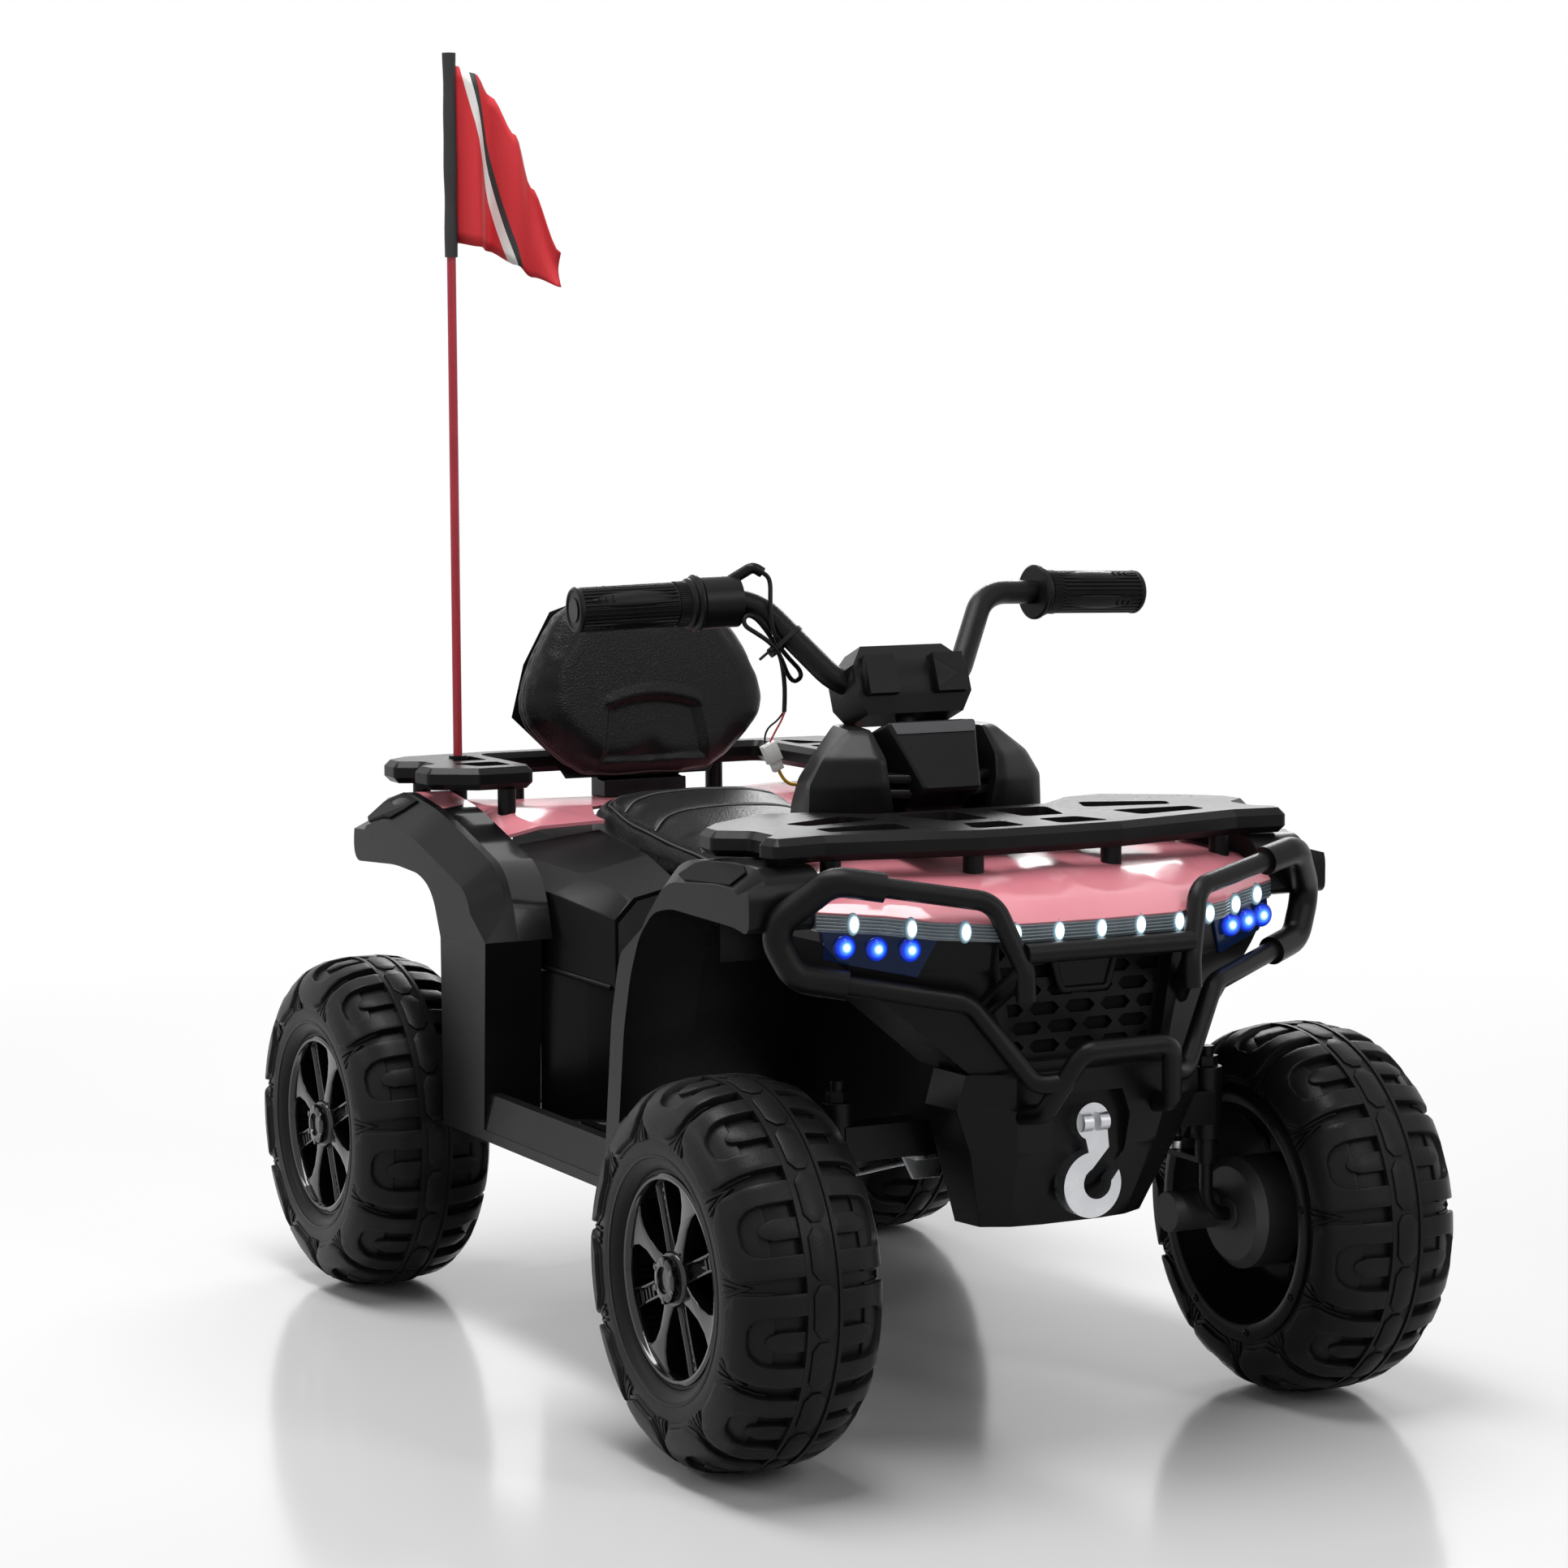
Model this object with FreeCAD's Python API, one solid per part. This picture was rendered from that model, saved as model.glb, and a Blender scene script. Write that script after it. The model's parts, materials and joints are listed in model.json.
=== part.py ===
import FreeCAD, Part
import math
import os

from FreeCAD import Vector

# A child's battery quad bike. Millimetres, X forward, Y left, Z up from the floor.

# Overall layout
WHEELBASE = 800.0
TRACK = 568.0
BODY_HEIGHT = 500.0
FRONT_OVERHANG = 171.0
FLAG_TOP = 1226.0

# Clearances and small allowances
RUN_GAP = 0.05
MOVE_GAP = 0.4
LINK_GAP = 0.4
SEAM_GAP = 0.6
OVERRUN = 3.0
CORNER_SHARE = 0.45
FULL_TURN = 360.0
NUT_SIDES = 6
STRAIGHT_ANGLE = 0.01

# Wheels
TYRE_RADIUS = 165.0
TYRE_WIDTH = 140.0
LUG_HEIGHT = 9.0
LUG_COUNT = 11
BAND_HEIGHT = 5.0
RIM_RADIUS = 88.0
RIM_WALL = 5.0
RIM_INSET = 12.0
RIM_DEPTH = 58.0
SPOKE_COUNT = 8
SPOKE_ROOT_WIDTH = 11.0
SPOKE_TIP_WIDTH = 20.0
SPOKE_THICKNESS = 11.0
SPOKE_INSET = 9.0
HUB_RADIUS = 24.0
HUB_CAP_RADIUS = 19.0
HUB_CAP_HEIGHT = 7.0
HUB_NUT_RADIUS = 10.0
HUB_NUT_LENGTH = 9.0
HUB_POCKET_RADIUS = 14.0
DISC_RADIUS = 114.0
DISC_RING = 16.0
DISC_WALL = 4.0
DISC_DEPTH = 50.0
DISC_FLOOR_RADIUS = 66.0
DISC_SCREW_COUNT = 8
DISC_SCREW_RADIUS = 3.5
DISC_SCREW_HEIGHT = 2.0
AXLE_RADIUS = 6.0
TYRE_SIDE_SHARES = ((0.97, 0.7), (1.0, 0.79), (0.9, 0.92), (0.68, 0.985), (0.3, 1.0))
HORSESHOE_SHARES = (
    (0.16, 0.41), (0.16, 0.28), (0.6, 0.28), (0.78, 0.16), (0.78, -0.16), (0.6, -0.28),
    (0.16, -0.28), (0.16, -0.41), (0.8, -0.44), (0.96, -0.42), (1.08, -0.12), (1.08, 0.12),
    (0.96, 0.42), (0.8, 0.44),
)
FINGER_SHARES = ((0.1, 0.12), (0.5, 0.12), (0.62, 0.06), (0.62, -0.06), (0.5, -0.12), (0.1, -0.12))
BAND_SHARES = ((0.0, 0.46), (0.12, 0.4), (0.22, 0.2), (0.22, -0.2), (0.12, -0.4), (0.0, -0.46))
LUG_ROOT_SHARE = 0.6

# Gearboxes with their motors
GEARBOX_RADIUS = 50.0
GEARBOX_LENGTH = 50.0
GEARBOX_CHAMFER = 8.0
WASHER_RADIUS = 14.0
WASHER_THICKNESS = 3.0
MOTOR_RADIUS = 18.0
MOTOR_LENGTH = 46.0
MOTOR_OFFSET = 31.0

# Front axle and steering
BEAM_SIZE = 30.0
BEAM_WALL = 2.5
BEAM_BOTTOM = 250.0
KINGPIN_OFFSET = 99.0
KINGPIN_RADIUS = 6.0
KINGPIN_BEND = 22.0
KINGPIN_TUBE_RADIUS = 11.0
KINGPIN_TUBE_TOP = 300.0
KINGPIN_TUBE_BOTTOM = 236.0
KINGPIN_TOP = 318.0
NUT_RADIUS = 10.0
NUT_HEIGHT = 9.0
ARM_LENGTH = 46.0
ARM_WIDTH = 20.0
ARM_THICKNESS = 5.0
ARM_TOP = 219.0
ARM_PIN_RADIUS = 4.0
ARM_PIN_HEIGHT = 11.0
ROD_RADIUS = 3.4
ROD_EYE_RADIUS = 10.0
ROD_EYE_THICKNESS = 7.0
OPEN_PIVOT_GAP = 4.5
DROP_PIN_SPREAD = 16.0
DROP_PIN_HEIGHT = 12.0
DROP_ARM_DROP = 9.0
COLUMN_TILT = 21.0
COLUMN_X = 174.0
COLUMN_TOP_DROP = 14.0
COLUMN_RADIUS = 9.0
COLUMN_LOW = 198.0
COLUMN_BUSH_RADIUS = 17.0
COLUMN_BUSH_LENGTH = 44.0
COLUMN_BUSH_HEIGHT = 458.0
COLUMN_BORE = 13.0
BRACKET_WALL = 4.0
BRACKET_LENGTH = 52.0
BRACKET_DEPTH = 26.0

# Handlebar and its fittings
BAR_RADIUS = 11.0
BAR_BEND = 46.0
BAR_HEIGHT = 628.0
BAR_FLAT_HALF = 58.0
BAR_RISE_HALF = 119.0
BAR_GRIP_HEIGHT = 707.0
BAR_END_HALF = 292.0
BAR_END_DROP = 5.0
BAR_SWEEP = 12.0
BAR_BACKSET = 54.0
GRIP_RADIUS = 20.0
GRIP_FLANGE_RADIUS = 26.0
GRIP_FLANGE_WIDTH = 6.0
GRIP_LENGTH = 118.0
GRIP_CAP = 5.0
GRIP_RIB_COUNT = 12
GRIP_RIB_DEPTH = 1.6
THROTTLE_HOUSING_RADIUS = 23.5
THROTTLE_HOUSING_LENGTH = 36.0
THROTTLE_GAP = 1.2
HORN_RADIUS = 5.0
CLAMP_HALF_WIDTH = 58.0
CLAMP_HALF_DEPTH = 26.0
CLAMP_BELOW = 31.0
CLAMP_ABOVE = 34.0
CLAMP_PAD_REACH = 9.0
CLAMP_PAD_SHARES = (0.34, 0.86)
CLAMP_PAD_RISE_SHARES = (-0.5, 0.6)
CLAMP_SHARES = ((-1.0, 0.84, 0.8), (-0.45, 1.0, 1.0), (0.0, 1.0, 1.0), (0.42, 1.0, 1.0), (1.0, 0.72, 0.6))

# Throttle cable, plug and pigtail
CABLE_RADIUS = 2.1
CABLE_POINTS = (
    (132.0, -117.0, 732.0), (133.0, -112.0, 729.0), (134.5, -110.0, 722.0), (139.0, -112.5, 709.0),
    (144.0, -115.0, 693.0), (145.0, -112.0, 678.0), (144.0, -106.0, 665.0), (142.0, -93.0, 652.0),
    (141.0, -84.0, 644.0), (142.0, -83.0, 637.0), (143.0, -91.0, 633.0), (146.0, -99.0, 640.0),
    (150.0, -106.0, 653.0), (151.0, -113.0, 664.0), (150.0, -121.0, 672.0), (147.0, -133.0, 680.0),
    (143.0, -140.0, 685.0), (141.5, -141.0, 691.0), (140.0, -136.0, 695.0), (138.5, -127.0, 692.0),
    (136.0, -115.0, 680.0), (136.0, -107.0, 668.0), (135.0, -100.0, 655.0), (135.0, -97.0, 638.0),
    (135.0, -96.0, 621.0), (135.0, -97.0, 606.0),
)
WIRE_RADIUS = 0.9
WIRE_POINTS = (
    (136.0, -97.0, 606.0), (136.2, -100.0, 599.0), (136.5, -107.0, 589.0), (137.0, -112.5, 579.8),
)
SECOND_WIRE_POINTS = (
    (133.9, -97.0, 606.0), (133.6, -102.0, 599.0), (133.2, -112.0, 593.0), (133.0, -116.0, 585.0),
    (133.0, -115.7, 578.4),
)
PLUG_TOP = (135.0, -114.0, 578.0)
PLUG_LOW = (135.0, -103.0, 554.0)
PLUG_WIDTH = 14.0
PLUG_DEPTH = 9.0
PLUG_SPLIT_SHARE = 0.68
PLUG_TAIL_SHARE = 0.72
PIGTAIL_RADIUS = 1.6
PIGTAIL_POINTS = (
    (135.0, -102.9, 553.8), (135.0, -99.0, 546.0), (135.0, -91.0, 540.0), (135.0, -79.0, 540.0),
    (135.0, -60.0, 544.0),
)
TIE_WALL = 1.4
TIE_WIDTH = 4.0
TIE_STEPS = 8
TIE_HANK_RADIUS = 10.0
TIE_HANK_POINT = (143.0, -106.0, 665.0)

# Lower tub, battery and rear axle
TUB_HALF = 112.0
SEAT_LINE_SHARE = 0.82
TUB_SHARES = (
    (1.054, 0.56), (1.054, 0.9), (0.8, 0.95), (0.66, 0.94), (0.58, 0.88), (0.53, SEAT_LINE_SHARE),
    (0.13, 0.885), (-0.045, 0.91), (-0.06, 0.8), (-0.046, 0.6), (0.07, 0.43), (0.13, 0.38),
    (0.66, 0.38), (0.74, 0.43), (0.81, 0.49), (0.93, 0.49), (0.945, 0.56),
)
BAY_HALF = 84.0
BAY_LENGTH = 190.0
BAY_DEPTH = 116.0
BAY_START_SHARE = 0.19
BATTERY_GAP = 4.0
BATTERY_HEIGHT = 96.0
CARRIER_HALF = 96.0
CARRIER_WIDTH = 64.0
CARRIER_FOOT = 30.0
CARRIER_TOP_SHARE = 0.66

# Footwells
FLOOR_THICKNESS = 10.0
FLOOR_RIB = 4.0
FLOOR_RIB_COUNT = 6
SILL_WIDTH = 24.0
SILL_HEIGHT = 44.0
SILL_SLOPE_SHARE = 0.25
FLOOR_SHARE = 0.38
FLOOR_START_SHARE = 0.27
FLOOR_END_SHARE = 0.704
POST_SHARES = ((0.228, 0.38), (0.352, 0.38), (0.3625, 0.757), (0.226, 0.744))
GUARD_SHARES = (
    (0.687, 0.4), (0.71, 0.69), (0.73, 0.8), (0.772, 0.885), (0.788, 0.86), (0.75, 0.77), (0.732, 0.68),
    (0.71, 0.4),
)
SIDE_OUT_SHARE = 1.004
SIDE_IN_SHARE = 0.76
POST_IN_SHARE = 0.8

# Fender flares
FLARE_WALL = 4.0
REAR_FLARE_SHARES = (
    (-0.052, 0.846), (-0.054, 0.912), (-0.034, 0.968), (0.0475, 0.998), (0.1525, 0.972), (0.266, 0.918),
    (0.319, 0.892), (0.345, 0.842), (0.3625, 0.757), (0.226, 0.744), (0.203, 0.824), (0.166, 0.854),
    (0.085, 0.86),
)
FRONT_FLARE_SHARES = (
    (0.687, 0.4), (0.71, 0.69), (0.73, 0.8), (0.78, 0.906), (0.83, 0.978), (0.86, 0.996), (0.969, 1.01),
    (1.024, 1.006), (1.044, 0.975), (1.044, 0.9), (1.012, 0.91), (0.86, 0.914),
    (0.818, 0.9), (0.783, 0.852), (0.76, 0.78), (0.742, 0.68), (0.718, 0.4),
)

# Hood, deck and side panels
PANEL_WALL = 4.0
HOOD_ROWS_SHARES = (
    (0.0, ((0.82, 1.004), (0.93, 1.0), (1.058, 0.982), (1.13, 0.946), (1.152, 0.914))),
    (0.28, ((0.82, 1.0), (0.93, 0.996), (1.053, 0.976), (1.125, 0.944), (1.146, 0.914))),
    (0.5, ((0.8, 1.0), (0.92, 1.0), (1.03, 0.98), (1.098, 0.944), (1.115, 0.921))),
    (0.62, ((0.79, 0.99), (0.91, 0.996), (1.018, 0.98), (1.07, 0.948), (1.083, 0.928))),
    (0.79, ((0.79, 0.95), (0.9, 0.98), (1.0, 0.972), (1.04, 0.948), (1.05, 0.934))),
)
DECK_ROWS_SHARES = (
    (-0.058, ((0.0, 0.946), (0.5, 0.95), (0.66, 0.955), (0.79, 0.93), (0.8, 0.905))),
    (0.03, ((0.0, 0.962), (0.5, 0.966), (0.68, 0.972), (0.8, 0.94), (0.81, 0.91))),
    (0.13, ((0.0, 0.962), (0.46, 0.966), (0.68, 0.97), (0.8, 0.94), (0.81, 0.905))),
    (0.22, ((0.0, 0.95), (0.42, 0.95), (0.62, 0.946), (0.76, 0.93), (0.78, 0.905))),
)
SIDE_ROWS_SHARES = (
    (0.21, ((0.38, 0.93), (0.76, 0.905), (0.9, 0.86), (0.94, 0.75))),
    (0.345, ((0.38, 0.9), (0.62, 0.87), (0.74, 0.84), (0.76, 0.7))),
    (0.43, ((0.38, 0.86), (0.55, 0.84), (0.62, 0.8), (0.62, 0.67))),
)

# Nose: fascia, grille, lamps, skid plate, tow hook
FASCIA_LEVELS_SHARES = (
    (0.66, ((1.02, 0.4), (1.11, 0.38), (1.125, 0.27))),
    (0.83, ((0.975, 0.72), (1.06, 0.7), (1.122, 0.33))),
    (0.885, ((0.975, 0.79), (1.048, 0.78), (1.128, 0.33))),
    (0.908, ((0.975, 0.79), (1.045, 0.78), (1.13, 0.33))),
)
GRILLE_TOP_SHARE = 0.875
GRILLE_LOW_SHARE = 0.675
GRILLE_TOP_HALF = 88.0
GRILLE_LOW_HALF = 70.0
GRILLE_POCKET = 16.0
GRILLE_THICKNESS = 5.0
GRILLE_ROWS = 6
GRILLE_SLOT_WIDTH = 30.0
GRILLE_COLUMNS = 3
GRILLE_BAR = 5.0
BADGE_HALF = 31.0
BADGE_TOP_SHARE = 0.846
BADGE_LOW_SHARE = 0.79
BADGE_NARROW_SHARE = 0.72
BADGE_THICKNESS = 6.0
SKID_LEVELS_SHARES = (
    (0.66, ((1.054, 0.41), (1.115, 0.4), (1.137, 0.26), (1.137, 0.12))),
    (0.6, ((1.054, 0.44), (1.108, 0.42), (1.135, 0.26), (1.135, 0.12))),
    (0.52, ((1.054, 0.4), (1.1, 0.36), (1.122, 0.24), (1.126, 0.12))),
    (0.385, ((1.03, 0.3), (1.07, 0.28), (1.085, 0.2), (1.09, 0.1))),
)
RECESS_FLOOR_SHARE = 1.118
RECESS_SHARES = ((0.1, 0.62), (0.134, 0.574), (0.127, 0.51), (0.085, 0.476))
HOOK_RADIUS = 28.0
HOOK_THROAT_RADIUS = 13.5
HOOK_EYE_RADIUS = 16.0
HOOK_EAR_RADIUS = 8.0
HOOK_THICKNESS = 16.0
HOOK_FRONT_SHARE = 1.135
HOOK_HEIGHT_SHARE = 0.46
HOOK_EYE_HEIGHT_SHARE = 0.568
HOOK_THROAT_SHIFT_SHARES = (0.17, 0.04)
HOOK_SHANK_SHARES = ((-0.34, 1.79), (0.5, 1.79), (0.57, 1.11), (-0.2, 0.29), (-0.55, 0.7), (-0.13, 0.95))
HOOK_MOUTH_SHARES = ((-0.26, 0.3), (0.68, 1.45), (1.5, 1.14), (0.97, 0.46), (0.64, 0.06))
HOOK_EAR_SHARES = ((-0.45, -0.12), (0.12, 0.45))
STRIP_DEPTH = 9.0
STRIP_TALL_SHARE = 0.032
STRIP_SET_SHARE = 0.003
HEADLIGHT_SHARES = ((0.772, 0.88), (0.735, 0.85), (0.525, 0.824), (0.46, 0.91), (0.776, 0.91))
LENS_THICKNESS = 2.5
WHITE_LED_RADIUS = 5.0
BLUE_LED_RADIUS = 9.0
LED_HEIGHT = 2.5
WHITE_LED_COUNT = 11
WHITE_LED_SHARE = 0.7
BLUE_LED_SHARES = ((0.555, 0.872), (0.642, 0.874), (0.725, 0.877))

# Bull bar
BULL_RADIUS = 8.5
BULL_BEND = 24.0
BULL_COVER_RADIUS = 12.5
BULL_COVER_SHARES = (0.68, 0.3)
HOOP_BEND = 16.0
BULL_LOOP_SHARES = (
    (1.168, 0.285, 0.79), (1.166, 0.285, 0.84), (1.142, 0.352, 0.952), (1.09, 0.8, 0.994),
    (1.042, 0.935, 0.91), (1.056, 0.87, 0.83), (1.136, 0.42, 0.785), (1.17, 0.258, 0.65),
)
HOOP_SHARES = ((1.1, 0.24, 0.58), (0.0, 0.22, 0.6), (0.0, 0.15, 0.71))
HOOP_SET = 30.0
CROSS_SHARE = 0.868
STAY_SHARES = ((1.164, 0.29, 0.838), (1.112, 0.34, 0.765))

# Racks
RACK_TOP = 527.0
RACK_PLATE = 9.0
RACK_SKIRT = 22.0
RACK_RIM = 10.0
RACK_CORNER = 7.0
FRONT_RACK_SHARES = (
    (0.85, 0.0), (0.85, 0.3), (0.8, 0.46), (0.79, 0.62), (0.85, 0.86), (0.885, 0.94), (0.92, 0.95),
    (0.945, 0.86), (0.985, 0.86), (1.0, 0.91), (1.028, 0.89), (1.02, 0.72), (1.035, 0.52), (1.058, 0.24),
    (1.06, 0.0),
)
FRONT_SLOTS_SHARES = (
    ((0.88, 0.06), (0.88, 0.27), (0.96, 0.2), (0.96, 0.06)),
    ((0.985, 0.06), (0.985, 0.2), (1.035, 0.24), (1.035, 0.06)),
    ((0.86, 0.42), (0.9, 0.68), (0.93, 0.64), (0.91, 0.36)),
    ((0.95, 0.38), (0.955, 0.66), (0.99, 0.66), (1.005, 0.4)),
)
REAR_RACK_SHARES = (
    (-0.052, 0.0), (-0.052, 0.5), (-0.04, 0.84), (-0.01, 0.935), (0.03, 0.94), (0.045, 0.86), (0.075, 0.86),
    (0.09, 0.935), (0.13, 0.93), (0.165, 0.78), (0.165, 0.58), (0.14, 0.55), (-0.015, 0.55), (-0.015, 0.0),
)
REAR_SLOTS_SHARES = (
    ((0.0, 0.62), (0.0, 0.66), (0.06, 0.76), (0.06, 0.62)),
    ((0.085, 0.62), (0.085, 0.8), (0.135, 0.74), (0.135, 0.62)),
)
FRONT_POSTS_SHARES = ((1.006, 0.68), (1.033, 0.24), (0.88, 0.72), (0.87, 0.24))
REAR_POSTS_SHARES = ((0.033, 0.84), (0.15, 0.66), (-0.034, 0.4))
RACK_POST_RADIUS = 9.0

# Dash cowl with its switches
COWL_LEVELS_SHARES = (
    (0.86, ((0.6, 0.25), (0.655, 0.28), (0.76, 0.2), (0.8, 0.1))),
    (1.05, ((0.61, 0.22), (0.66, 0.24), (0.76, 0.17), (0.803, 0.1))),
    (1.088, ((0.615, 0.2), (0.665, 0.225), (0.765, 0.165), (0.846, 0.1))),
    (1.206, ((0.645, 0.13), (0.67, 0.16), (0.72, 0.165), (0.794, 0.162))),
    (1.26, ((0.66, 0.09), (0.68, 0.12), (0.715, 0.14), (0.772, 0.175))),
)
HORN_LEVELS_SHARES = (
    (0.86, ((0.655, 0.2), (0.68, 0.36), (0.775, 0.42), (0.8, 0.2))),
    (1.05, ((0.66, 0.18), (0.69, 0.34), (0.774, 0.419), (0.815, 0.185))),
    (1.092, ((0.665, 0.17), (0.695, 0.32), (0.774, 0.415), (0.817, 0.205))),
    (1.132, ((0.67, 0.16), (0.7, 0.27), (0.772, 0.36), (0.812, 0.212))),
    (1.176, ((0.685, 0.15), (0.705, 0.2), (0.768, 0.24), (0.776, 0.215))),
)
COWL_TOP_SHARE = 1.202
COWL_FRONT_SHARE = 0.79
LOUVRE_SHARES = ((0.72, 0.12), (0.72, 0.2), (0.806, 0.2), (0.822, 0.11))
LOUVRE_LOW_SHARE = 1.07
LOUVRE_COUNT = 2
LOUVRE_THICKNESS = 8.0
LOUVRE_PITCH = 13.0
SWITCH_BACK = 62.0
SWITCH_SPREAD = 16.0
BUTTON_RADIUS = 8.0
BUTTON_TRAVEL = 3.0
BUTTON_PROUD = 5.0
BUTTON_ROOT = 8.0
ROCKER_WIDTH = 13.0
ROCKER_LENGTH = 20.0
ROCKER_PROUD = 4.0
ROCKER_ROOT = 4.0
ROCKER_DISH = 1.5
ROCKER_PIN_RADIUS = 2.0
ROCKER_PIN_LENGTH = 3.0
ROCKER_ROOM = 1.2
ROCKER_POCKET = 9.0

# Seat and backrest
SEAT_ROWS_SHARES = (
    (0.128, 0.29, 0.972, 0.86), (0.142, 0.36, 0.99, 0.85), (0.2, 0.39, 0.998, 0.85),
    (0.3, 0.385, 0.972, 0.84), (0.4, 0.34, 0.94, 0.83), (0.48, 0.29, 0.919, 0.81), (0.512, 0.25, 0.9, 0.81),
)
SEAT_SECTION_SHARES = (
    (0.0, 1.0), (0.5, 0.985), (0.8, 0.9), (0.86, 0.84), (0.97, 0.72), (1.0, 0.45), (0.97, 0.2), (0.9, 0.0),
)
HINGE_X_SHARE = 0.53
HINGE_Z_SHARE = 0.852
HINGE_RADIUS = 4.0
HINGE_HALF = 34.0
HINGE_EAR = 16.0
HINGE_EAR_RADIUS = 9.0
HINGE_TONGUE = 7.0
BACKREST_SHARES = (
    (0.3, 0.995), (0.36, 1.05), (0.5, 1.13), (0.44, 1.24), (0.32, 1.35), (0.2, 1.372), (0.0, 1.38),
)
BACKREST_LEAN = 8.0
BACKREST_THICKNESS = 46.0
BACKREST_SHELL = 6.0
BACKREST_FOOT_SHARE = 0.035
BACKREST_CHANNEL = 4.0
STAND_HALF = 46.0
STAND_DEPTH = 34.0
STAND_RISE = 24.0

# Flag
POLE_RADIUS = 4.5
POLE_X_SHARE = 0.0225
POLE_Y_SHARE = 0.69
POLE_SOCKET_RADIUS = 9.0
POLE_SINK = 66.0
SOCKET_FLOOR = 5.0
SLEEVE_RADIUS = 7.0
SOCKET_TOP = 530.0
SLEEVE_LENGTH = 200.0
FLAG_THICKNESS = 1.2
FLAG_SPAN = 92.0
FLAG_ROWS_SHARES = (
    (0.0, 0.0, 0.94, 0.07), (0.18, 0.1, 0.9, 0.05), (0.36, -0.12, 0.79, 0.03), (0.56, 0.06, 0.6, -0.04),
    (0.76, -0.08, 0.34, -0.1), (1.0, 0.0, 0.0, -0.17),
)

HALF_TRACK = TRACK / 2
REAR_AXLE_X = (TYRE_RADIUS - WHEELBASE - FRONT_OVERHANG) / 2
FRONT_AXLE_X = REAR_AXLE_X + WHEELBASE
X_AXIS = Vector(1, 0, 0)
Y_AXIS = Vector(0, 1, 0)
Z_AXIS = Vector(0, 0, 1)
ORIGIN = Vector(0, 0, 0)


def at(along, across, up):
    """A point of the body as shares of wheelbase (from the rear axle), half track and body height."""
    return Vector(REAR_AXLE_X + along * WHEELBASE, across * HALF_TRACK, up * BODY_HEIGHT)


def polygon(points):
    """Closed outline through the points."""
    return Part.makePolygon(list(points) + [points[0]])


def plate(points, push):
    """Flat outline pushed along a vector."""
    return Part.Face(polygon(points)).extrude(push)


def loft(sections):
    """Solid with straight walls between outlines of equal point counts."""
    return Part.makeLoft([polygon(section) for section in sections], True, True)


def skin(rows, inward):
    """Wall of even thickness through rows of points."""
    return loft([list(row) + [point + inward for point in reversed(row)] for row in rows])


def rounded(points, radius):
    """Closed flat outline with rounded corners."""
    corners = []
    for index, corner in enumerate(points):
        back = points[index - 1] - corner
        ahead = points[(index + 1) % len(points)] - corner
        half = back.getAngle(ahead) / 2
        if math.pi / 2 - half < STRAIGHT_ANGLE:
            continue
        reach = min(radius / math.tan(half), CORNER_SHARE * min(back.Length, ahead.Length))
        bend = reach * math.tan(half)
        back.normalize()
        ahead.normalize()
        middle = (back + ahead).normalize()
        top = corner + middle * (bend / math.sin(half) - bend)
        corners.append((corner + back * reach, top, corner + ahead * reach))
    edges = []
    for index, (start, top, end) in enumerate(corners):
        edges.append(Part.Arc(start, top, end).toShape())
        edges.append(Part.makeLine(end, corners[(index + 1) % len(corners)][0]))
    return Part.Wire(edges)


def bent_path(points, bend):
    """Straight runs joined by tangent arcs; returns the path and its arc radii."""
    edges = []
    radii = []
    start = points[0]
    for before, corner, after in zip(points, points[1:], points[2:]):
        back = before - corner
        ahead = after - corner
        half = back.getAngle(ahead) / 2
        reach = CORNER_SHARE * min(back.Length, ahead.Length)
        if bend:
            reach = min(reach, bend / math.tan(half))
        radius = reach * math.tan(half)
        back.normalize()
        ahead.normalize()
        middle = (back + ahead).normalize()
        first = corner + back * reach
        last = corner + ahead * reach
        edges.append(Part.makeLine(start, first))
        edges.append(Part.Arc(first, corner + middle * (radius / math.sin(half) - radius), last).toShape())
        radii.append(radius)
        start = last
    edges.append(Part.makeLine(start, points[-1]))
    return Part.Wire(edges), radii


def tube(points, radius, bend):
    """Round rod along a bent path."""
    path, radii = bent_path(points, bend)
    ring = Part.Wire(Part.makeCircle(radius, points[0], points[1] - points[0]))
    return path.makePipeShell([ring], True, False)


def turned(profile):
    """Solid turned about the Y axis from pairs of distance along it and radius."""
    face = Part.Face(polygon([Vector(0, along, radius) for along, radius in profile]))
    return face.revolve(ORIGIN, Y_AXIS, FULL_TURN)


def rod(radius, start, end):
    """Straight round bar."""
    return Part.makeCylinder(radius, (end - start).Length, start, end - start)


def block(low, high):
    """Upright box between two corners."""
    size = high - low
    return Part.makeBox(size.x, size.y, size.z, low)


def hexagon(radius, start, push):
    """Six-sided nut along a vector."""
    ring = Part.makeCircle(radius, start, push).discretize(NUT_SIDES + 1)
    return plate(ring[:-1], push)


def main_solid(shape):
    """The largest solid of a shape, without the offcuts."""
    return max(shape.Solids, key=lambda solid: solid.Volume)


def trimmed(shape, *tools):
    """A piece cut to fit its neighbours."""
    return main_solid(shape.cut(list(tools)))


def joined(first, *others):
    """Solids made into one."""
    return main_solid(first.fuse(list(others)).removeSplitter())


def mirrored(shape):
    """The same piece on the left side."""
    return shape.mirror(ORIGIN, Y_AXIS)


def pair(shape):
    """Both pieces of a mirrored pair."""
    return Part.makeCompound([shape, mirrored(shape)])


def moved(shape, offset):
    """A copy in another place."""
    copy = shape.copy()
    copy.translate(offset)
    return copy


def spun(shape, degrees, centre=ORIGIN, axis=Y_AXIS):
    """A copy turned about an axis."""
    copy = shape.copy()
    copy.rotate(centre, axis, degrees)
    return copy


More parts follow.
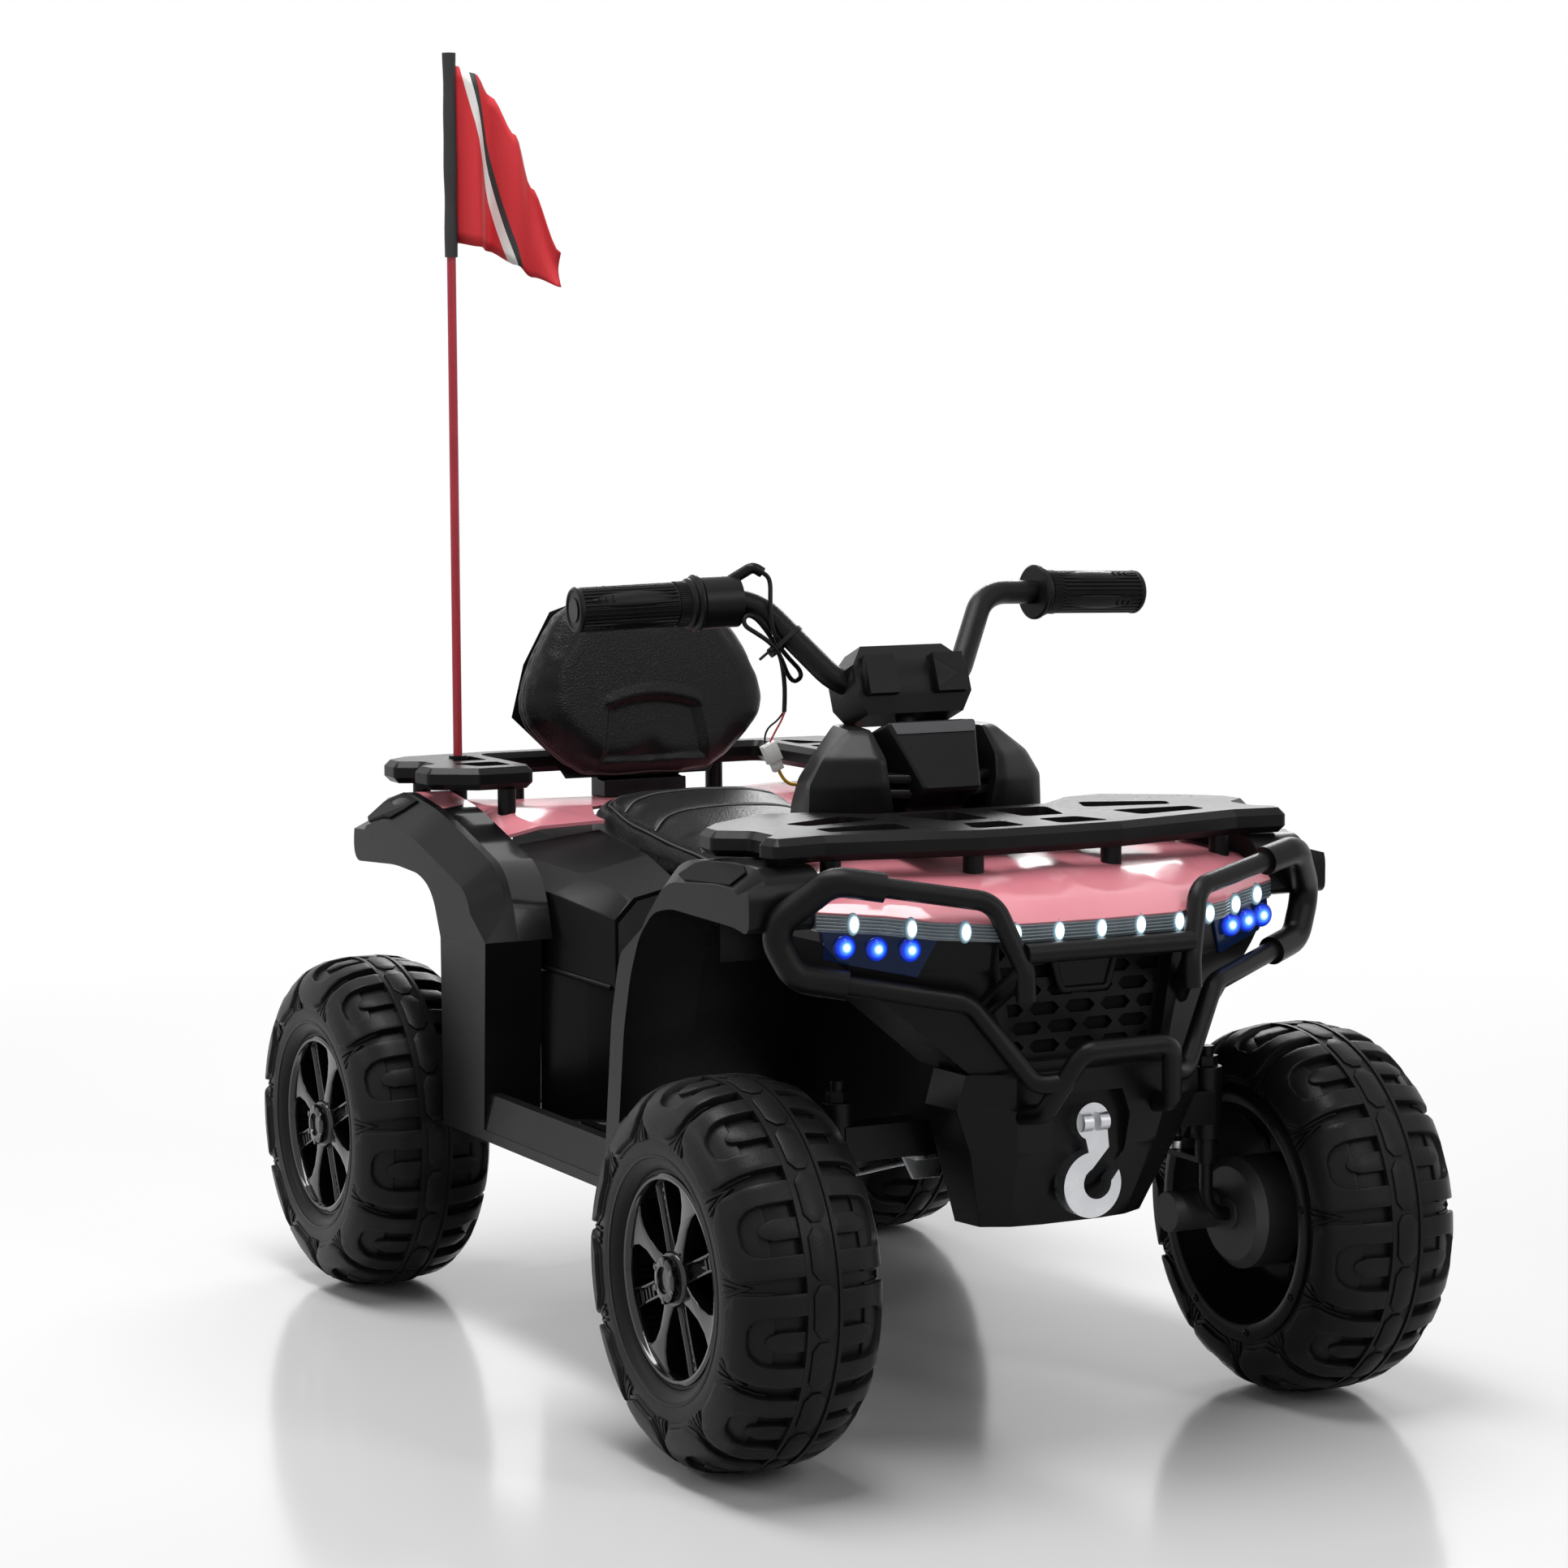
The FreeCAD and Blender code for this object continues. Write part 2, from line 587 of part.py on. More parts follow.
# Wheel, built about the origin with its outer face towards -Y
HALF_TYRE = TYRE_WIDTH / 2
RIM_FACE = -HALF_TYRE + RIM_INSET
SPOKE_FACE = RIM_FACE + SPOKE_INSET
DISC_FLOOR = HALF_TYRE - DISC_DEPTH
HUB_POCKET_FLOOR = SPOKE_FACE + SPOKE_THICKNESS
AXLE_BORE = AXLE_RADIUS + RUN_GAP


def tyre_profile(radius):
    """Section of the tyre with a given tread radius."""
    outer = [(-along * HALF_TYRE, share * radius) for along, share in TYRE_SIDE_SHARES]
    inner = [(along * HALF_TYRE, share * radius) for along, share in reversed(TYRE_SIDE_SHARES)]
    return outer, inner


def tread_block(shares, side):
    """Upright prism of one tread block at the top of the tyre."""
    pitch = 2 * math.pi * TYRE_RADIUS / LUG_COUNT
    root = LUG_ROOT_SHARE * TYRE_RADIUS
    points = [Vector(along * pitch, side * across * HALF_TYRE, root) for across, along in shares]
    return plate(points, Vector(0, 0, TYRE_RADIUS - root + OVERRUN))


def tyre():
    """Tyre with a moulded tread of horseshoe blocks, fingers and a waisted centre band."""
    outer, inner = tyre_profile(TYRE_RADIUS - LUG_HEIGHT)
    bead = [(RIM_FACE - RIM_WALL, RIM_RADIUS), (0, RIM_RADIUS), (0, DISC_RADIUS - DISC_RING)]
    seat = [(HALF_TYRE - DISC_WALL, DISC_RADIUS - DISC_RING), (HALF_TYRE - DISC_WALL, DISC_RADIUS)]
    carcass = turned(outer + inner[:-1] + [(HALF_TYRE, DISC_RADIUS)] + seat[::-1] + bead[::-1])
    outer, inner = tyre_profile(TYRE_RADIUS)
    envelope = turned(outer + inner)
    outer, inner = tyre_profile(TYRE_RADIUS - LUG_HEIGHT + BAND_HEIGHT)
    low_envelope = turned(outer + inner)
    band_points = list(BAND_SHARES) + [(-across, along) for across, along in reversed(BAND_SHARES[1:-1])]
    blocks = []
    bands = []
    for index in range(LUG_COUNT):
        angle = index * FULL_TURN / LUG_COUNT
        for side in (1, -1):
            blocks.append(spun(tread_block(HORSESHOE_SHARES, side), angle))
            blocks.append(spun(tread_block(FINGER_SHARES, side), angle))
        bands.append(spun(tread_block(band_points, 1), angle))
    lugs = envelope.common(blocks)
    plates = low_envelope.common(bands)
    return joined(carcass, *(lugs.Solids + plates.Solids))


def rim():
    """Spoked rim with a hub."""
    barrel = turned([
        (RIM_FACE, RIM_RADIUS - RIM_WALL), (RIM_FACE, RIM_RADIUS), (RIM_FACE + RIM_DEPTH, RIM_RADIUS),
        (RIM_FACE + RIM_DEPTH, RIM_RADIUS - RIM_WALL),
    ])
    hub = turned([
        (RIM_FACE, HUB_POCKET_RADIUS), (RIM_FACE, HUB_RADIUS), (DISC_FLOOR - DISC_WALL, HUB_RADIUS),
        (DISC_FLOOR - DISC_WALL, AXLE_BORE), (HUB_POCKET_FLOOR, AXLE_BORE),
        (HUB_POCKET_FLOOR, HUB_POCKET_RADIUS),
    ])
    root = (HUB_RADIUS + HUB_POCKET_RADIUS) / 2
    tip = RIM_RADIUS - RIM_WALL / 2
    spoke = loft([
        [Vector(x, y, height) for x, y in (
            (-width / 2, face), (width / 2, face), (width / 2, face + SPOKE_THICKNESS),
            (-width / 2, face + SPOKE_THICKNESS))]
        for width, face, height in (
            (SPOKE_ROOT_WIDTH, RIM_FACE, root), (SPOKE_ROOT_WIDTH, SPOKE_FACE, (root + tip) / 2),
            (SPOKE_TIP_WIDTH, SPOKE_FACE, tip))
    ])
    step = FULL_TURN / SPOKE_COUNT
    spokes = [spun(spoke, (index + 1 / 2) * step) for index in range(SPOKE_COUNT)]
    return joined(barrel, hub, *spokes)


def hub_cap():
    """Notched cap over the axle nut."""
    cap = turned([
        (RIM_FACE - HUB_CAP_HEIGHT, 0), (RIM_FACE - HUB_CAP_HEIGHT, HUB_POCKET_RADIUS),
        (RIM_FACE - HUB_CAP_HEIGHT / 2, HUB_CAP_RADIUS), (RIM_FACE, HUB_CAP_RADIUS), (RIM_FACE, 0),
    ])
    face = Vector(0, RIM_FACE - HUB_CAP_HEIGHT, 0)
    return cap.cut(hexagon(HUB_NUT_RADIUS, face, Y_AXIS * (HUB_CAP_HEIGHT / 2)))


def wheel_disc():
    """Dished inner disc with its ring of screws."""
    lip = DISC_RADIUS - DISC_RING
    disc = turned([
        (HALF_TYRE, DISC_RADIUS), (HALF_TYRE, lip), (DISC_FLOOR, DISC_FLOOR_RADIUS),
        (DISC_FLOOR, AXLE_BORE),
        (DISC_FLOOR - DISC_WALL, AXLE_BORE), (DISC_FLOOR - DISC_WALL, DISC_FLOOR_RADIUS + DISC_WALL),
        (HALF_TYRE - DISC_WALL, lip), (HALF_TYRE - DISC_WALL, DISC_RADIUS),
    ])
    screws = []
    place = Vector(0, HALF_TYRE, DISC_RADIUS - DISC_RING / 2)
    screw = rod(DISC_SCREW_RADIUS, place, place + Y_AXIS * DISC_SCREW_HEIGHT)
    for index in range(DISC_SCREW_COUNT):
        screws.append(spun(screw, index * FULL_TURN / DISC_SCREW_COUNT))
    return joined(disc, *screws)


def gearbox():
    """Gearbox in the dish of a wheel with its motor and a spacer washer, bored for the axle."""
    start = DISC_FLOOR + DISC_WALL
    end = start + GEARBOX_LENGTH
    face = GEARBOX_RADIUS - GEARBOX_CHAMFER
    case = turned([
        (start, AXLE_RADIUS), (start, face), (start + GEARBOX_CHAMFER, GEARBOX_RADIUS),
        (end - GEARBOX_CHAMFER, GEARBOX_RADIUS), (end, face), (end, AXLE_RADIUS),
    ])
    foot = Vector(-MOTOR_OFFSET, end - GEARBOX_CHAMFER, 0)
    motor = rod(MOTOR_RADIUS, foot, foot + Y_AXIS * (MOTOR_LENGTH + GEARBOX_CHAMFER))
    return joined(case, motor)


def spacer_washer():
    """Pale washer on the axle at the gearbox."""
    end = DISC_FLOOR + DISC_WALL + GEARBOX_LENGTH
    return turned([
        (end, AXLE_RADIUS), (end, WASHER_RADIUS), (end + WASHER_THICKNESS, WASHER_RADIUS),
        (end + WASHER_THICKNESS, AXLE_RADIUS),
    ])


def axle_nut():
    """Nut in the hub pocket."""
    start = Vector(0, HUB_POCKET_FLOOR - MOVE_GAP, 0)
    nut = hexagon(HUB_NUT_RADIUS, start, Vector(0, -HUB_NUT_LENGTH, 0))
    return nut.cut(rod(AXLE_RADIUS, start, start - Y_AXIS * (HUB_NUT_LENGTH + OVERRUN)))


# Front axle and steering linkage
KINGPIN_Y = -HALF_TRACK + KINGPIN_OFFSET
AXLE_END = -HALF_TRACK + HUB_POCKET_FLOOR - HUB_NUT_LENGTH
BEAM_TOP = BEAM_BOTTOM + BEAM_SIZE
COLUMN_SLOPE = math.tan(math.radians(COLUMN_TILT))
COLUMN_AXIS = Vector(-math.sin(math.radians(COLUMN_TILT)), 0, math.cos(math.radians(COLUMN_TILT)))
ARM_PIVOT = Vector(FRONT_AXLE_X - ARM_LENGTH, KINGPIN_Y, ARM_TOP)
DROP_ARM_TOP = ARM_TOP - DROP_ARM_DROP


COLUMN_FORWARD = Vector(math.cos(math.radians(COLUMN_TILT)), 0, math.sin(math.radians(COLUMN_TILT)))
BAR_CENTRE = Vector(COLUMN_X, 0, BAR_HEIGHT)
COLUMN_END = BAR_CENTRE - COLUMN_AXIS * COLUMN_TOP_DROP


def on_column(height):
    """Point of the column's axis at a height."""
    return Vector(COLUMN_X + (BAR_HEIGHT - height) * COLUMN_SLOPE, 0, height)


DROP_PIVOT = on_column(ARM_TOP) + Vector(-ARM_LENGTH, -DROP_PIN_SPREAD, 0)


def front_axle_beam():
    """Square tube with an upright bush tube at each end."""
    half = BEAM_SIZE / 2
    beam = block(
        Vector(FRONT_AXLE_X - half, KINGPIN_Y, BEAM_BOTTOM),
        Vector(FRONT_AXLE_X + half, -KINGPIN_Y, BEAM_TOP))
    inner = half - BEAM_WALL
    hollow = block(
        Vector(FRONT_AXLE_X - inner, KINGPIN_Y - OVERRUN, BEAM_BOTTOM + BEAM_WALL),
        Vector(FRONT_AXLE_X + inner, -KINGPIN_Y + OVERRUN, BEAM_TOP - BEAM_WALL))
    beam = beam.cut(hollow)
    low = Vector(FRONT_AXLE_X, KINGPIN_Y, KINGPIN_TUBE_BOTTOM)
    high = Vector(FRONT_AXLE_X, KINGPIN_Y, KINGPIN_TUBE_TOP)
    sleeve = rod(KINGPIN_TUBE_RADIUS + BEAM_WALL, low, high)
    bore = rod(KINGPIN_RADIUS + RUN_GAP, low - Z_AXIS * OVERRUN, high + Z_AXIS * OVERRUN)
    whole = joined(beam, sleeve, mirrored(sleeve))
    return main_solid(whole.cut([bore, mirrored(bore)]))


def kingpin():
    """Bent kingpin with its stub axle and steering arm."""
    top = Vector(FRONT_AXLE_X, KINGPIN_Y, KINGPIN_TOP)
    corner = Vector(FRONT_AXLE_X, KINGPIN_Y, TYRE_RADIUS)
    end = Vector(FRONT_AXLE_X, AXLE_END, TYRE_RADIUS)
    pin = tube([top, corner, end], KINGPIN_RADIUS, KINGPIN_BEND)
    half = ARM_WIDTH / 2
    base = ARM_TOP - ARM_THICKNESS
    outline = rounded([
        Vector(FRONT_AXLE_X + half, KINGPIN_Y - half, base),
        Vector(FRONT_AXLE_X + half, KINGPIN_Y + half, base),
        Vector(ARM_PIVOT.x - half, KINGPIN_Y + half, base),
        Vector(ARM_PIVOT.x - half, KINGPIN_Y - half, base),
    ], half)
    arm = Part.Face(outline).extrude(Z_AXIS * ARM_THICKNESS)
    stud = rod(ARM_PIN_RADIUS, ARM_PIVOT, ARM_PIVOT + Z_AXIS * ARM_PIN_HEIGHT)
    collar_top = Vector(FRONT_AXLE_X, KINGPIN_Y, KINGPIN_TUBE_BOTTOM - MOVE_GAP)
    collar = rod(NUT_RADIUS, Vector(FRONT_AXLE_X, KINGPIN_Y, base), collar_top)
    return joined(pin, arm, stud, collar)


def kingpin_nuts():
    """Top nut of the kingpin and the nut at the end of its stub axle."""
    foot = Vector(FRONT_AXLE_X, KINGPIN_Y, KINGPIN_TUBE_TOP + MOVE_GAP)
    nut = hexagon(NUT_RADIUS, foot, Z_AXIS * NUT_HEIGHT)
    nut = nut.cut(rod(KINGPIN_RADIUS, foot, foot + Z_AXIS * NUT_HEIGHT))
    end = moved(axle_nut(), Vector(FRONT_AXLE_X, -HALF_TRACK, TYRE_RADIUS))
    return [nut, end]


def tie_rod():
    """Rod from the steering arm to the drop arm, an eye at each end."""
    lift = Z_AXIS * MOVE_GAP
    height = Z_AXIS * ROD_EYE_THICKNESS
    outer = ARM_PIVOT + lift
    inner = DROP_PIVOT + lift
    bar = rod(ROD_RADIUS, outer + height * (1 / 2), inner + height * (1 / 2))
    inner_radius = ARM_PIN_RADIUS + OPEN_PIVOT_GAP
    eyes = [rod(ROD_EYE_RADIUS, outer, outer + height)]
    eyes.append(rod(inner_radius + ROD_RADIUS, inner, inner + height))
    holes = [rod(ARM_PIN_RADIUS + LINK_GAP, outer - height, outer + height * 2)]
    holes.append(rod(inner_radius, inner - height, inner + height * 2))
    return main_solid(joined(bar, *eyes).cut(holes))


def steering_column():
    """Column with a welded drop arm and its two pins."""
    low = on_column(COLUMN_LOW)
    shaft = rod(COLUMN_RADIUS, low, COLUMN_END)
    half = ARM_WIDTH / 2
    base = DROP_ARM_TOP - ARM_THICKNESS
    centre = on_column(DROP_ARM_TOP)
    spread = DROP_PIN_SPREAD
    arm = Part.Face(rounded([
        Vector(centre.x + half, -half, base), Vector(centre.x + half, half, base),
        Vector(DROP_PIVOT.x - half, spread + half, base), Vector(DROP_PIVOT.x - half, -spread - half, base),
    ], half)).extrude(Z_AXIS * ARM_THICKNESS)
    pins = []
    for side in (1, -1):
        foot = Vector(DROP_PIVOT.x, side * spread, DROP_ARM_TOP)
        pins.append(rod(ARM_PIN_RADIUS, foot, foot + Z_AXIS * (DROP_ARM_DROP + DROP_PIN_HEIGHT)))
    return joined(shaft, arm, *pins)


def column_bush():
    """Bush that carries the column in the tub."""
    top = on_column(COLUMN_BUSH_HEIGHT)
    low = top - COLUMN_AXIS * COLUMN_BUSH_LENGTH
    bore = rod(COLUMN_RADIUS + RUN_GAP, low - COLUMN_AXIS * OVERRUN, top + COLUMN_AXIS * OVERRUN)
    return main_solid(rod(COLUMN_BUSH_RADIUS, low, top).cut(bore))


def beam_bracket():
    """Zinc stop bracket welded under the beam."""
    half = BRACKET_LENGTH / 2
    place = Vector(FRONT_AXLE_X - BEAM_SIZE / 2, KINGPIN_Y / 2, BEAM_BOTTOM)
    outline = [
        Vector(place.x, place.y - half, place.z), Vector(place.x, place.y + half, place.z),
        Vector(place.x, place.y + half / 2, place.z - BRACKET_DEPTH),
        Vector(place.x, place.y - half / 2, place.z - BRACKET_DEPTH),
    ]
    web = plate(outline, X_AXIS * BRACKET_WALL)
    flange = block(
        Vector(place.x, place.y - half, place.z - BRACKET_WALL),
        Vector(place.x + BEAM_SIZE, place.y + half, place.z))
    return joined(web, flange)


# Handlebar
BAR_RISE = Vector(COLUMN_X - BAR_BACKSET, -BAR_RISE_HALF, BAR_GRIP_HEIGHT)
BAR_END = BAR_RISE + Vector(-BAR_SWEEP, BAR_RISE_HALF - BAR_END_HALF, -BAR_END_DROP)
GRIP_DIRECTION = (BAR_END - BAR_RISE).normalize()
GRIP_START = BAR_END - GRIP_DIRECTION * GRIP_LENGTH


def handlebar():
    """Bent tube from grip to grip."""
    half = [BAR_END, BAR_RISE, Vector(COLUMN_X, -BAR_FLAT_HALF, BAR_HEIGHT)]
    points = half + [Vector(p.x, -p.y, p.z) for p in reversed(half)]
    return tube(points, BAR_RADIUS, BAR_BEND)


def grip(bore):
    """Ribbed grip with a flange and a closed end, on the right side."""
    start = GRIP_START
    end = BAR_END + GRIP_DIRECTION * GRIP_CAP
    body = rod(GRIP_RADIUS, start, end)
    flange = rod(GRIP_FLANGE_RADIUS, start, start + GRIP_DIRECTION * GRIP_FLANGE_WIDTH)
    first = start + GRIP_DIRECTION * (2 * GRIP_FLANGE_WIDTH)
    pitch = (GRIP_LENGTH - 3 * GRIP_FLANGE_WIDTH) / GRIP_RIB_COUNT
    grooves = []
    for index in range(GRIP_RIB_COUNT):
        low = first + GRIP_DIRECTION * (pitch * index)
        ring = rod(GRIP_FLANGE_RADIUS, low, low + GRIP_DIRECTION * (pitch / 2))
        grooves.append(ring.cut(rod(GRIP_RADIUS - GRIP_RIB_DEPTH, low, low + GRIP_DIRECTION * (pitch / 2))))
    whole = joined(body, flange)
    room = rod(bore, start - GRIP_DIRECTION * OVERRUN, BAR_END + GRIP_DIRECTION * (bore - BAR_RADIUS))
    return trimmed(whole, room, *grooves)


def throttle_housing(bar):
    """Housing of the twist throttle with its cable horn."""
    end = GRIP_START - GRIP_DIRECTION * THROTTLE_GAP
    start = end - GRIP_DIRECTION * THROTTLE_HOUSING_LENGTH
    body = rod(THROTTLE_HOUSING_RADIUS, start, end)
    tip = Vector(*CABLE_POINTS[0])
    direction = (Vector(*CABLE_POINTS[1]) - tip).normalize()
    root = (start + end) * (1 / 2) + Z_AXIS * (THROTTLE_HOUSING_RADIUS / 2)
    bend = tip - direction * (2 * HORN_RADIUS)
    horn = tube([root, bend, tip], HORN_RADIUS, HORN_RADIUS * 2)
    return trimmed(joined(body, horn), bar)


def clamp_blocks(bar, column):
    """Lower clamp block and its cover, both gripping the bar."""
    sections = []
    for up, wide, deep in CLAMP_SHARES:
        rise = up * (CLAMP_ABOVE if up > 0 else CLAMP_BELOW)
        centre = BAR_CENTRE + COLUMN_AXIS * rise
        side = Y_AXIS * (wide * CLAMP_HALF_WIDTH)
        ahead = COLUMN_FORWARD * (deep * CLAMP_HALF_DEPTH)
        sections.append([
            centre + side + ahead, centre - side + ahead, centre - side - ahead, centre + side - ahead])
    split = [up for up, wide, deep in CLAMP_SHARES].index(0)
    lower = joined(loft(sections[:split + 1]), *clamp_pads(CLAMP_PAD_RISE_SHARES[0] * CLAMP_BELOW))
    cover = joined(loft(sections[split:]), *clamp_pads(CLAMP_PAD_RISE_SHARES[1] * CLAMP_ABOVE))
    return trimmed(lower, bar, column), trimmed(cover, bar)


def clamp_pads(rise):
    """Pads on the front of a clamp block, from its split line up or down."""
    pads = []
    inner, outer = [share * CLAMP_HALF_WIDTH for share in CLAMP_PAD_SHARES]
    front = BAR_CENTRE + COLUMN_FORWARD * (CLAMP_HALF_DEPTH / 2)
    for side in (1, -1):
        corners = [front + Y_AXIS * (side * inner), front + Y_AXIS * (side * outer)]
        corners += [p + COLUMN_AXIS * rise for p in reversed(corners)]
        pads.append(plate(corners, COLUMN_FORWARD * (CLAMP_HALF_DEPTH / 2 + CLAMP_PAD_REACH)))
    return pads


def cable_tie(bar):
    """Strap round the bar and the hank of cable."""
    along = (Vector(COLUMN_X, -BAR_FLAT_HALF, BAR_HEIGHT) - BAR_RISE).normalize()
    hank = Vector(*TIE_HANK_POINT)
    centre = BAR_RISE + along * along.dot(hank - BAR_RISE)
    reach = (hank - centre).normalize()
    across = along.cross(reach)
    outer = []
    inner = []
    for points, wall in ((outer, TIE_WALL), (inner, 0)):
        for middle, radius, first in ((centre, BAR_RADIUS, 1), (hank, TIE_HANK_RADIUS, 0)):
            for step in range(TIE_STEPS + 1):
                angle = math.pi * (first - 1 / 2 + step / TIE_STEPS)
                ray = reach * math.cos(angle) + across * math.sin(angle)
                points.append(middle + ray * (radius + wall))
    start = along * (-TIE_WIDTH / 2)
    push = along * TIE_WIDTH
    strap = plate([p + start for p in outer], push)
    return trimmed(strap, plate([p + start for p in inner], push), bar)


def cord(points, radius, name):
    """Round cord through hand-placed points; prints its arc radii and its volume against its length."""
    route = [Vector(*point) for point in points]
    path, radii = bent_path(route, None)
    ring = Part.Wire(Part.makeCircle(radius, route[0], route[1] - route[0]))
    solid = path.makePipeShell([ring], True, False)
    print(name, "radii", [round(value, 1) for value in radii])
    share = solid.Volume / (path.Length * math.pi * radius ** 2)
    print(name, "length", round(path.Length, 1), "volume share", round(share, 4))
    return solid


def plug():
    """Connector at the end of the throttle cable and the darker half plugged into it."""
    top = Vector(*PLUG_TOP)
    low = Vector(*PLUG_LOW)
    side = (low - top).cross(X_AXIS).normalize() * (PLUG_WIDTH / 2)
    deep = X_AXIS * (PLUG_DEPTH / 2)
    split = top + (low - top) * PLUG_SPLIT_SHARE
    halves = []
    for start, end, share in ((top, split, 1), (split, low, PLUG_TAIL_SHARE)):
        corners = [side + deep, side - deep, -side - deep, deep - side]
        halves.append(plate([start + corner * share for corner in corners], end - start))
    return Part.makeCompound(halves)


# Lower body
def tub():
    """Lower tub with a battery bay that opens upward."""
    points = [at(along, 0, up) - Y_AXIS * TUB_HALF for along, up in TUB_SHARES]
    body = Part.Face(rounded(points, BEAM_SIZE)).extrude(Y_AXIS * (2 * TUB_HALF))
    return body


def bay_box():
    """Room of the battery bay."""
    corner = at(BAY_START_SHARE, 0, 1)
    seat_line = at(BAY_START_SHARE, 0, SEAT_LINE_SHARE)
    return block(
        Vector(corner.x, -BAY_HALF, seat_line.z - BAY_DEPTH),
        Vector(corner.x + BAY_LENGTH, BAY_HALF, corner.z))


def battery():
    """Battery that stands in the bay."""
    room = bay_box().BoundBox
    gap = Vector(BATTERY_GAP, BATTERY_GAP, 0)
    low = Vector(room.XMin, room.YMin, room.ZMin) + gap
    high = Vector(room.XMax, room.YMax, room.ZMin + BATTERY_HEIGHT) - gap
    case = block(low, high)
    handle = block(
        Vector((low.x + high.x) / 2 - BATTERY_GAP, low.y / 2, high.z),
        Vector((low.x + high.x) / 2 + BATTERY_GAP, high.y / 2, high.z + 2 * BATTERY_GAP))
    return joined(case, handle)


def rear_axle():
    """Axle rod across both rear wheels."""
    end = Vector(REAR_AXLE_X, AXLE_END, TYRE_RADIUS)
    return rod(AXLE_RADIUS, end, Vector(end.x, -end.y, end.z))


def axle_carrier():
    """Block that hangs from the tub and holds the rear axle."""
    half = CARRIER_WIDTH / 2
    foot = CARRIER_FOOT / 2
    top = at(0, 0, CARRIER_TOP_SHARE).z
    outline = [
        Vector(REAR_AXLE_X - half, -CARRIER_HALF, top), Vector(REAR_AXLE_X + half, -CARRIER_HALF, top),
        Vector(REAR_AXLE_X + foot, -CARRIER_HALF, TYRE_RADIUS - foot),
        Vector(REAR_AXLE_X - foot, -CARRIER_HALF, TYRE_RADIUS - foot),
    ]
    return Part.Face(rounded(outline, foot / 2)).extrude(Y_AXIS * (2 * CARRIER_HALF))


def footwell():
    """Right footwell: ribbed floor, sill, rear post and front guard in one moulding."""
    start = at(FLOOR_START_SHARE, -SIDE_OUT_SHARE, FLOOR_SHARE)
    end = at(FLOOR_END_SHARE, -SIDE_OUT_SHARE, FLOOR_SHARE)
    run = Vector(end.x - start.x, 0, 0)
    base = start.z
    floor = block(Vector(start.x, start.y, base), Vector(end.x, -TUB_HALF, base + FLOOR_THICKNESS))
    sill = plate([
        Vector(start.x, start.y, base), Vector(start.x, start.y + SILL_WIDTH, base),
        Vector(start.x, start.y + SILL_WIDTH * (1 - SILL_SLOPE_SHARE), base + SILL_HEIGHT),
        Vector(start.x, start.y + SILL_WIDTH * SILL_SLOPE_SHARE, base + SILL_HEIGHT)], run)
    ribs = []
    first = start.y + 2 * SILL_WIDTH
    pitch = (-TUB_HALF - first) / FLOOR_RIB_COUNT
    for index in range(FLOOR_RIB_COUNT):
        y = first + pitch * index
        top = base + FLOOR_THICKNESS + FLOOR_RIB
        ribs.append(block(Vector(start.x, y, base), Vector(end.x, y + pitch / 2, top)))
    post_in = at(0, -POST_IN_SHARE, 0).y
    post = plate([at(a, -SIDE_OUT_SHARE, u) for a, u in POST_SHARES], Y_AXIS * (post_in - start.y))
    guard_out = at(0, -SIDE_IN_SHARE, 0).y
    guard = plate([at(a, -SIDE_IN_SHARE, u) for a, u in GUARD_SHARES], Y_AXIS * (-TUB_HALF - guard_out))
    return joined(floor, sill, post, guard, *ribs)


def flare(shares):
    """Right fender flare, a tray open towards the body, and the same without its hollow."""
    points = [at(a, -SIDE_OUT_SHARE, u) for a, u in shares]
    width = at(0, -SIDE_IN_SHARE, 0).y - points[0].y
    body = plate(points, Y_AXIS * width)
    room = polygon(points).makeOffset2D(-FLARE_WALL)
    hollow = moved(Part.Face(room).extrude(Y_AXIS * width), Y_AXIS * FLARE_WALL)
    return main_solid(body.cut(hollow)), body


def hood():
    """Pink hood: a wall through fore-and-aft rows, swept back at the corners."""
    half = [[at(a, -across, u) for a, u in row] for across, row in HOOD_ROWS_SHARES]
    rows = list(reversed(half)) + [[Vector(p.x, -p.y, p.z) for p in row] for row in half[1:]]
    return skin(rows, Vector(-PANEL_WALL, 0, -PANEL_WALL))


def deck():
    """Pink rear deck."""
    rows = []
    for along, row in DECK_ROWS_SHARES:
        half = [at(along, -across, up) for across, up in reversed(row)]
        rows.append(half + [Vector(p.x, -p.y, p.z) for p in reversed(half[:-1])])
    return skin(rows, Vector(0, 0, -PANEL_WALL))


def side_panel():
    """Right side panel between seat and rear fender."""
    rows = [[at(along, -across, up) for across, up in row] for along, row in SIDE_ROWS_SHARES]
    return skin(rows, Vector(0, PANEL_WALL, -PANEL_WALL))


def levels(table):
    """Solid through plan outlines at several heights, the same on both sides."""
    sections = []
    for up, row in table:
        half = [at(along, -across, up) for along, across in row]
        sections.append(half + [Vector(p.x, -p.y, p.z) for p in reversed(half)])
    return loft(sections)


NOSE_X = at(FASCIA_LEVELS_SHARES[1][1][2][0], 0, 0).x


def grille_outline(x, grow):
    """Outline of the grille opening."""
    top = at(0, 0, GRILLE_TOP_SHARE).z + grow
    low = at(0, 0, GRILLE_LOW_SHARE).z - grow
    wide = GRILLE_TOP_HALF + grow
    narrow = GRILLE_LOW_HALF + grow
    return [Vector(x, -wide, top), Vector(x, wide, top), Vector(x, narrow, low), Vector(x, -narrow, low)]


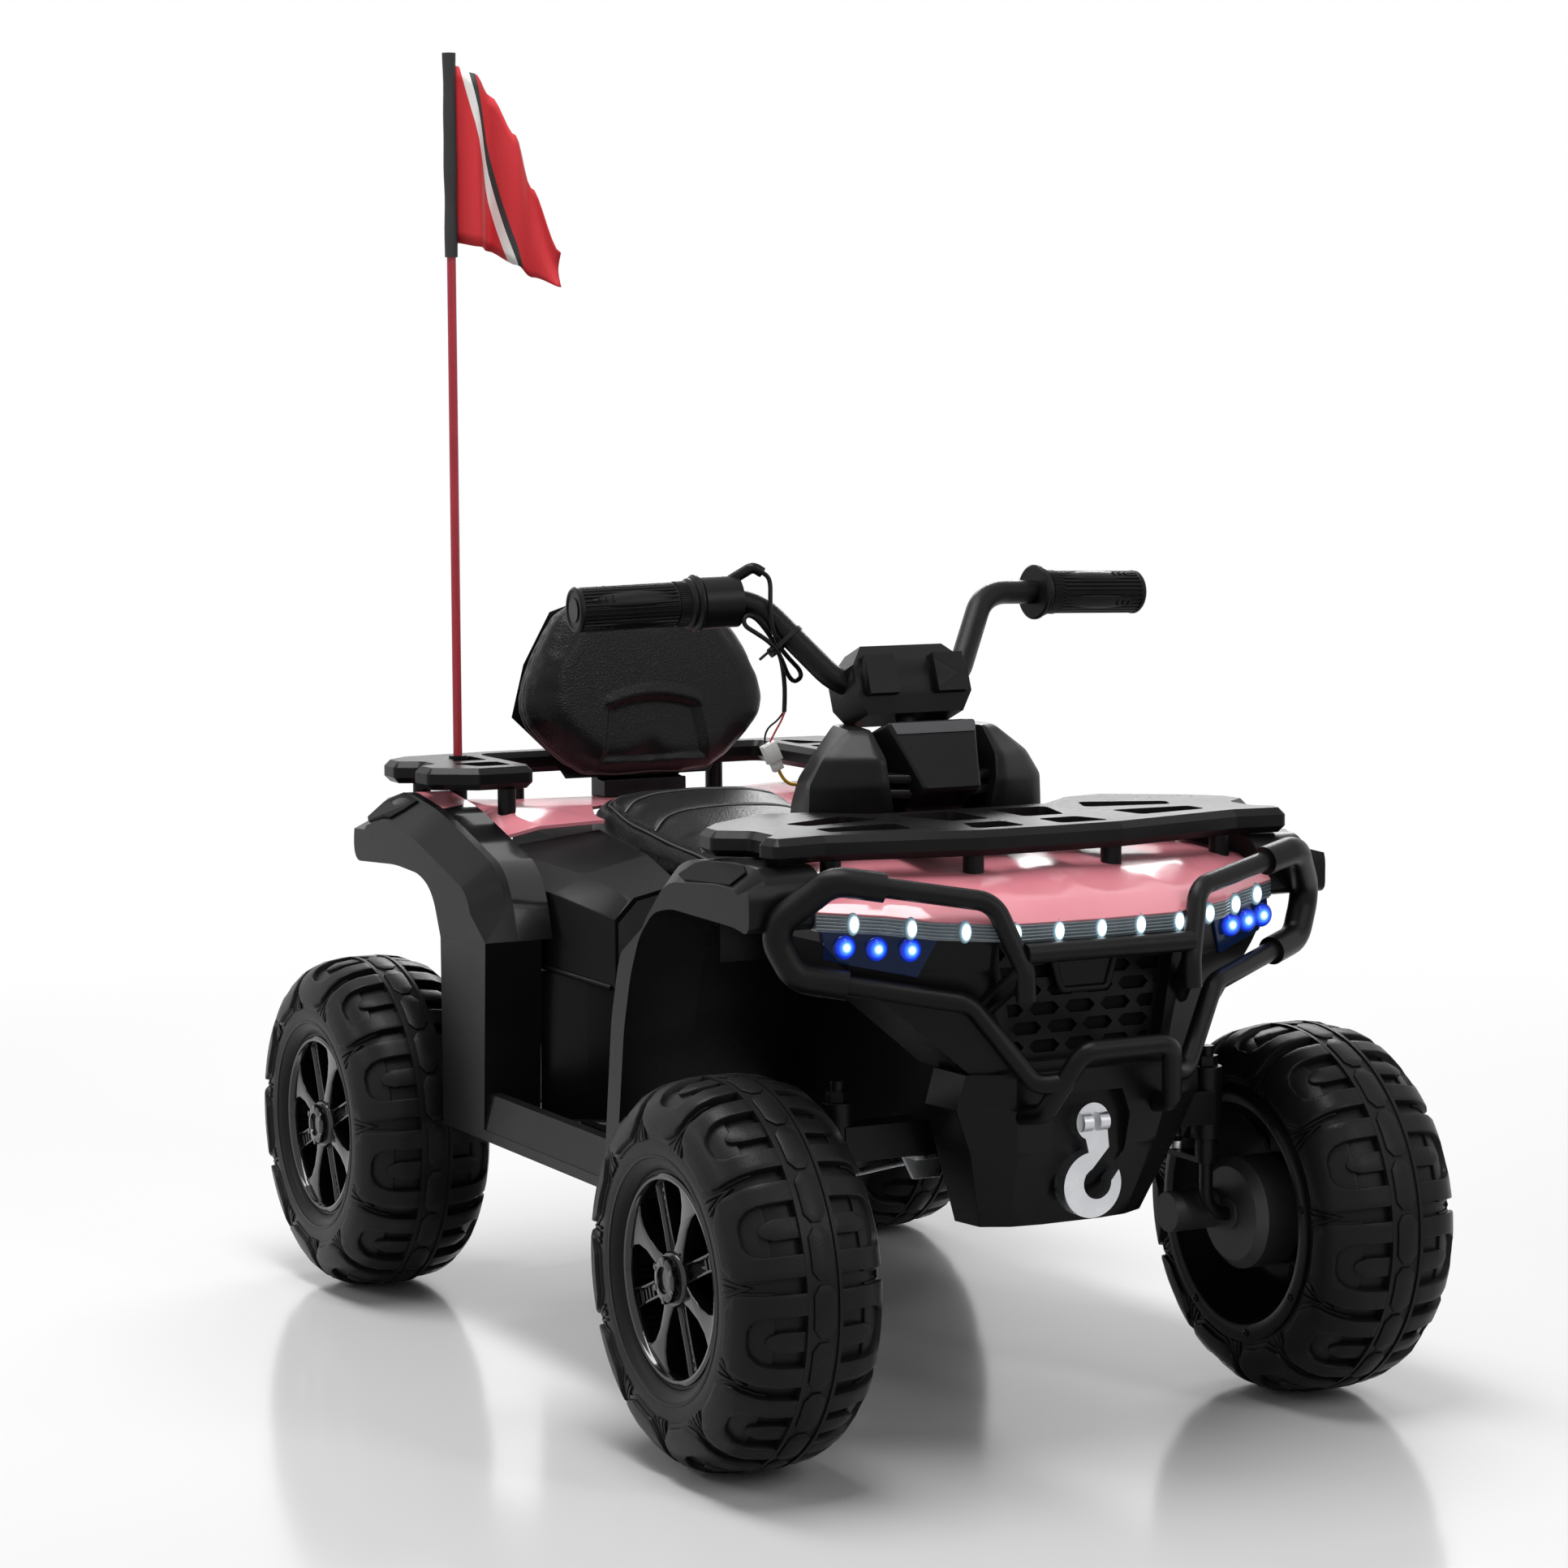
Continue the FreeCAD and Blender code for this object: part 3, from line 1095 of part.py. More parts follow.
def grille():
    """Grille plate with staggered six-sided slots."""
    back = NOSE_X - GRILLE_POCKET
    body = plate(grille_outline(back, 0), X_AXIS * GRILLE_THICKNESS)
    slots = []
    pitch_z = (body.BoundBox.ZLength - GRILLE_BAR) / GRILLE_ROWS
    pitch_y = GRILLE_SLOT_WIDTH + GRILLE_BAR
    height = pitch_z - GRILLE_BAR
    for row in range(GRILLE_ROWS):
        z = body.BoundBox.ZMin + GRILLE_BAR + pitch_z * row + height / 2
        shift = pitch_y / 2 if row % 2 else 0
        for column in range(-GRILLE_COLUMNS, GRILLE_COLUMNS + 1):
            y = column * pitch_y + shift
            half = GRILLE_SLOT_WIDTH / 2
            cut = half - height / 2
            slots.append(plate([
                Vector(back - OVERRUN, y - half, z), Vector(back - OVERRUN, y - cut, z + height / 2),
                Vector(back - OVERRUN, y + cut, z + height / 2), Vector(back - OVERRUN, y + half, z),
                Vector(back - OVERRUN, y + cut, z - height / 2),
                Vector(back - OVERRUN, y - cut, z - height / 2),
            ], X_AXIS * (GRILLE_THICKNESS + 2 * OVERRUN)))
    field = plate(grille_outline(back - OVERRUN, -GRILLE_BAR), X_AXIS * (GRILLE_THICKNESS + 2 * OVERRUN))
    holes = Part.makeCompound(slots).common(field)
    return main_solid(body.cut(holes.Solids))


def badge():
    """Bare badge plate on the grille."""
    front = NOSE_X - GRILLE_POCKET + GRILLE_THICKNESS
    top = at(0, 0, BADGE_TOP_SHARE).z
    low = at(0, 0, BADGE_LOW_SHARE).z
    narrow = BADGE_HALF * BADGE_NARROW_SHARE
    return plate([
        Vector(front, -BADGE_HALF, top), Vector(front, BADGE_HALF, top), Vector(front, narrow, low),
        Vector(front, -narrow, low)], X_AXIS * BADGE_THICKNESS)


def light_strip():
    """Clear strip under the front lip of the hood."""
    half = []
    for across, row in HOOD_ROWS_SHARES:
        along = row[-1][0] - STRIP_SET_SHARE
        lip = row[-1][1]
        half.append([at(along, -across, lip), at(along, -across, lip - STRIP_TALL_SHARE)])
    rows = list(reversed(half)) + [[Vector(p.x, -p.y, p.z) for p in row] for row in half[1:]]
    return skin(rows, Vector(-STRIP_DEPTH, 0, 0))


def lip_share(across):
    """Height of the hood's front lip at a place across."""
    rows = [(share, row[-1][1]) for share, row in HOOD_ROWS_SHARES]
    for (first, low), (second, high) in zip(rows, rows[1:]):
        if first <= abs(across) <= second:
            return low + (high - low) * (abs(across) - first) / (second - first)
    return rows[-1][1]


def on_face(face, outline_rod, height):
    """Small part that lies on the front of a piece within a prism along X."""
    layer = moved(face, X_AXIS * height).common(outline_rod)
    return max(layer.cut(face).Solids, key=lambda solid: solid.BoundBox.XMax)


def lenses(fascia):
    """Head lamp lenses on the cheeks of the fascia."""
    room = fascia.BoundBox
    outline = [at(0, -across, up) for across, up in HEADLIGHT_SHARES]
    prism = plate([Vector(room.XMin, p.y, p.z) for p in outline], X_AXIS * (room.XLength + OVERRUN))
    return on_face(fascia, prism, LENS_THICKNESS)


def lamps(strip, lens):
    """Small round lamps on the light strip and on the head lamp lenses."""
    whites = []
    step = 2 * WHITE_LED_SHARE / (WHITE_LED_COUNT - 1)
    for index in range(WHITE_LED_COUNT):
        across = -WHITE_LED_SHARE + step * index
        place = at(1, across, lip_share(across) - STRIP_TALL_SHARE / 2)
        beam = rod(WHITE_LED_RADIUS, place, place + X_AXIS * FRONT_OVERHANG)
        whites.append(on_face(strip, beam, LED_HEIGHT))
    blues = []
    for across, height in BLUE_LED_SHARES:
        place = at(1, -across, height)
        beam = rod(BLUE_LED_RADIUS, place, place + X_AXIS * FRONT_OVERHANG)
        blue = trimmed(on_face(lens, beam, LED_HEIGHT), strip)
        blues.append(blue)
        blues.append(mirrored(blue))
    return Part.makeCompound(whites), Part.makeCompound(blues)


def bull_bar():
    """Bull bar: a bent loop on each side, a cross bar, two stays and the lower hoop."""
    front = FRONT_AXLE_X + FRONT_OVERHANG - BULL_RADIUS
    foot, shin, top = [at(a, -y, u) for a, y, u in HOOP_SHARES]
    half = [foot, Vector(front - HOOP_SET, shin.y, shin.z), Vector(front, top.y, top.z)]
    route = [at(a, -y, u) for a, y, u in BULL_LOOP_SHARES] + [(half[1] + half[2]) * (1 / 2)]
    loop = tube(route, BULL_RADIUS, BULL_BEND)
    start, end = BULL_COVER_SHARES
    corner = route[3:6]
    cover = tube(
        [route[2] + (corner[0] - route[2]) * start] + corner + [corner[2] + (route[6] - corner[2]) * end],
        BULL_COVER_RADIUS, BULL_BEND)
    stay = tube([at(a, -y, u) for a, y, u in STAY_SHARES], BULL_RADIUS, BULL_BEND)
    hoop = tube(half + [Vector(p.x, -p.y, p.z) for p in reversed(half)], BULL_RADIUS, HOOP_BEND)
    a, y, u = BULL_LOOP_SHARES[1]
    bar_end = at(a, -y, CROSS_SHARE)
    cross = rod(BULL_RADIUS, bar_end, Vector(bar_end.x, -bar_end.y, bar_end.z))
    return joined(loop, mirrored(loop), cover, mirrored(cover), stay, mirrored(stay), hoop, cross)


def hook_recess():
    """Room of the six-sided recess behind the hook."""
    half = [at(RECESS_FLOOR_SHARE, across, up) for across, up in RECESS_SHARES]
    outline = half + [Vector(p.x, -p.y, p.z) for p in reversed(half)]
    return plate(outline, X_AXIS * FRONT_OVERHANG)


def tow_hook():
    """Flat hook under the nose: an eye with two ears, a shank and an open ring."""
    push = X_AXIS * HOOK_THICKNESS
    ring_centre = at(HOOK_FRONT_SHARE, 0, HOOK_HEIGHT_SHARE) - push
    eye_centre = at(HOOK_FRONT_SHARE, 0, HOOK_EYE_HEIGHT_SHARE) - push

    def placed(shares):
        return [ring_centre + (Y_AXIS * y + Z_AXIS * z) * HOOK_RADIUS for y, z in shares]

    throat = placed([HOOK_THROAT_SHIFT_SHARES])[0]
    ring = rod(HOOK_RADIUS, ring_centre, ring_centre + push)
    hole = rod(HOOK_THROAT_RADIUS, throat - push, throat + push * 2)
    mouth = plate([p - push for p in placed(HOOK_MOUTH_SHARES)], push * 3)
    shank = plate(placed(HOOK_SHANK_SHARES), push)
    eye = rod(HOOK_EYE_RADIUS, eye_centre, eye_centre + push)
    ears = []
    for low, high in HOOK_EAR_SHARES:
        ends = [eye_centre + push + Y_AXIS * (share * HOOK_RADIUS) for share in (low, high)]
        ears.append(rod(HOOK_EAR_RADIUS, *ends))
    return joined(ring.cut([hole, mouth]), shank.cut(hole), eye, *ears)


def rack(shares, slots):
    """Rack plate with a skirt and openings."""
    half = [at(a, -y, 0) for a, y in shares]
    low = RACK_TOP - RACK_SKIRT
    points = [Vector(p.x, p.y, low) for p in half]
    points += [Vector(p.x, -p.y, low) for p in reversed(half) if abs(p.y) > 0]
    outline = rounded(points, RACK_CORNER)
    body = Part.Face(outline).extrude(Z_AXIS * RACK_SKIRT)
    inner = outline.makeOffset2D(-RACK_RIM)
    body = body.cut(Part.Face(inner).extrude(Z_AXIS * (RACK_SKIRT - RACK_PLATE)))
    holes = []
    for slot in slots:
        corners = [at(a, -y, 0) for a, y in slot]
        hole = Part.Face(rounded([Vector(p.x, p.y, low) for p in corners], RACK_CORNER))
        hole = hole.extrude(Z_AXIS * (RACK_SKIRT + OVERRUN))
        holes.append(hole)
        holes.append(mirrored(hole))
    return main_solid(body.cut(holes))


def posts(shares, top_rack, *panels):
    """Rack posts that stand on body panels."""
    result = []
    for along, across in shares:
        foot = at(along, -across, 0)
        low = Vector(foot.x, foot.y, panels[0].BoundBox.ZMin)
        post = rod(RACK_POST_RADIUS, low, Vector(foot.x, foot.y, RACK_TOP - RACK_PLATE))
        pieces = post.cut([top_rack] + list(panels))
        top = max(pieces.Solids, key=lambda solid: solid.BoundBox.ZMax)
        result.append(top)
        result.append(mirrored(top))
    return result


def cowl():
    """Dash cowl: a raked centre, a horn on each side, and louvre bars between them."""
    horn = loft([[at(along, -across, up) for along, across in row] for up, row in HORN_LEVELS_SHARES])
    sides = [horn]
    for index in range(LOUVRE_COUNT):
        rise = Z_AXIS * (LOUVRE_PITCH * index)
        corners = [at(along, -across, LOUVRE_LOW_SHARE) + rise for along, across in LOUVRE_SHARES]
        sides.append(plate(corners, Z_AXIS * LOUVRE_THICKNESS))
    whole = joined(levels(COWL_LEVELS_SHARES), *sides, *[mirrored(side) for side in sides])
    front = at(COWL_FRONT_SHARE, 0, COWL_TOP_SHARE)
    far = WHEELBASE
    lid = Part.makeBox(far, far, far, Vector(-far / 2, -far / 2, 0))
    lid = moved(spun(lid, -COLUMN_TILT), front)
    return main_solid(whole.cut(lid))


def switch_frame():
    """Centre of the switches on the cowl's top with its outward and forward directions."""
    front = at(COWL_FRONT_SHARE, 0, COWL_TOP_SHARE)
    level = (front - BAR_CENTRE).dot(COLUMN_AXIS)
    centre = BAR_CENTRE + COLUMN_AXIS * level - COLUMN_FORWARD * SWITCH_BACK
    return centre, COLUMN_AXIS, COLUMN_FORWARD


def power_button():
    """Push button and the pocket that guides it."""
    centre, out, rise = switch_frame()
    place = centre - Y_AXIS * SWITCH_SPREAD
    button = rod(BUTTON_RADIUS, place - out * BUTTON_ROOT, place + out * BUTTON_PROUD)
    depth = BUTTON_ROOT + BUTTON_TRAVEL + MOVE_GAP
    pocket = rod(BUTTON_RADIUS + RUN_GAP, place - out * depth, place + out * OVERRUN)
    return button, pocket


def rocker():
    """Rocker switch on two pins, and the pocket it tips in."""
    centre, out, rise = switch_frame()
    place = centre + Y_AXIS * SWITCH_SPREAD
    half = rise * (ROCKER_LENGTH / 2)
    wide = Y_AXIS * (ROCKER_WIDTH / 2)
    section = [
        place - half - out * ROCKER_ROOT, place - half + out * ROCKER_PROUD,
        place + out * (ROCKER_PROUD - ROCKER_DISH), place + half + out * ROCKER_PROUD,
        place + half - out * ROCKER_ROOT,
    ]
    paddle = plate([p - wide for p in section], wide * 2)
    reach = wide + Y_AXIS * ROCKER_PIN_LENGTH
    seat = place - out * ROCKER_PIN_RADIUS
    pin = rod(ROCKER_PIN_RADIUS, seat - reach, seat + reach)
    room = half + rise * ROCKER_ROOM
    side = wide + Y_AXIS * MOVE_GAP
    floor = place - out * ROCKER_POCKET
    pocket = plate([floor - room - side, floor + room - side, floor + room + side, floor - room + side],
                   out * (ROCKER_POCKET + OVERRUN))
    reach = reach + Y_AXIS * MOVE_GAP
    bore = rod(ROCKER_PIN_RADIUS + RUN_GAP, seat - reach, seat + reach)
    return joined(paddle, pin), pocket.fuse(bore)


def seat():
    """Seat cushion with a crown, a drawn-in lower edge and a piping channel."""
    rows = []
    for along, half, top, low in SEAT_ROWS_SHARES:
        row = [at(along, -half * across, low + up * (top - low)) for across, up in SEAT_SECTION_SHARES]
        rows.append(row + [Vector(p.x, -p.y, p.z) for p in reversed(row) if abs(p.y) > 0])
    return loft(rows)


def seat_hinge():
    """Hinge pin with its tongue, the ears that carry it, and the bore through them."""
    place = at(HINGE_X_SHARE, 0, HINGE_Z_SHARE)
    reach = Y_AXIS * (HINGE_HALF + HINGE_EAR)
    pin = rod(HINGE_RADIUS, place - reach, place + reach)
    half = HINGE_HALF - MOVE_GAP
    front = at(SEAT_ROWS_SHARES[-2][0], 0, 0).x
    tongue = block(
        Vector(front, -half, place.z - HINGE_TONGUE / 2), Vector(place.x, half, place.z + HINGE_TONGUE / 2))
    ears = []
    low = at(0, 0, SEAT_LINE_SHARE).z - HINGE_EAR
    for side in (1, -1):
        inner = place + Y_AXIS * (side * HINGE_HALF)
        ear = rod(HINGE_EAR_RADIUS, inner, place + Y_AXIS * (side * (HINGE_HALF + HINGE_EAR)))
        ends = sorted((side * HINGE_HALF, side * (HINGE_HALF + HINGE_EAR)))
        foot = block(
            Vector(place.x - HINGE_EAR_RADIUS, ends[0], low),
            Vector(place.x + HINGE_EAR_RADIUS, ends[1], place.z))
        ears.append(ear.fuse(foot))
    bore = rod(HINGE_RADIUS + RUN_GAP, place - reach * 2, place + reach * 2)
    return pin.fuse(tongue), ears, bore


def backrest_outline(x, grow):
    """Outline of the backrest at a place along X before it leans."""
    half = [at(0, -across, up) for across, up in BACKREST_SHARES]
    centre = at(0, 0, (BACKREST_SHARES[0][1] + BACKREST_SHARES[-1][1]) / 2)
    points = half + [Vector(p.x, -p.y, p.z) for p in reversed(half) if abs(p.y) > 0]
    result = []
    for p in points:
        reach = p - centre
        reach.x = 0
        size = reach.Length
        result.append(Vector(x, 0, 0) + Vector(0, centre.y, centre.z) + reach * ((size + grow) / size))
    return result


def backrest(deck_panel):
    """Backrest pad with a crowned front, its shell and the bracket down to the deck."""
    foot = at(BACKREST_FOOT_SHARE, 0, BACKREST_SHARES[0][1])
    half = BACKREST_THICKNESS / 2
    pad = loft([
        backrest_outline(foot.x, -BACKREST_CHANNEL), backrest_outline(foot.x + half / 2, 0),
        backrest_outline(foot.x + half, 0), backrest_outline(foot.x + half + half / 2, -half / 2),
        backrest_outline(foot.x + 2 * half, -half),
    ])
    shell = loft([
        backrest_outline(foot.x - BACKREST_SHELL, -half), backrest_outline(foot.x, -BACKREST_CHANNEL),
    ])
    pad, shell = [spun(piece, -BACKREST_LEAN, foot, Y_AXIS) for piece in (pad, shell)]
    stand = block(
        Vector(foot.x - STAND_DEPTH / 2, -STAND_HALF, deck_panel.BoundBox.ZMin),
        Vector(foot.x + STAND_DEPTH / 2, STAND_HALF, foot.z + STAND_RISE))
    stand = max(stand.cut([deck_panel, pad]).Solids, key=lambda solid: solid.BoundBox.ZMax)
    return pad, joined(shell, stand)


def flag_socket():
    """Socket for the flag pole, its outer form, and the pole."""
    place = at(POLE_X_SHARE, -POLE_Y_SHARE, 0)
    low = Vector(place.x, place.y, SOCKET_TOP - POLE_SINK)
    base = low - Z_AXIS * SOCKET_FLOOR
    core = rod(POLE_SOCKET_RADIUS, base, Vector(place.x, place.y, SOCKET_TOP))
    socket = core.cut(rod(POLE_RADIUS + RUN_GAP, low, Vector(place.x, place.y, FLAG_TOP)))
    pole = rod(POLE_RADIUS, low + Z_AXIS * RUN_GAP, Vector(place.x, place.y, FLAG_TOP))
    return main_solid(socket), core, pole


def flag_sleeve():
    """Cloth sleeve on the upper part of the pole."""
    place = at(POLE_X_SHARE, -POLE_Y_SHARE, 0)
    top = Vector(place.x, place.y, FLAG_TOP)
    low = top - Z_AXIS * SLEEVE_LENGTH
    return main_solid(rod(SLEEVE_RADIUS, low, top).cut(rod(POLE_RADIUS, low, top)))


def flag():
    """Pennant that hangs from the sleeve in a few folds."""
    pole = at(POLE_X_SHARE, -POLE_Y_SHARE, 0)
    low = FLAG_TOP - SLEEVE_LENGTH
    rows = []
    for along, wave, top, bottom in FLAG_ROWS_SHARES:
        y = pole.y + SLEEVE_RADIUS + along * FLAG_SPAN
        x = pole.x + wave * FLAG_SPAN + along * FLAG_SPAN / 2
        high = low + top * SLEEVE_LENGTH
        base = low + bottom * SLEEVE_LENGTH
        rows.append([
            Vector(x, y, base), Vector(x, y, high), Vector(x + FLAG_THICKNESS, y, high),
            Vector(x + FLAG_THICKNESS, y, base)])
    return loft(rows)


def build():
    """All pieces by name."""
    pieces = {}
    one_tyre = tyre()
    one_rim = rim()
    one_cap = hub_cap()
    one_disc = wheel_disc()
    one_box = gearbox()
    one_washer = spacer_washer()
    for end, x in (("front", FRONT_AXLE_X), ("rear", REAR_AXLE_X)):
        place = Vector(x, -HALF_TRACK, TYRE_RADIUS)
        wheel = {
            "tyre": moved(one_tyre, place),
            "rim": Part.makeCompound([moved(one_rim, place), moved(one_cap, place)]),
            "wheel_disc": moved(one_disc, place),
        }
        for name, shape in wheel.items():
            pieces[end + "_right_" + name] = shape
            pieces[end + "_left_" + name] = mirrored(shape)
    front_place = Vector(FRONT_AXLE_X, -HALF_TRACK, TYRE_RADIUS)
    rear_place = Vector(REAR_AXLE_X, -HALF_TRACK, TYRE_RADIUS)

    beam = front_axle_beam()
    pieces["front_axle_beam"] = Part.makeCompound([beam, pair(beam_bracket())])
    pin = Part.makeCompound([kingpin()] + kingpin_nuts())
    pieces["kingpin_right"] = pin
    pieces["kingpin_left"] = mirrored(pin)
    front_box = Part.makeCompound([moved(one_box, front_place), moved(one_washer, front_place)])
    pieces["front_gearbox_right"] = front_box
    pieces["front_gearbox_left"] = mirrored(front_box)
    rear_box = Part.makeCompound([moved(one_box, rear_place), moved(one_washer, rear_place)])
    pieces["rear_gearboxes"] = pair(rear_box)
    link = tie_rod()
    pieces["tie_rod_right"] = link
    pieces["tie_rod_left"] = mirrored(link)
    column = steering_column()
    pieces["steering_column"] = column
    bush = column_bush()
    pieces["column_bush"] = bush

    bar = handlebar()
    pieces["handlebar"] = bar
    pieces["bar_clamp"] = Part.makeCompound(clamp_blocks(bar, column))
    pieces["throttle_grip"] = grip(BAR_RADIUS + RUN_GAP)
    pieces["left_grip"] = mirrored(grip(BAR_RADIUS))
    pieces["throttle_housing"] = throttle_housing(bar)
    wires = [cord(WIRE_POINTS, WIRE_RADIUS, "wire"), cord(SECOND_WIRE_POINTS, WIRE_RADIUS, "second wire")]
    cable = cord(CABLE_POINTS, CABLE_RADIUS, "throttle cable")
    pieces["throttle_cable"] = Part.makeCompound([cable, cable_tie(bar)] + wires)
    pieces["throttle_plug"] = plug()

    lower_body = tub()
    strip = light_strip()
    bull = bull_bar()
    button, button_pocket = power_button()
    switch, switch_pocket = rocker()
    column_way = rod(COLUMN_BORE, on_column(COLUMN_LOW), COLUMN_END)
    dash = trimmed(cowl(), lower_body, column_way, button_pocket, switch_pocket)
    pieces["dash_cowl"] = dash
    pieces["power_button"] = button
    pieces["direction_rocker"] = switch
    pieces["plug_pigtail"] = trimmed(cord(PIGTAIL_POINTS, PIGTAIL_RADIUS, "pigtail"), dash)
    hood_panel = trimmed(hood(), dash, strip, column_way)
    pieces["hood"] = hood_panel

    cushion = seat()
    hinge, ears, hinge_bore = seat_hinge()
    cushion = trimmed(cushion, moved(lower_body, Z_AXIS * MOVE_GAP), *ears)
    pieces["seat"] = joined(cushion, hinge)
    back = X_AXIS * -SEAM_GAP
    lift = Z_AXIS * SEAM_GAP
    seat_room = moved(cushion, back - lift).fuse(moved(cushion, back + lift))
    deck_panel = trimmed(deck(), cushion, lower_body, seat_room)
    socket, socket_core, pole = flag_socket()
    deck_panel = trimmed(deck_panel, socket_core)
    pieces["rear_deck"] = deck_panel
    pieces["flag_pole"] = pole
    tub_body = joined(lower_body, *ears).cut([bay_box(), column_way, bush, hinge_bore])
    pieces["chassis_tub"] = main_solid(tub_body)
    pieces["battery"] = battery()

    axle = rear_axle()
    nut = moved(axle_nut(), rear_place)
    pieces["rear_axle"] = Part.makeCompound([axle, nut, mirrored(nut)])
    pieces["rear_axle_carrier"] = trimmed(axle_carrier(), lower_body, axle)
    front_flare, front_flare_solid = flare(FRONT_FLARE_SHARES)
    rear_flare, rear_flare_solid = flare(REAR_FLARE_SHARES)
    right_footwell = trimmed(footwell(), front_flare_solid, dash)
    pieces["footwells"] = pair(right_footwell)
    fascia = trimmed(
        levels(FASCIA_LEVELS_SHARES), lower_body, hood_panel, strip, bull, front_flare_solid,
        mirrored(front_flare_solid))
    lens = trimmed(lenses(fascia), bull, front_flare_solid, strip)
    whites, blues = lamps(strip, lens)
    back = NOSE_X - GRILLE_POCKET
    fascia = trimmed(fascia, plate(grille_outline(back, 0), X_AXIS * FRONT_OVERHANG))
    skid = trimmed(levels(SKID_LEVELS_SHARES), bull, hook_recess())
    pieces["front_fascia"] = fascia
    pieces["lamp_lenses"] = Part.makeCompound([strip, pair(lens)])
    pieces["white_lamps"] = whites
    pieces["blue_lamps"] = blues
    pieces["front_fenders"] = pair(trimmed(front_flare, bull, hood_panel, fascia, strip, lens))
    pieces["rear_fenders"] = pair(trimmed(rear_flare, deck_panel))
    panel = trimmed(side_panel(), rear_flare_solid, lower_body, deck_panel, cushion, right_footwell)
    pieces["side_panels"] = pair(panel)
    pieces["grille"] = Part.makeCompound([grille(), badge()])
    pieces["skid_plate"] = skid
    pieces["bull_bar"] = bull
    pieces["tow_hook"] = trimmed(tow_hook(), skid)
    front_rack = rack(FRONT_RACK_SHARES, FRONT_SLOTS_SHARES)
    rear_rack = trimmed(rack(REAR_RACK_SHARES, REAR_SLOTS_SHARES), socket_core)
    pieces["front_rack"] = front_rack
    pieces["rear_rack"] = rear_rack
    feet = posts(FRONT_POSTS_SHARES, front_rack, hood_panel)
    feet += posts(REAR_POSTS_SHARES, rear_rack, deck_panel, rear_flare_solid)
    pieces["posts_and_socket"] = Part.makeCompound(feet + [socket])
    pieces["backrest_pad"], pieces["backrest_shell"] = backrest(deck_panel)
    pieces["flag_sleeve"] = flag_sleeve()
    pieces["flag"] = flag()
    return pieces


def write():
    """One STEP file for each piece."""
    os.makedirs("parts", exist_ok=True)
    for name, shape in build().items():
        print(name, shape.ShapeType, len(shape.Solids), shape.isValid(), round(shape.Volume))
        shape.exportStep("parts/" + name + ".step")


write()
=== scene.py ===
"""Dresses a child's battery quad bike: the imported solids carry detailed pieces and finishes."""

import json
import math

import bmesh
import bpy
from mathutils import Matrix, Vector, geometry
from mathutils.bvhtree import BVHTree


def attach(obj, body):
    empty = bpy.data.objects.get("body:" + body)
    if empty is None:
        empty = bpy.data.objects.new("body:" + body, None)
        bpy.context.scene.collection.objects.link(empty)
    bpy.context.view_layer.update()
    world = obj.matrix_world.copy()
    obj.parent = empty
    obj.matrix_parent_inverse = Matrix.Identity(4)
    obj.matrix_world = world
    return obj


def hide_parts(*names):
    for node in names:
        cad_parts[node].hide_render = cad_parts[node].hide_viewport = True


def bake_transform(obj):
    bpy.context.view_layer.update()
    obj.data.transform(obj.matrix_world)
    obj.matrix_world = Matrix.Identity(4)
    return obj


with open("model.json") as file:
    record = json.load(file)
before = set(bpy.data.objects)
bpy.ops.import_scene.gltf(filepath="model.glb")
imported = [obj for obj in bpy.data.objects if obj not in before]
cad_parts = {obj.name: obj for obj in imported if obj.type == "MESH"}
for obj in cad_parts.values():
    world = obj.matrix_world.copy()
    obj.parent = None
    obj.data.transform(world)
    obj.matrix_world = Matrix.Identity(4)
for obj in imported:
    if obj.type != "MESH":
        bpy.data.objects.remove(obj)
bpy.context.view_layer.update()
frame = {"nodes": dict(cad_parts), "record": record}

bl_info = {
    "name": "Kids quad bike",
    "version": (1, 0, 0),
    "blender": (4, 5, 0),
    "location": "3D View > Sidebar > Quad",
    "description": "Builds the visible pieces of a child's quad bike round its solids",
    "category": "Object",
}

RECORD = frame["record"]
BODY_OF = {node: body for body, nodes in RECORD["behaviour"]["bodies"].items() for node in nodes}
JOINT_AT = {j["name"]: Vector(j["pos_m"]) for j in RECORD["behaviour"]["joints"] if "pos_m" in j}
FRONT_AXLE = JOINT_AT["front_right_roll"]
REAR_AXLE = JOINT_AT["rear_right_roll"]
WHEELBASE = FRONT_AXLE.x - REAR_AXLE.x
HALF_TRACK = -FRONT_AXLE.y
BODY_HEIGHT = 0.5
WHEELS = ("front_right", "front_left", "rear_right", "rear_left")


def at(along, across, up):
    """Body point from shares of the wheelbase, the half track and the body height."""
    return Vector((REAR_AXLE.x + along * WHEELBASE, across * HALF_TRACK, up * BODY_HEIGHT))


def mm(*point):
    """A point in millimetres as metres."""
    return Vector(point) / 1000


def flipped(point):
    """The same point on the other side of the bike."""
    return Vector((point[0], -point[1], point[2]))


# Node and material helpers


def add(tree, kind, links=None, **settings):
    """A shader node with its settings, linked or set by socket name or number."""
    made = tree.nodes.new("ShaderNode" + kind)
    for key, value in settings.items():
        setattr(made, key, value)
    for key, value in (links or {}).items():
        socket = made.inputs[key]
        if isinstance(value, bpy.types.NodeSocket):
            tree.links.new(value, socket)
        else:
            socket.default_value = value
    return made


def new_group(name, inputs, outputs):
    """An empty shader node group with named sockets."""
    tree = bpy.data.node_groups.new(name, "ShaderNodeTree")
    for label, kind, value in inputs:
        socket = tree.interface.new_socket(label, in_out="INPUT", socket_type="NodeSocket" + kind)
        socket.default_value = value
    for label, kind in outputs:
        tree.interface.new_socket(label, in_out="OUTPUT", socket_type="NodeSocket" + kind)
    return tree, tree.nodes.new("NodeGroupInput").outputs, tree.nodes.new("NodeGroupOutput").inputs


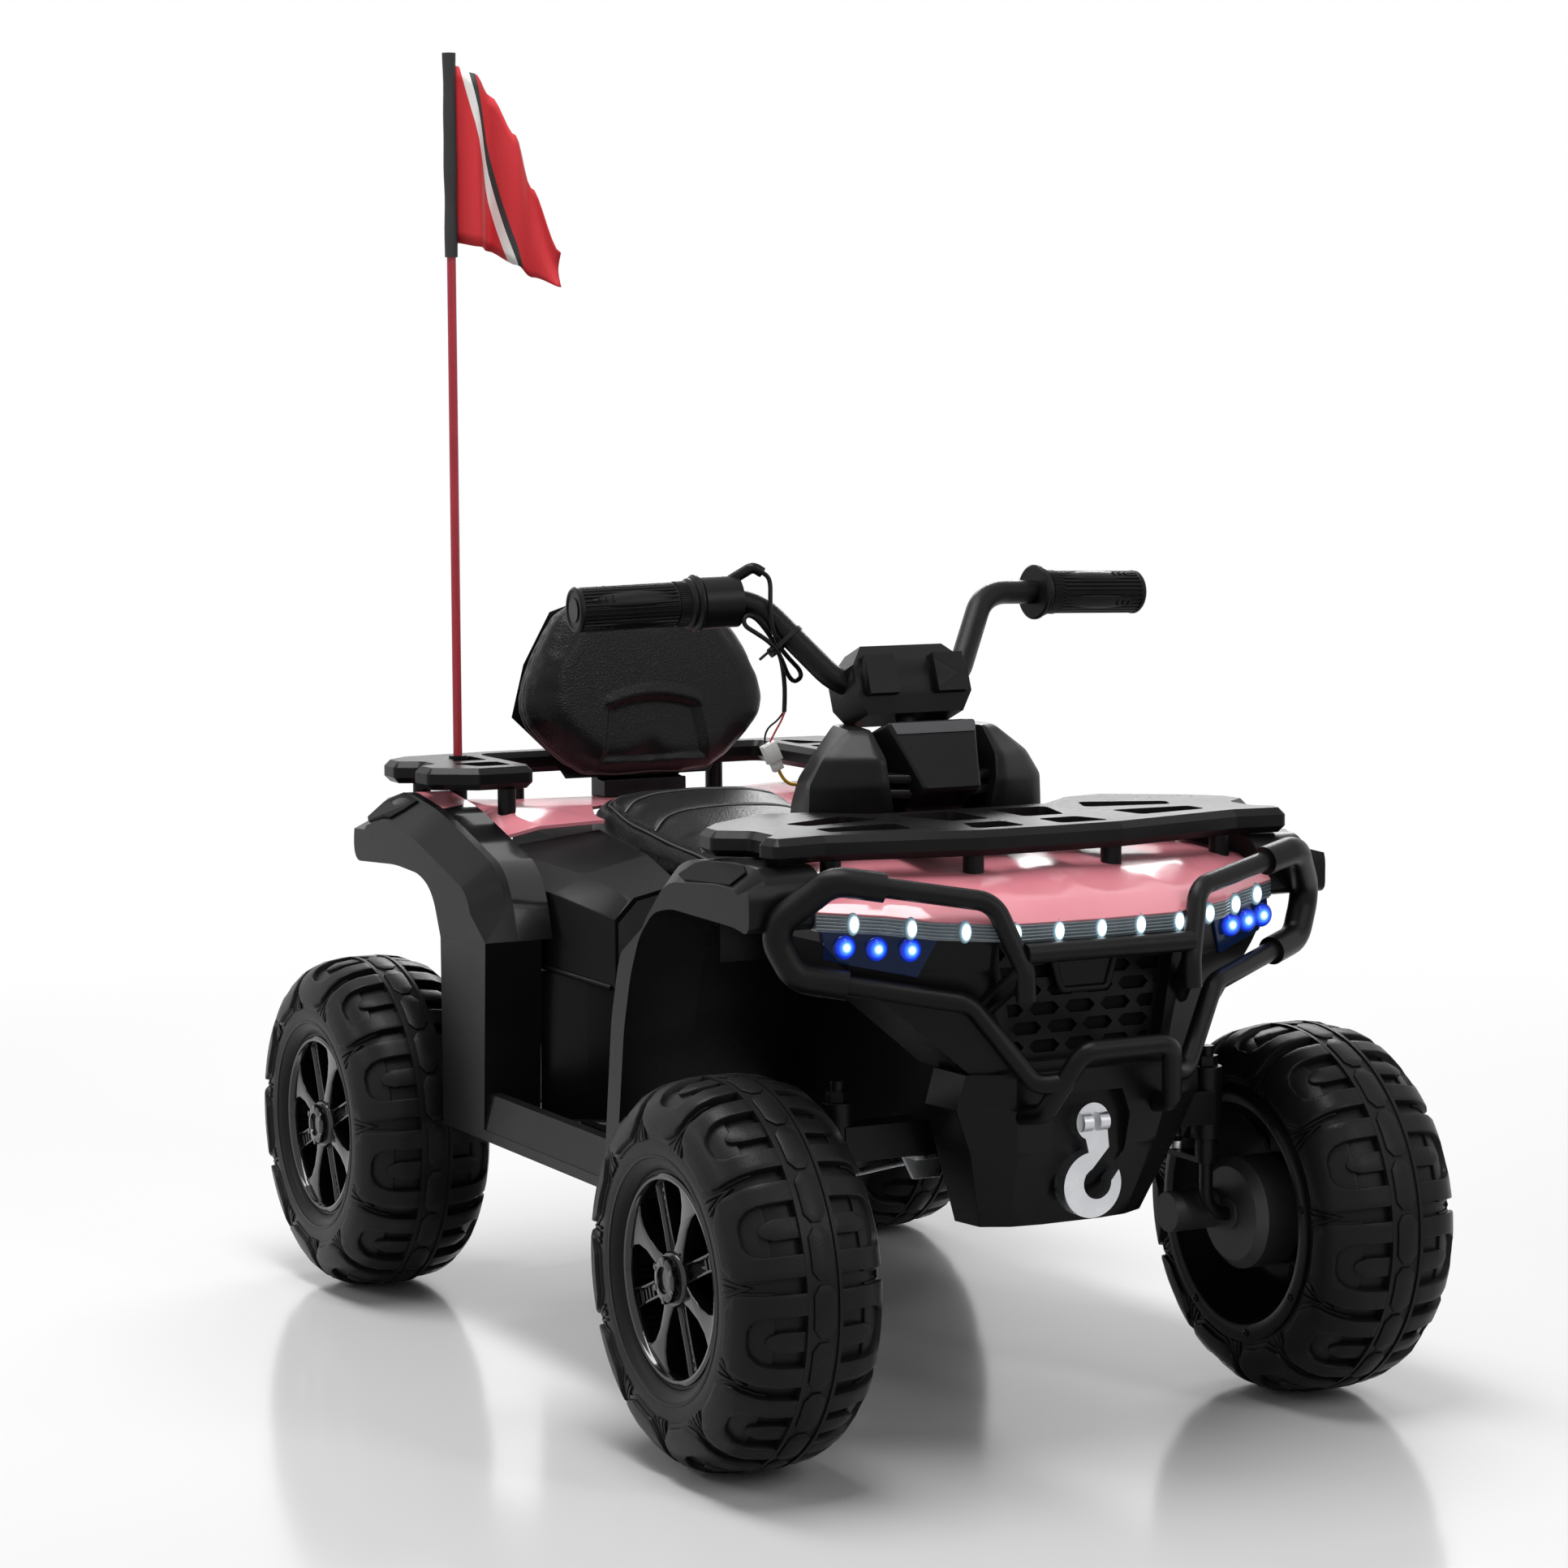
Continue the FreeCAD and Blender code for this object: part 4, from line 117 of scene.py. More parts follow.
def tone_drift():
    """Slow change of colour and roughness over a surface."""
    tree, given, out = new_group(
        "tone_drift",
        [("Colour", "Color", (0.5, 0.5, 0.5, 1)), ("Other", "Color", (0.6, 0.6, 0.6, 1)), ("Scale", "Float", 8.0),
         ("Roughness", "Float", 0.4), ("Spread", "Float", 0.1)],
        [("Colour", "Color"), ("Roughness", "Float")])
    place = add(tree, "TexCoord").outputs["Object"]
    broad = add(tree, "TexNoise", {"Vector": place, "Scale": given["Scale"], "Detail": 5.0, "Roughness": 0.6})
    mask = add(tree, "MapRange", {"Value": broad.outputs["Fac"], "From Min": 0.35, "From Max": 0.68})
    mix = add(tree, "Mix", {0: mask.outputs["Result"], 6: given["Colour"], 7: given["Other"]}, data_type="RGBA")
    tree.links.new(mix.outputs[2], out["Colour"])
    centred = add(tree, "Math", {0: mask.outputs["Result"], 1: 0.5}, operation="SUBTRACT")
    spread = add(tree, "Math", {0: centred.outputs[0], 1: given["Spread"], 2: given["Roughness"]},
                 operation="MULTIPLY_ADD")
    tree.links.new(spread.outputs[0], out["Roughness"])
    return tree


def mould_grain():
    """Fine spark-eroded grain of moulded plastic, or the pebble of leather at a larger scale."""
    tree, given, out = new_group("mould_grain", [("Scale", "Float", 900.0), ("Pebble", "Float", 0.5)],
                                 [("Height", "Float")])
    place = add(tree, "TexCoord").outputs["Object"]
    fine = add(tree, "TexNoise", {"Vector": place, "Scale": given["Scale"], "Detail": 3.0})
    cells = add(tree, "TexVoronoi", {"Vector": place, "Scale": given["Scale"]}, feature="SMOOTH_F1")
    mix = add(tree, "Mix", {0: given["Pebble"], 2: fine.outputs["Fac"], 3: cells.outputs["Distance"]},
              data_type="FLOAT")
    tree.links.new(mix.outputs[0], out["Height"])
    return tree


def cloth_weave():
    """Crossing threads on the surface's own UV map."""
    tree, given, out = new_group("cloth_weave", [("Threads", "Float", 300.0)], [("Height", "Float")])
    place = add(tree, "UVMap").outputs["UV"]
    waves = []
    for direction in ("X", "Y"):
        wave = add(tree, "TexWave", {"Vector": place, "Scale": given["Threads"], "Distortion": 0.4},
                   bands_direction=direction, wave_profile="SIN")
        waves.append(wave.outputs["Fac"])
    high = add(tree, "Math", {0: waves[0], 1: waves[1]}, operation="MAXIMUM")
    tree.links.new(high.outputs[0], out["Height"])
    return tree


GROUPS = {}
FINISH = {}


def placed(tree, name, links):
    """A shared group in a material, with this material's own values."""
    return add(tree, "Group", links, node_tree=GROUPS[name]).outputs


def bare_tree(owner):
    """The emptied node tree of a material or a world."""
    owner.use_nodes = True
    owner.node_tree.nodes.clear()
    return owner.node_tree


def bare_material(name, settings):
    """A material with one shader whose plain values are set on its own sockets."""
    made = bpy.data.materials.new(name)
    tree = bare_tree(made)
    shader = add(tree, "BsdfPrincipled", settings)
    add(tree, "OutputMaterial", {"Surface": shader.outputs["BSDF"]})
    FINISH[name] = made
    return tree, shader


def add_bump(tree, shader, height, strength, distance=0.001):
    """Relief on a shader from a height."""
    bump = add(tree, "Bump", {"Height": height, "Strength": strength, "Distance": distance})
    tree.links.new(bump.outputs["Normal"], shader.inputs["Normal"])


def moulded(name, colour, other, roughness, spread=0.1, scale=8.0, grain=900.0, depth=0.15, pebble=0.4, **settings):
    """A finish with drifting tone and a fine grain."""
    tree, shader = bare_material(name, {key.replace("_", " "): value for key, value in settings.items()})
    drift = placed(tree, "tone_drift", {
        "Colour": (*colour, 1), "Other": (*other, 1), "Scale": scale, "Roughness": roughness, "Spread": spread})
    tree.links.new(drift["Colour"], shader.inputs["Base Color"])
    tree.links.new(drift["Roughness"], shader.inputs["Roughness"])
    height = placed(tree, "mould_grain", {"Scale": grain, "Pebble": pebble})["Height"]
    add_bump(tree, shader, height, depth)


def ramp_of(tree, value, stops, interpolation="LINEAR"):
    """Colours along a value, from stops of (position, colour)."""
    ramp = add(tree, "ValToRGB", {"Fac": value})
    ramp.color_ramp.interpolation = interpolation
    parts = ramp.color_ramp.elements
    while len(parts) < len(stops):
        parts.new(1.0)
    for part, (position, colour) in zip(parts, stops):
        part.position = position
        part.color = (*colour, 1)
    return ramp.outputs["Color"]


def lit(name, strength, stops):
    """A small lamp whose glow falls off from its middle."""
    tree, shader = bare_material(name, {"Base Color": (0.004, 0.005, 0.008, 1), "Roughness": 0.12,
                                        "Specular IOR Level": 0.2, "Emission Strength": strength})
    glow = add(tree, "Attribute", attribute_name="glow").outputs["Fac"]
    tree.links.new(ramp_of(tree, glow, stops), shader.inputs["Emission Color"])


def flag_finish():
    """Red cloth with a plain slanted pale band and a thin dark one."""
    tree, shader = bare_material("flag_cloth", {"Roughness": 0.62, "Sheen Weight": 0.15})
    place = add(tree, "UVMap").outputs["UV"]
    parts = add(tree, "SeparateXYZ", {0: place}).outputs
    slant = add(tree, "Math", {0: parts["Y"], 1: 0.45, 2: parts["X"]}, operation="MULTIPLY_ADD")
    red, pale, dark = (0.6, 0.012, 0.02), (0.8, 0.78, 0.76), (0.01, 0.01, 0.011)
    tint = ramp_of(tree, slant.outputs[0], ((0, red), (0.5, pale), (0.58, dark), (0.64, red)), "CONSTANT")
    tree.links.new(tint, shader.inputs["Base Color"])
    height = placed(tree, "cloth_weave", {"Threads": 90.0})["Height"]
    add_bump(tree, shader, height, 0.2, 0.0004)


def make_finishes(tints):
    """All finishes of the bike."""
    for build in (tone_drift, mould_grain, cloth_weave):
        GROUPS[build.__name__] = build()
    # both tones, roughness and its spread, scale of the drift, scale and depth of the grain, share of pebble in it
    moulded("tyre_black", (0.008, 0.0079, 0.008), (0.013, 0.0127, 0.013), 0.38, 0.14, 9.0, 700.0, 0.22,
            Specular_IOR_Level=0.12)
    moulded("satin_black", (0.0055, 0.0055, 0.006), (0.008, 0.008, 0.0088), 0.3, 0.1, 6.0, 1500.0, 0.12,
            Specular_IOR_Level=0.13)
    # Darker, duller black: the fender plates' own colour, and painted shade on the chassis tub, the rear axle carrier
    # and the fascia's pocket behind the grille.
    moulded("deep_black", (0.0025, 0.0025, 0.003), (0.0036, 0.0036, 0.0042), 0.42, 0.1, 7.0, 1200.0, 0.12,
            Specular_IOR_Level=0.05)
    moulded("gloss_black", (0.004, 0.004, 0.0046), (0.006, 0.006, 0.0066), 0.1, 0.05, 10.0, 500.0, 0.02,
            Specular_IOR_Level=0.42, Coat_Weight=0.2, Coat_Roughness=0.05)
    moulded("powder_black", (0.0045, 0.0045, 0.005), (0.007, 0.007, 0.0076), 0.24, 0.06, 14.0, 2200.0, 0.25, 0.2,
            Specular_IOR_Level=0.13)
    moulded("pink_shell", tuple(tints.pink), tuple(tints.pink_deep), 0.24, 0.05, 5.0, 420.0, 0.015,
            Coat_Weight=0.4, Coat_Roughness=0.12)
    moulded("grey_case", (0.03, 0.03, 0.034), (0.042, 0.042, 0.046), 0.45, 0.1, 12.0, 1200.0, 0.15)
    moulded("zinc", (0.55, 0.56, 0.58), (0.44, 0.45, 0.47), 0.32, 0.16, 34.0, 1600.0, 0.08, Metallic=1.0)
    moulded("satin_aluminium", (0.64, 0.65, 0.67), (0.54, 0.55, 0.57), 0.3, 0.1, 22.0, 2600.0, 0.1, Metallic=1.0)
    moulded("grip_rubber", (0.006, 0.006, 0.0066), (0.0095, 0.0095, 0.01), 0.34, 0.1, 20.0, 1600.0, 0.2,
            Specular_IOR_Level=0.12)
    moulded("cable_rubber", (0.005, 0.005, 0.0056), (0.007, 0.007, 0.0076), 0.38, 0.08, 60.0, 2400.0, 0.1,
            Specular_IOR_Level=0.14)
    moulded("leather", (0.006, 0.006, 0.0066), (0.009, 0.009, 0.0098), 0.32, 0.12, 7.0, 620.0, 0.4, 0.85,
            Specular_IOR_Level=0.14, Sheen_Weight=0.02)
    moulded("piping", (0.03, 0.03, 0.032), (0.042, 0.042, 0.044), 0.42, 0.1, 30.0, 900.0, 0.2)
    moulded("sleeve_cloth", (0.008, 0.008, 0.009), (0.013, 0.013, 0.014), 0.7, 0.1, 30.0, 1800.0, 0.5)
    moulded("white_nylon", (0.78, 0.78, 0.76), (0.68, 0.68, 0.66), 0.38, 0.1, 60.0, 1500.0, 0.06)
    moulded("yellow_wire", (0.8, 0.42, 0.03), (0.7, 0.34, 0.02), 0.35, 0.1, 80.0, 2000.0, 0.05)
    moulded("red_wire", (0.5, 0.02, 0.02), (0.4, 0.015, 0.015), 0.35, 0.1, 80.0, 2000.0, 0.05)
    moulded("red_button", (0.55, 0.02, 0.025), (0.47, 0.015, 0.02), 0.2, 0.05, 40.0, 900.0, 0.03, Coat_Weight=0.4)
    moulded("crimson_rod", (0.42, 0.012, 0.03), (0.35, 0.01, 0.025), 0.28, 0.1, 30.0, 900.0, 0.1)
    flag_finish()
    lit("white_glow", 3.0, ((0, (0.02, 0.026, 0.03)), (0.25, (0.1, 0.16, 0.19)), (0.5, (0.75, 0.92, 1)),
                            (0.7, (1, 1, 1))))
    lit("blue_glow", 1.7, ((0, (0.001, 0.004, 0.03)), (0.3, (0.004, 0.03, 0.55)), (0.55, (0.04, 0.2, 1)),
                           (0.74, (0.45, 0.7, 1)), (0.88, (1, 1, 1))))
    moulded("clear_strip", (0.3, 0.36, 0.4), (0.22, 0.28, 0.32), 0.14, 0.08, 30.0, 700.0, 0.05,
            Transmission_Weight=0.25, Coat_Weight=0.3)
    # The smoked lens's faint blue emission is a painted glow: the head lamps are not lit.
    moulded("smoked_lens_painted_glow", (0.002, 0.003, 0.006), (0.003, 0.005, 0.011), 0.06, 0.04, 30.0, 500.0, 0.02,
            Specular_IOR_Level=0.14, Emission_Color=(0.02, 0.06, 0.22, 1), Emission_Strength=0.12)


# Mesh helpers

MERGE_GAP = 1e-6
FLAT_ANGLE = math.radians(0.5)
BEND_SHARE = 0.48


def as_mesh(name, bm):
    """A bmesh as a mesh; the bmesh is freed."""
    mesh = bpy.data.meshes.new(name)
    bm.to_mesh(mesh)
    bm.free()
    return mesh


def add_mesh(bm, mesh):
    """Takes a mesh into a bmesh and removes it."""
    bm.from_mesh(mesh)
    bpy.data.meshes.remove(mesh)


def in_scene(name, data):
    """An object with a mesh, camera or light, linked into the scene."""
    made = bpy.data.objects.new(name, data)
    bpy.context.scene.collection.objects.link(made)
    return made


def piece(name, bm, finishes, node, *replaced, sharp=38, recalc=True, body=None):
    """A mesh as a piece that rides where a node rides and hides the nodes that it replaces."""
    if recalc:
        bmesh.ops.recalc_face_normals(bm, faces=bm.faces)
    mesh = as_mesh(name, bm)
    for finish in [finishes] if isinstance(finishes, str) else finishes:
        mesh.materials.append(FINISH[finish])
    mesh.shade_smooth()
    mesh.set_sharp_from_angle(angle=math.radians(sharp))
    made = in_scene(name, mesh)
    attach(made, body or BODY_OF[node])
    if replaced:
        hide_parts(*replaced)
    return made


def even_shading(made):
    """Large faces keep their own direction beside narrow bevels."""
    made.modifiers.new("even_shading", "WEIGHTED_NORMAL").keep_sharp = True


def merged_copy(node):
    """A node's mesh with its doubles merged."""
    bm = bmesh.new()
    bm.from_mesh(frame["nodes"][node].data)
    bmesh.ops.remove_doubles(bm, verts=bm.verts, dist=MERGE_GAP)
    return bm


def solid_copy(node):
    """A node's mesh, merged and cleared of edges inside flat faces."""
    bm = merged_copy(node)
    bmesh.ops.dissolve_limit(bm, angle_limit=FLAT_ANGLE, verts=bm.verts, edges=bm.edges)
    return bm


def everything(bm):
    """All vertices, edges and faces."""
    return bm.verts[:] + bm.edges[:] + bm.faces[:]


def only(geom, kind):
    """The elements of one kind among an operator's results."""
    return [g for g in geom if isinstance(g, kind)]


def bevel(bm, geom, width, segments=2, affect="EDGES", clamp=True):
    """Rounds or chamfers edges or corners."""
    bmesh.ops.bevel(bm, geom=geom, offset=width, offset_type="OFFSET", segments=segments, profile=0.5, affect=affect,
                    clamp_overlap=clamp, material=-1)


def rounded_edges(bm, width, segments=2, angle=30):
    """Bevels the edges that turn by more than an angle."""
    turn = math.radians(angle)
    bevel(bm, [e for e in bm.edges if len(e.link_faces) == 2 and e.calc_face_angle() > turn], width, segments)


def islands(faces):
    """Groups of faces that hang together."""
    left = set(faces)
    found = []
    while left:
        group = [left.pop()]
        for face in group:
            for edge in face.edges:
                for other in edge.link_faces:
                    if other in left:
                        left.discard(other)
                        group.append(other)
        found.append(group)
    return found


def reach(group, axis):
    """How far a group of faces reaches along an axis."""
    places = [v.co[axis] for f in group for v in f.verts]
    return max(places) - min(places)


def softened(node, finishes, width, second=None):
    """A solid with rounded edges in place of the plain one; faces that pass a test take the second finish."""
    bm = solid_copy(node)
    rounded_edges(bm, width)
    if second:
        for group in islands(bm.faces):
            wide = reach(group, 1)
            for face in group:
                face.material_index = int(second(face, wide))
    even_shading(piece(node + "_shape", bm, finishes, node, node, recalc=False))


def new_curve(kind, count, radius, sides, steps):
    """A curve that is round in section, and its one spline with a number of points."""
    curve = bpy.data.curves.new("line", "CURVE")
    curve.dimensions = "3D"
    curve.bevel_depth = radius
    curve.bevel_resolution = sides
    curve.resolution_u = steps
    curve.use_fill_caps = True
    spline = curve.splines.new(kind)
    (spline.points if kind == "NURBS" else spline.bezier_points).add(count - 1)
    return curve, spline


def curve_mesh(curve):
    """A curve as a mesh."""
    holder = bpy.data.objects.new(curve.name, curve)
    mesh = bpy.data.meshes.new_from_object(holder)
    bpy.data.objects.remove(holder)
    bpy.data.curves.remove(curve)
    return mesh


def add_tube(bm, points, radius, bend):
    """A round tube along straight runs joined by bends."""
    knots = [(points[0],) * 3]
    for before, corner, after in zip(points, points[1:], points[2:]):
        back = before - corner
        ahead = after - corner
        half = back.angle(ahead) / 2
        taken = min(bend / math.tan(half), BEND_SHARE * back.length, BEND_SHARE * ahead.length)
        handle = 4 / 3 * math.tan((math.pi - 2 * half) / 4) * taken * math.tan(half)
        back.normalize()
        ahead.normalize()
        first = corner + back * taken
        last = corner + ahead * taken
        knots.append((first, first, first - back * handle))
        knots.append((last, last - ahead * handle, last))
    knots.append((points[-1],) * 3)
    curve, spline = new_curve("BEZIER", len(knots), radius, sides=4, steps=8)
    ends = list(spline.bezier_points)
    for end, (place, left, right) in zip(ends, knots):
        end.handle_left_type = end.handle_right_type = "FREE"
        end.co, end.handle_left, end.handle_right = place, left, right
    for start, stop in zip(ends[::2], ends[1::2]):
        start.handle_right = start.co.lerp(stop.co, 1 / 3)
        stop.handle_left = stop.co.lerp(start.co, 1 / 3)
    add_mesh(bm, curve_mesh(curve))


def add_turned(bm, profile, centre, axis, steps=48):
    """A closed or open profile of (distance along the axis, radius) spun round the axis."""
    axis = Vector(axis).normalized()
    side = axis.orthogonal().normalized()
    verts = [bm.verts.new(centre + axis * along + side * radius) for along, radius in profile]
    edges = [bm.edges.new(pair) for pair in zip(verts, verts[1:])]
    bmesh.ops.spin(bm, geom=verts + edges, cent=centre, axis=axis, angle=2 * math.pi, steps=steps, use_merge=True)
    bmesh.ops.remove_doubles(bm, verts=bm.verts, dist=MERGE_GAP)


def pushed(bm, faces, push, **settings):
    """Extrudes faces along a vector; gives the moved vertices and faces."""
    grown = bmesh.ops.extrude_face_region(bm, geom=faces, **settings)["geom"]
    verts = only(grown, bmesh.types.BMVert)
    bmesh.ops.translate(bm, verts=verts, vec=push)
    return verts, only(grown, bmesh.types.BMFace)


def add_prism(bm, points, push, width=0.0, far_only=False):
    """A flat outline pushed along a vector, all its edges or only those of the far face rounded by a width."""
    face = bm.faces.new([bm.verts.new(p) for p in points])
    verts, tops = pushed(bm, [face], push)
    faces = {f for v in verts for f in v.link_faces} | {face}
    bmesh.ops.recalc_face_normals(bm, faces=list(faces))
    if width:
        bevel(bm, list(tops[0].edges if far_only else {e for f in faces for e in f.edges}), width)


def cut_flat(bm, place, direction):
    """Divides everything along a plane, so that it can bend or change its finish there."""
    bmesh.ops.bisect_plane(bm, geom=everything(bm), dist=1e-5, plane_co=place, plane_no=direction)


def mirror_over(bm):
    """Adds the other side of everything in a mesh."""
    copy = bmesh.ops.duplicate(bm, geom=everything(bm))["geom"]
    bmesh.ops.scale(bm, vec=(1, -1, 1), verts=only(copy, bmesh.types.BMVert))
    bmesh.ops.reverse_faces(bm, faces=only(copy, bmesh.types.BMFace))


class QuadTints(bpy.types.PropertyGroup):
    """Colours that a user would change."""

    pink: bpy.props.FloatVectorProperty(
        name="Shell pink", description="Colour of the hood and rear deck", subtype="COLOR", default=(0.78, 0.27, 0.32),
        min=0, max=1)
    pink_deep: bpy.props.FloatVectorProperty(
        name="Deeper pink", description="Second tone of the shell", subtype="COLOR", default=(0.72, 0.23, 0.28),
        min=0, max=1)


class QuadSizes(bpy.types.PropertyGroup):
    """Sizes that a user would change."""

    edge: bpy.props.FloatProperty(
        name="Edge rounding", description="Rounding of the racks' edges", unit="LENGTH", default=0.0016)
    lugs: bpy.props.IntProperty(name="Tread pitches", description="Tread patterns round a tyre", default=11)


# Stage

CAMERA_AT = (3.333, -1.762, 0.9013)
CAMERA_RIGHT = Vector((0.4621, 0.8868, -0.0048))
CAMERA_UP = Vector((-0.086, 0.0502, 0.995))
CAMERA_LENS, CAMERA_SENSOR, CAMERA_FAR = 92.33, 36.0, 60
LIGHTS = (
    ("top_light", (0.1, -0.5, 2.9), (0, 0, 0.3), (2.4, 0.7), 62),
    ("front_light", (2.8, 0.9, 2.1), (0.2, 0, 0.4), (0.4, 1.6), 16),
    ("side_light", (-0.9, -2.8, 2.0), (0, 0, 0.35), (2.2, 0.3), 13),
    ("back_light", (-2.4, 1.6, 1.8), (0, 0, 0.5), (1.8, 0.5), 34),
)
FLOOR_RADIUS = 9.0
FADE_NEAR, FADE_FAR = 0.9, 2.6


def seen_straight(tree):
    """1 for a ray from the camera, off a gloss or through glass, and 0 for scattered light."""
    path = add(tree, "LightPath").outputs
    seen = add(tree, "Math", {0: path["Is Camera Ray"], 1: path["Is Glossy Ray"]}, operation="MAXIMUM")
    seen = add(tree, "Math", {0: seen.outputs[0], 1: path["Is Transmission Ray"]}, operation="MAXIMUM")
    return seen.outputs[0]


def viewing_camera():
    """Camera at the photograph's viewing angle."""
    camera = bpy.data.cameras.new("camera")
    camera.lens = CAMERA_LENS
    camera.sensor_width = CAMERA_SENSOR
    camera.clip_end = CAMERA_FAR
    back = CAMERA_RIGHT.cross(CAMERA_UP).normalized()
    up = back.cross(CAMERA_RIGHT).normalized()
    turn = Matrix((CAMERA_RIGHT.normalized(), up, back)).transposed()
    holder = in_scene("camera", camera)
    holder.matrix_world = Matrix.Translation(CAMERA_AT) @ turn.to_4x4()
    return holder


def soft_light(name, place, aim, size, power):
    """Rectangular light turned to a point."""
    lamp = bpy.data.lights.new(name, "AREA")
    lamp.shape = "RECTANGLE"
    lamp.size, lamp.size_y = size
    lamp.energy = power
    toward = Vector(aim) - Vector(place)
    turn = toward.to_track_quat("-Z", "Y").to_matrix().to_4x4()
    in_scene(name, lamp).matrix_world = Matrix.Translation(place) @ turn


def white_room():
    """World that is white where it is seen and dimmer as a light."""
    world = bpy.data.worlds.new("white_room")
    tree = bare_tree(world)
    level = add(tree, "MapRange", {"Value": seen_straight(tree), "To Min": 0.3, "To Max": 1.0})
    sky = add(tree, "Background", {"Color": (1, 1, 1, 1), "Strength": level.outputs[0]})
    add(tree, "OutputWorld", {"Surface": sky.outputs[0]})
    return world


def pale_floor():
    """Glossy floor that fades into the white room."""
    bm = bmesh.new()
    bmesh.ops.create_circle(bm, cap_ends=True, segments=96, radius=FLOOR_RADIUS)
    mesh = as_mesh("floor", bm)
    material = bpy.data.materials.new("white_floor")
    tree = bare_tree(material)
    tone = add(tree, "MapRange", {"Value": seen_straight(tree), "To Min": 0.4, "To Max": 0.86})
    shader = add(tree, "BsdfPrincipled", {
        "Base Color": tone.outputs[0], "Roughness": 0.14, "Specular IOR Level": 0.9})
    place = add(tree, "TexCoord").outputs["Object"]
    far = add(tree, "VectorMath", {0: place}, operation="LENGTH")
    fade = add(tree, "MapRange", {"Value": far.outputs["Value"], "From Min": FADE_NEAR, "From Max": FADE_FAR})
    path = add(tree, "LightPath").outputs
    shown = add(tree, "Math", {0: fade.outputs[0], 1: path["Is Camera Ray"]}, operation="MULTIPLY")
    white = add(tree, "Emission", {"Color": (1, 1, 1, 1), "Strength": 1.0})
    mix = add(tree, "MixShader", {0: shown.outputs[0], 1: shader.outputs[0], 2: white.outputs[0]})
    add(tree, "OutputMaterial", {"Surface": mix.outputs[0]})
    mesh.materials.append(material)
    return in_scene("floor", mesh)


class QUAD_OT_stage(bpy.types.Operator):
    """Floor, light and camera"""

    bl_idname = "quad.stage"
    bl_label = "Stage"

    def execute(self, context):
        scene = context.scene
        scene.view_settings.view_transform = "Standard"
        scene.camera = viewing_camera()
        for row in LIGHTS:
            soft_light(*row)
        scene.world = white_room()
        floor = pale_floor()
        return {"FINISHED"}


# Cords

CABLE_ROUTE = (
    (132, -117, 732), (133, -112, 729), (134.5, -110, 722), (139, -112.5, 709),
    (144, -115, 693), (145, -112, 678), (144, -106, 665), (142, -93, 652),
    (141, -84, 644), (142, -83, 637), (143, -91, 633), (146, -99, 640),
    (150, -106, 653), (151, -113, 664), (150, -121, 672), (147, -133, 680),
    (143, -140, 685), (141.5, -141, 691), (140, -136, 695), (138.5, -127, 692),
    (136, -115, 680), (136, -107, 668), (135, -100, 655), (135, -97, 638),
    (135, -96, 621), (135, -97, 606),
)
RED_WIRE_ROUTE = (
    (136, -97, 606), (136.2, -100, 599), (136.5, -107, 589), (137, -112.5, 579.8),
)
BLACK_WIRE_ROUTE = (
    (133.9, -97, 606), (133.6, -102, 599), (133.2, -112, 593), (133, -116, 585),
    (133, -115.7, 578.4),
)
PIGTAIL_ROUTE = (
    (135, -102.9, 553.8), (135, -99, 546), (135, -91, 540), (135, -79, 540),
    (135, -60, 544),
)
WIRES = (("red_wire", RED_WIRE_ROUTE, "red_wire"), ("black_wire", BLACK_WIRE_ROUTE, "cable_rubber"))
CABLE_RADIUS, WIRE_RADIUS, PIGTAIL_RADIUS = 0.0021, 0.0009, 0.0016
PLUG_EDGE = 0.0006
TIE_TAIL = mm(6, -16, -9)
TIE_HEAD_SHARE, TIE_HEAD_RADIUS, TIE_TAIL_RADIUS = 0.3, 0.0026, 0.0013


def route_curve(route, radius):
    """A smooth curve with the route's points as its control points."""
    curve, spline = new_curve("NURBS", len(route), radius, sides=4, steps=8)
    for point, place in zip(spline.points, route):
        point.co = (*mm(*place), 1)
    spline.order_u = 3
    spline.use_endpoint_u = True
    return curve


def route_line(route):
    """Points along the smooth line of a route."""
    mesh = curve_mesh(route_curve(route, 0))
    points = [v.co.copy() for v in mesh.vertices]
    bpy.data.meshes.remove(mesh)
    return points


def cord_mesh(name, route, radius, finish):
    """A cord as a mesh tube on its route."""
    mesh = curve_mesh(route_curve(route, radius))
    mesh.name = name
    mesh.materials.append(FINISH[finish])
    mesh.shade_smooth()
    return in_scene(name, mesh)


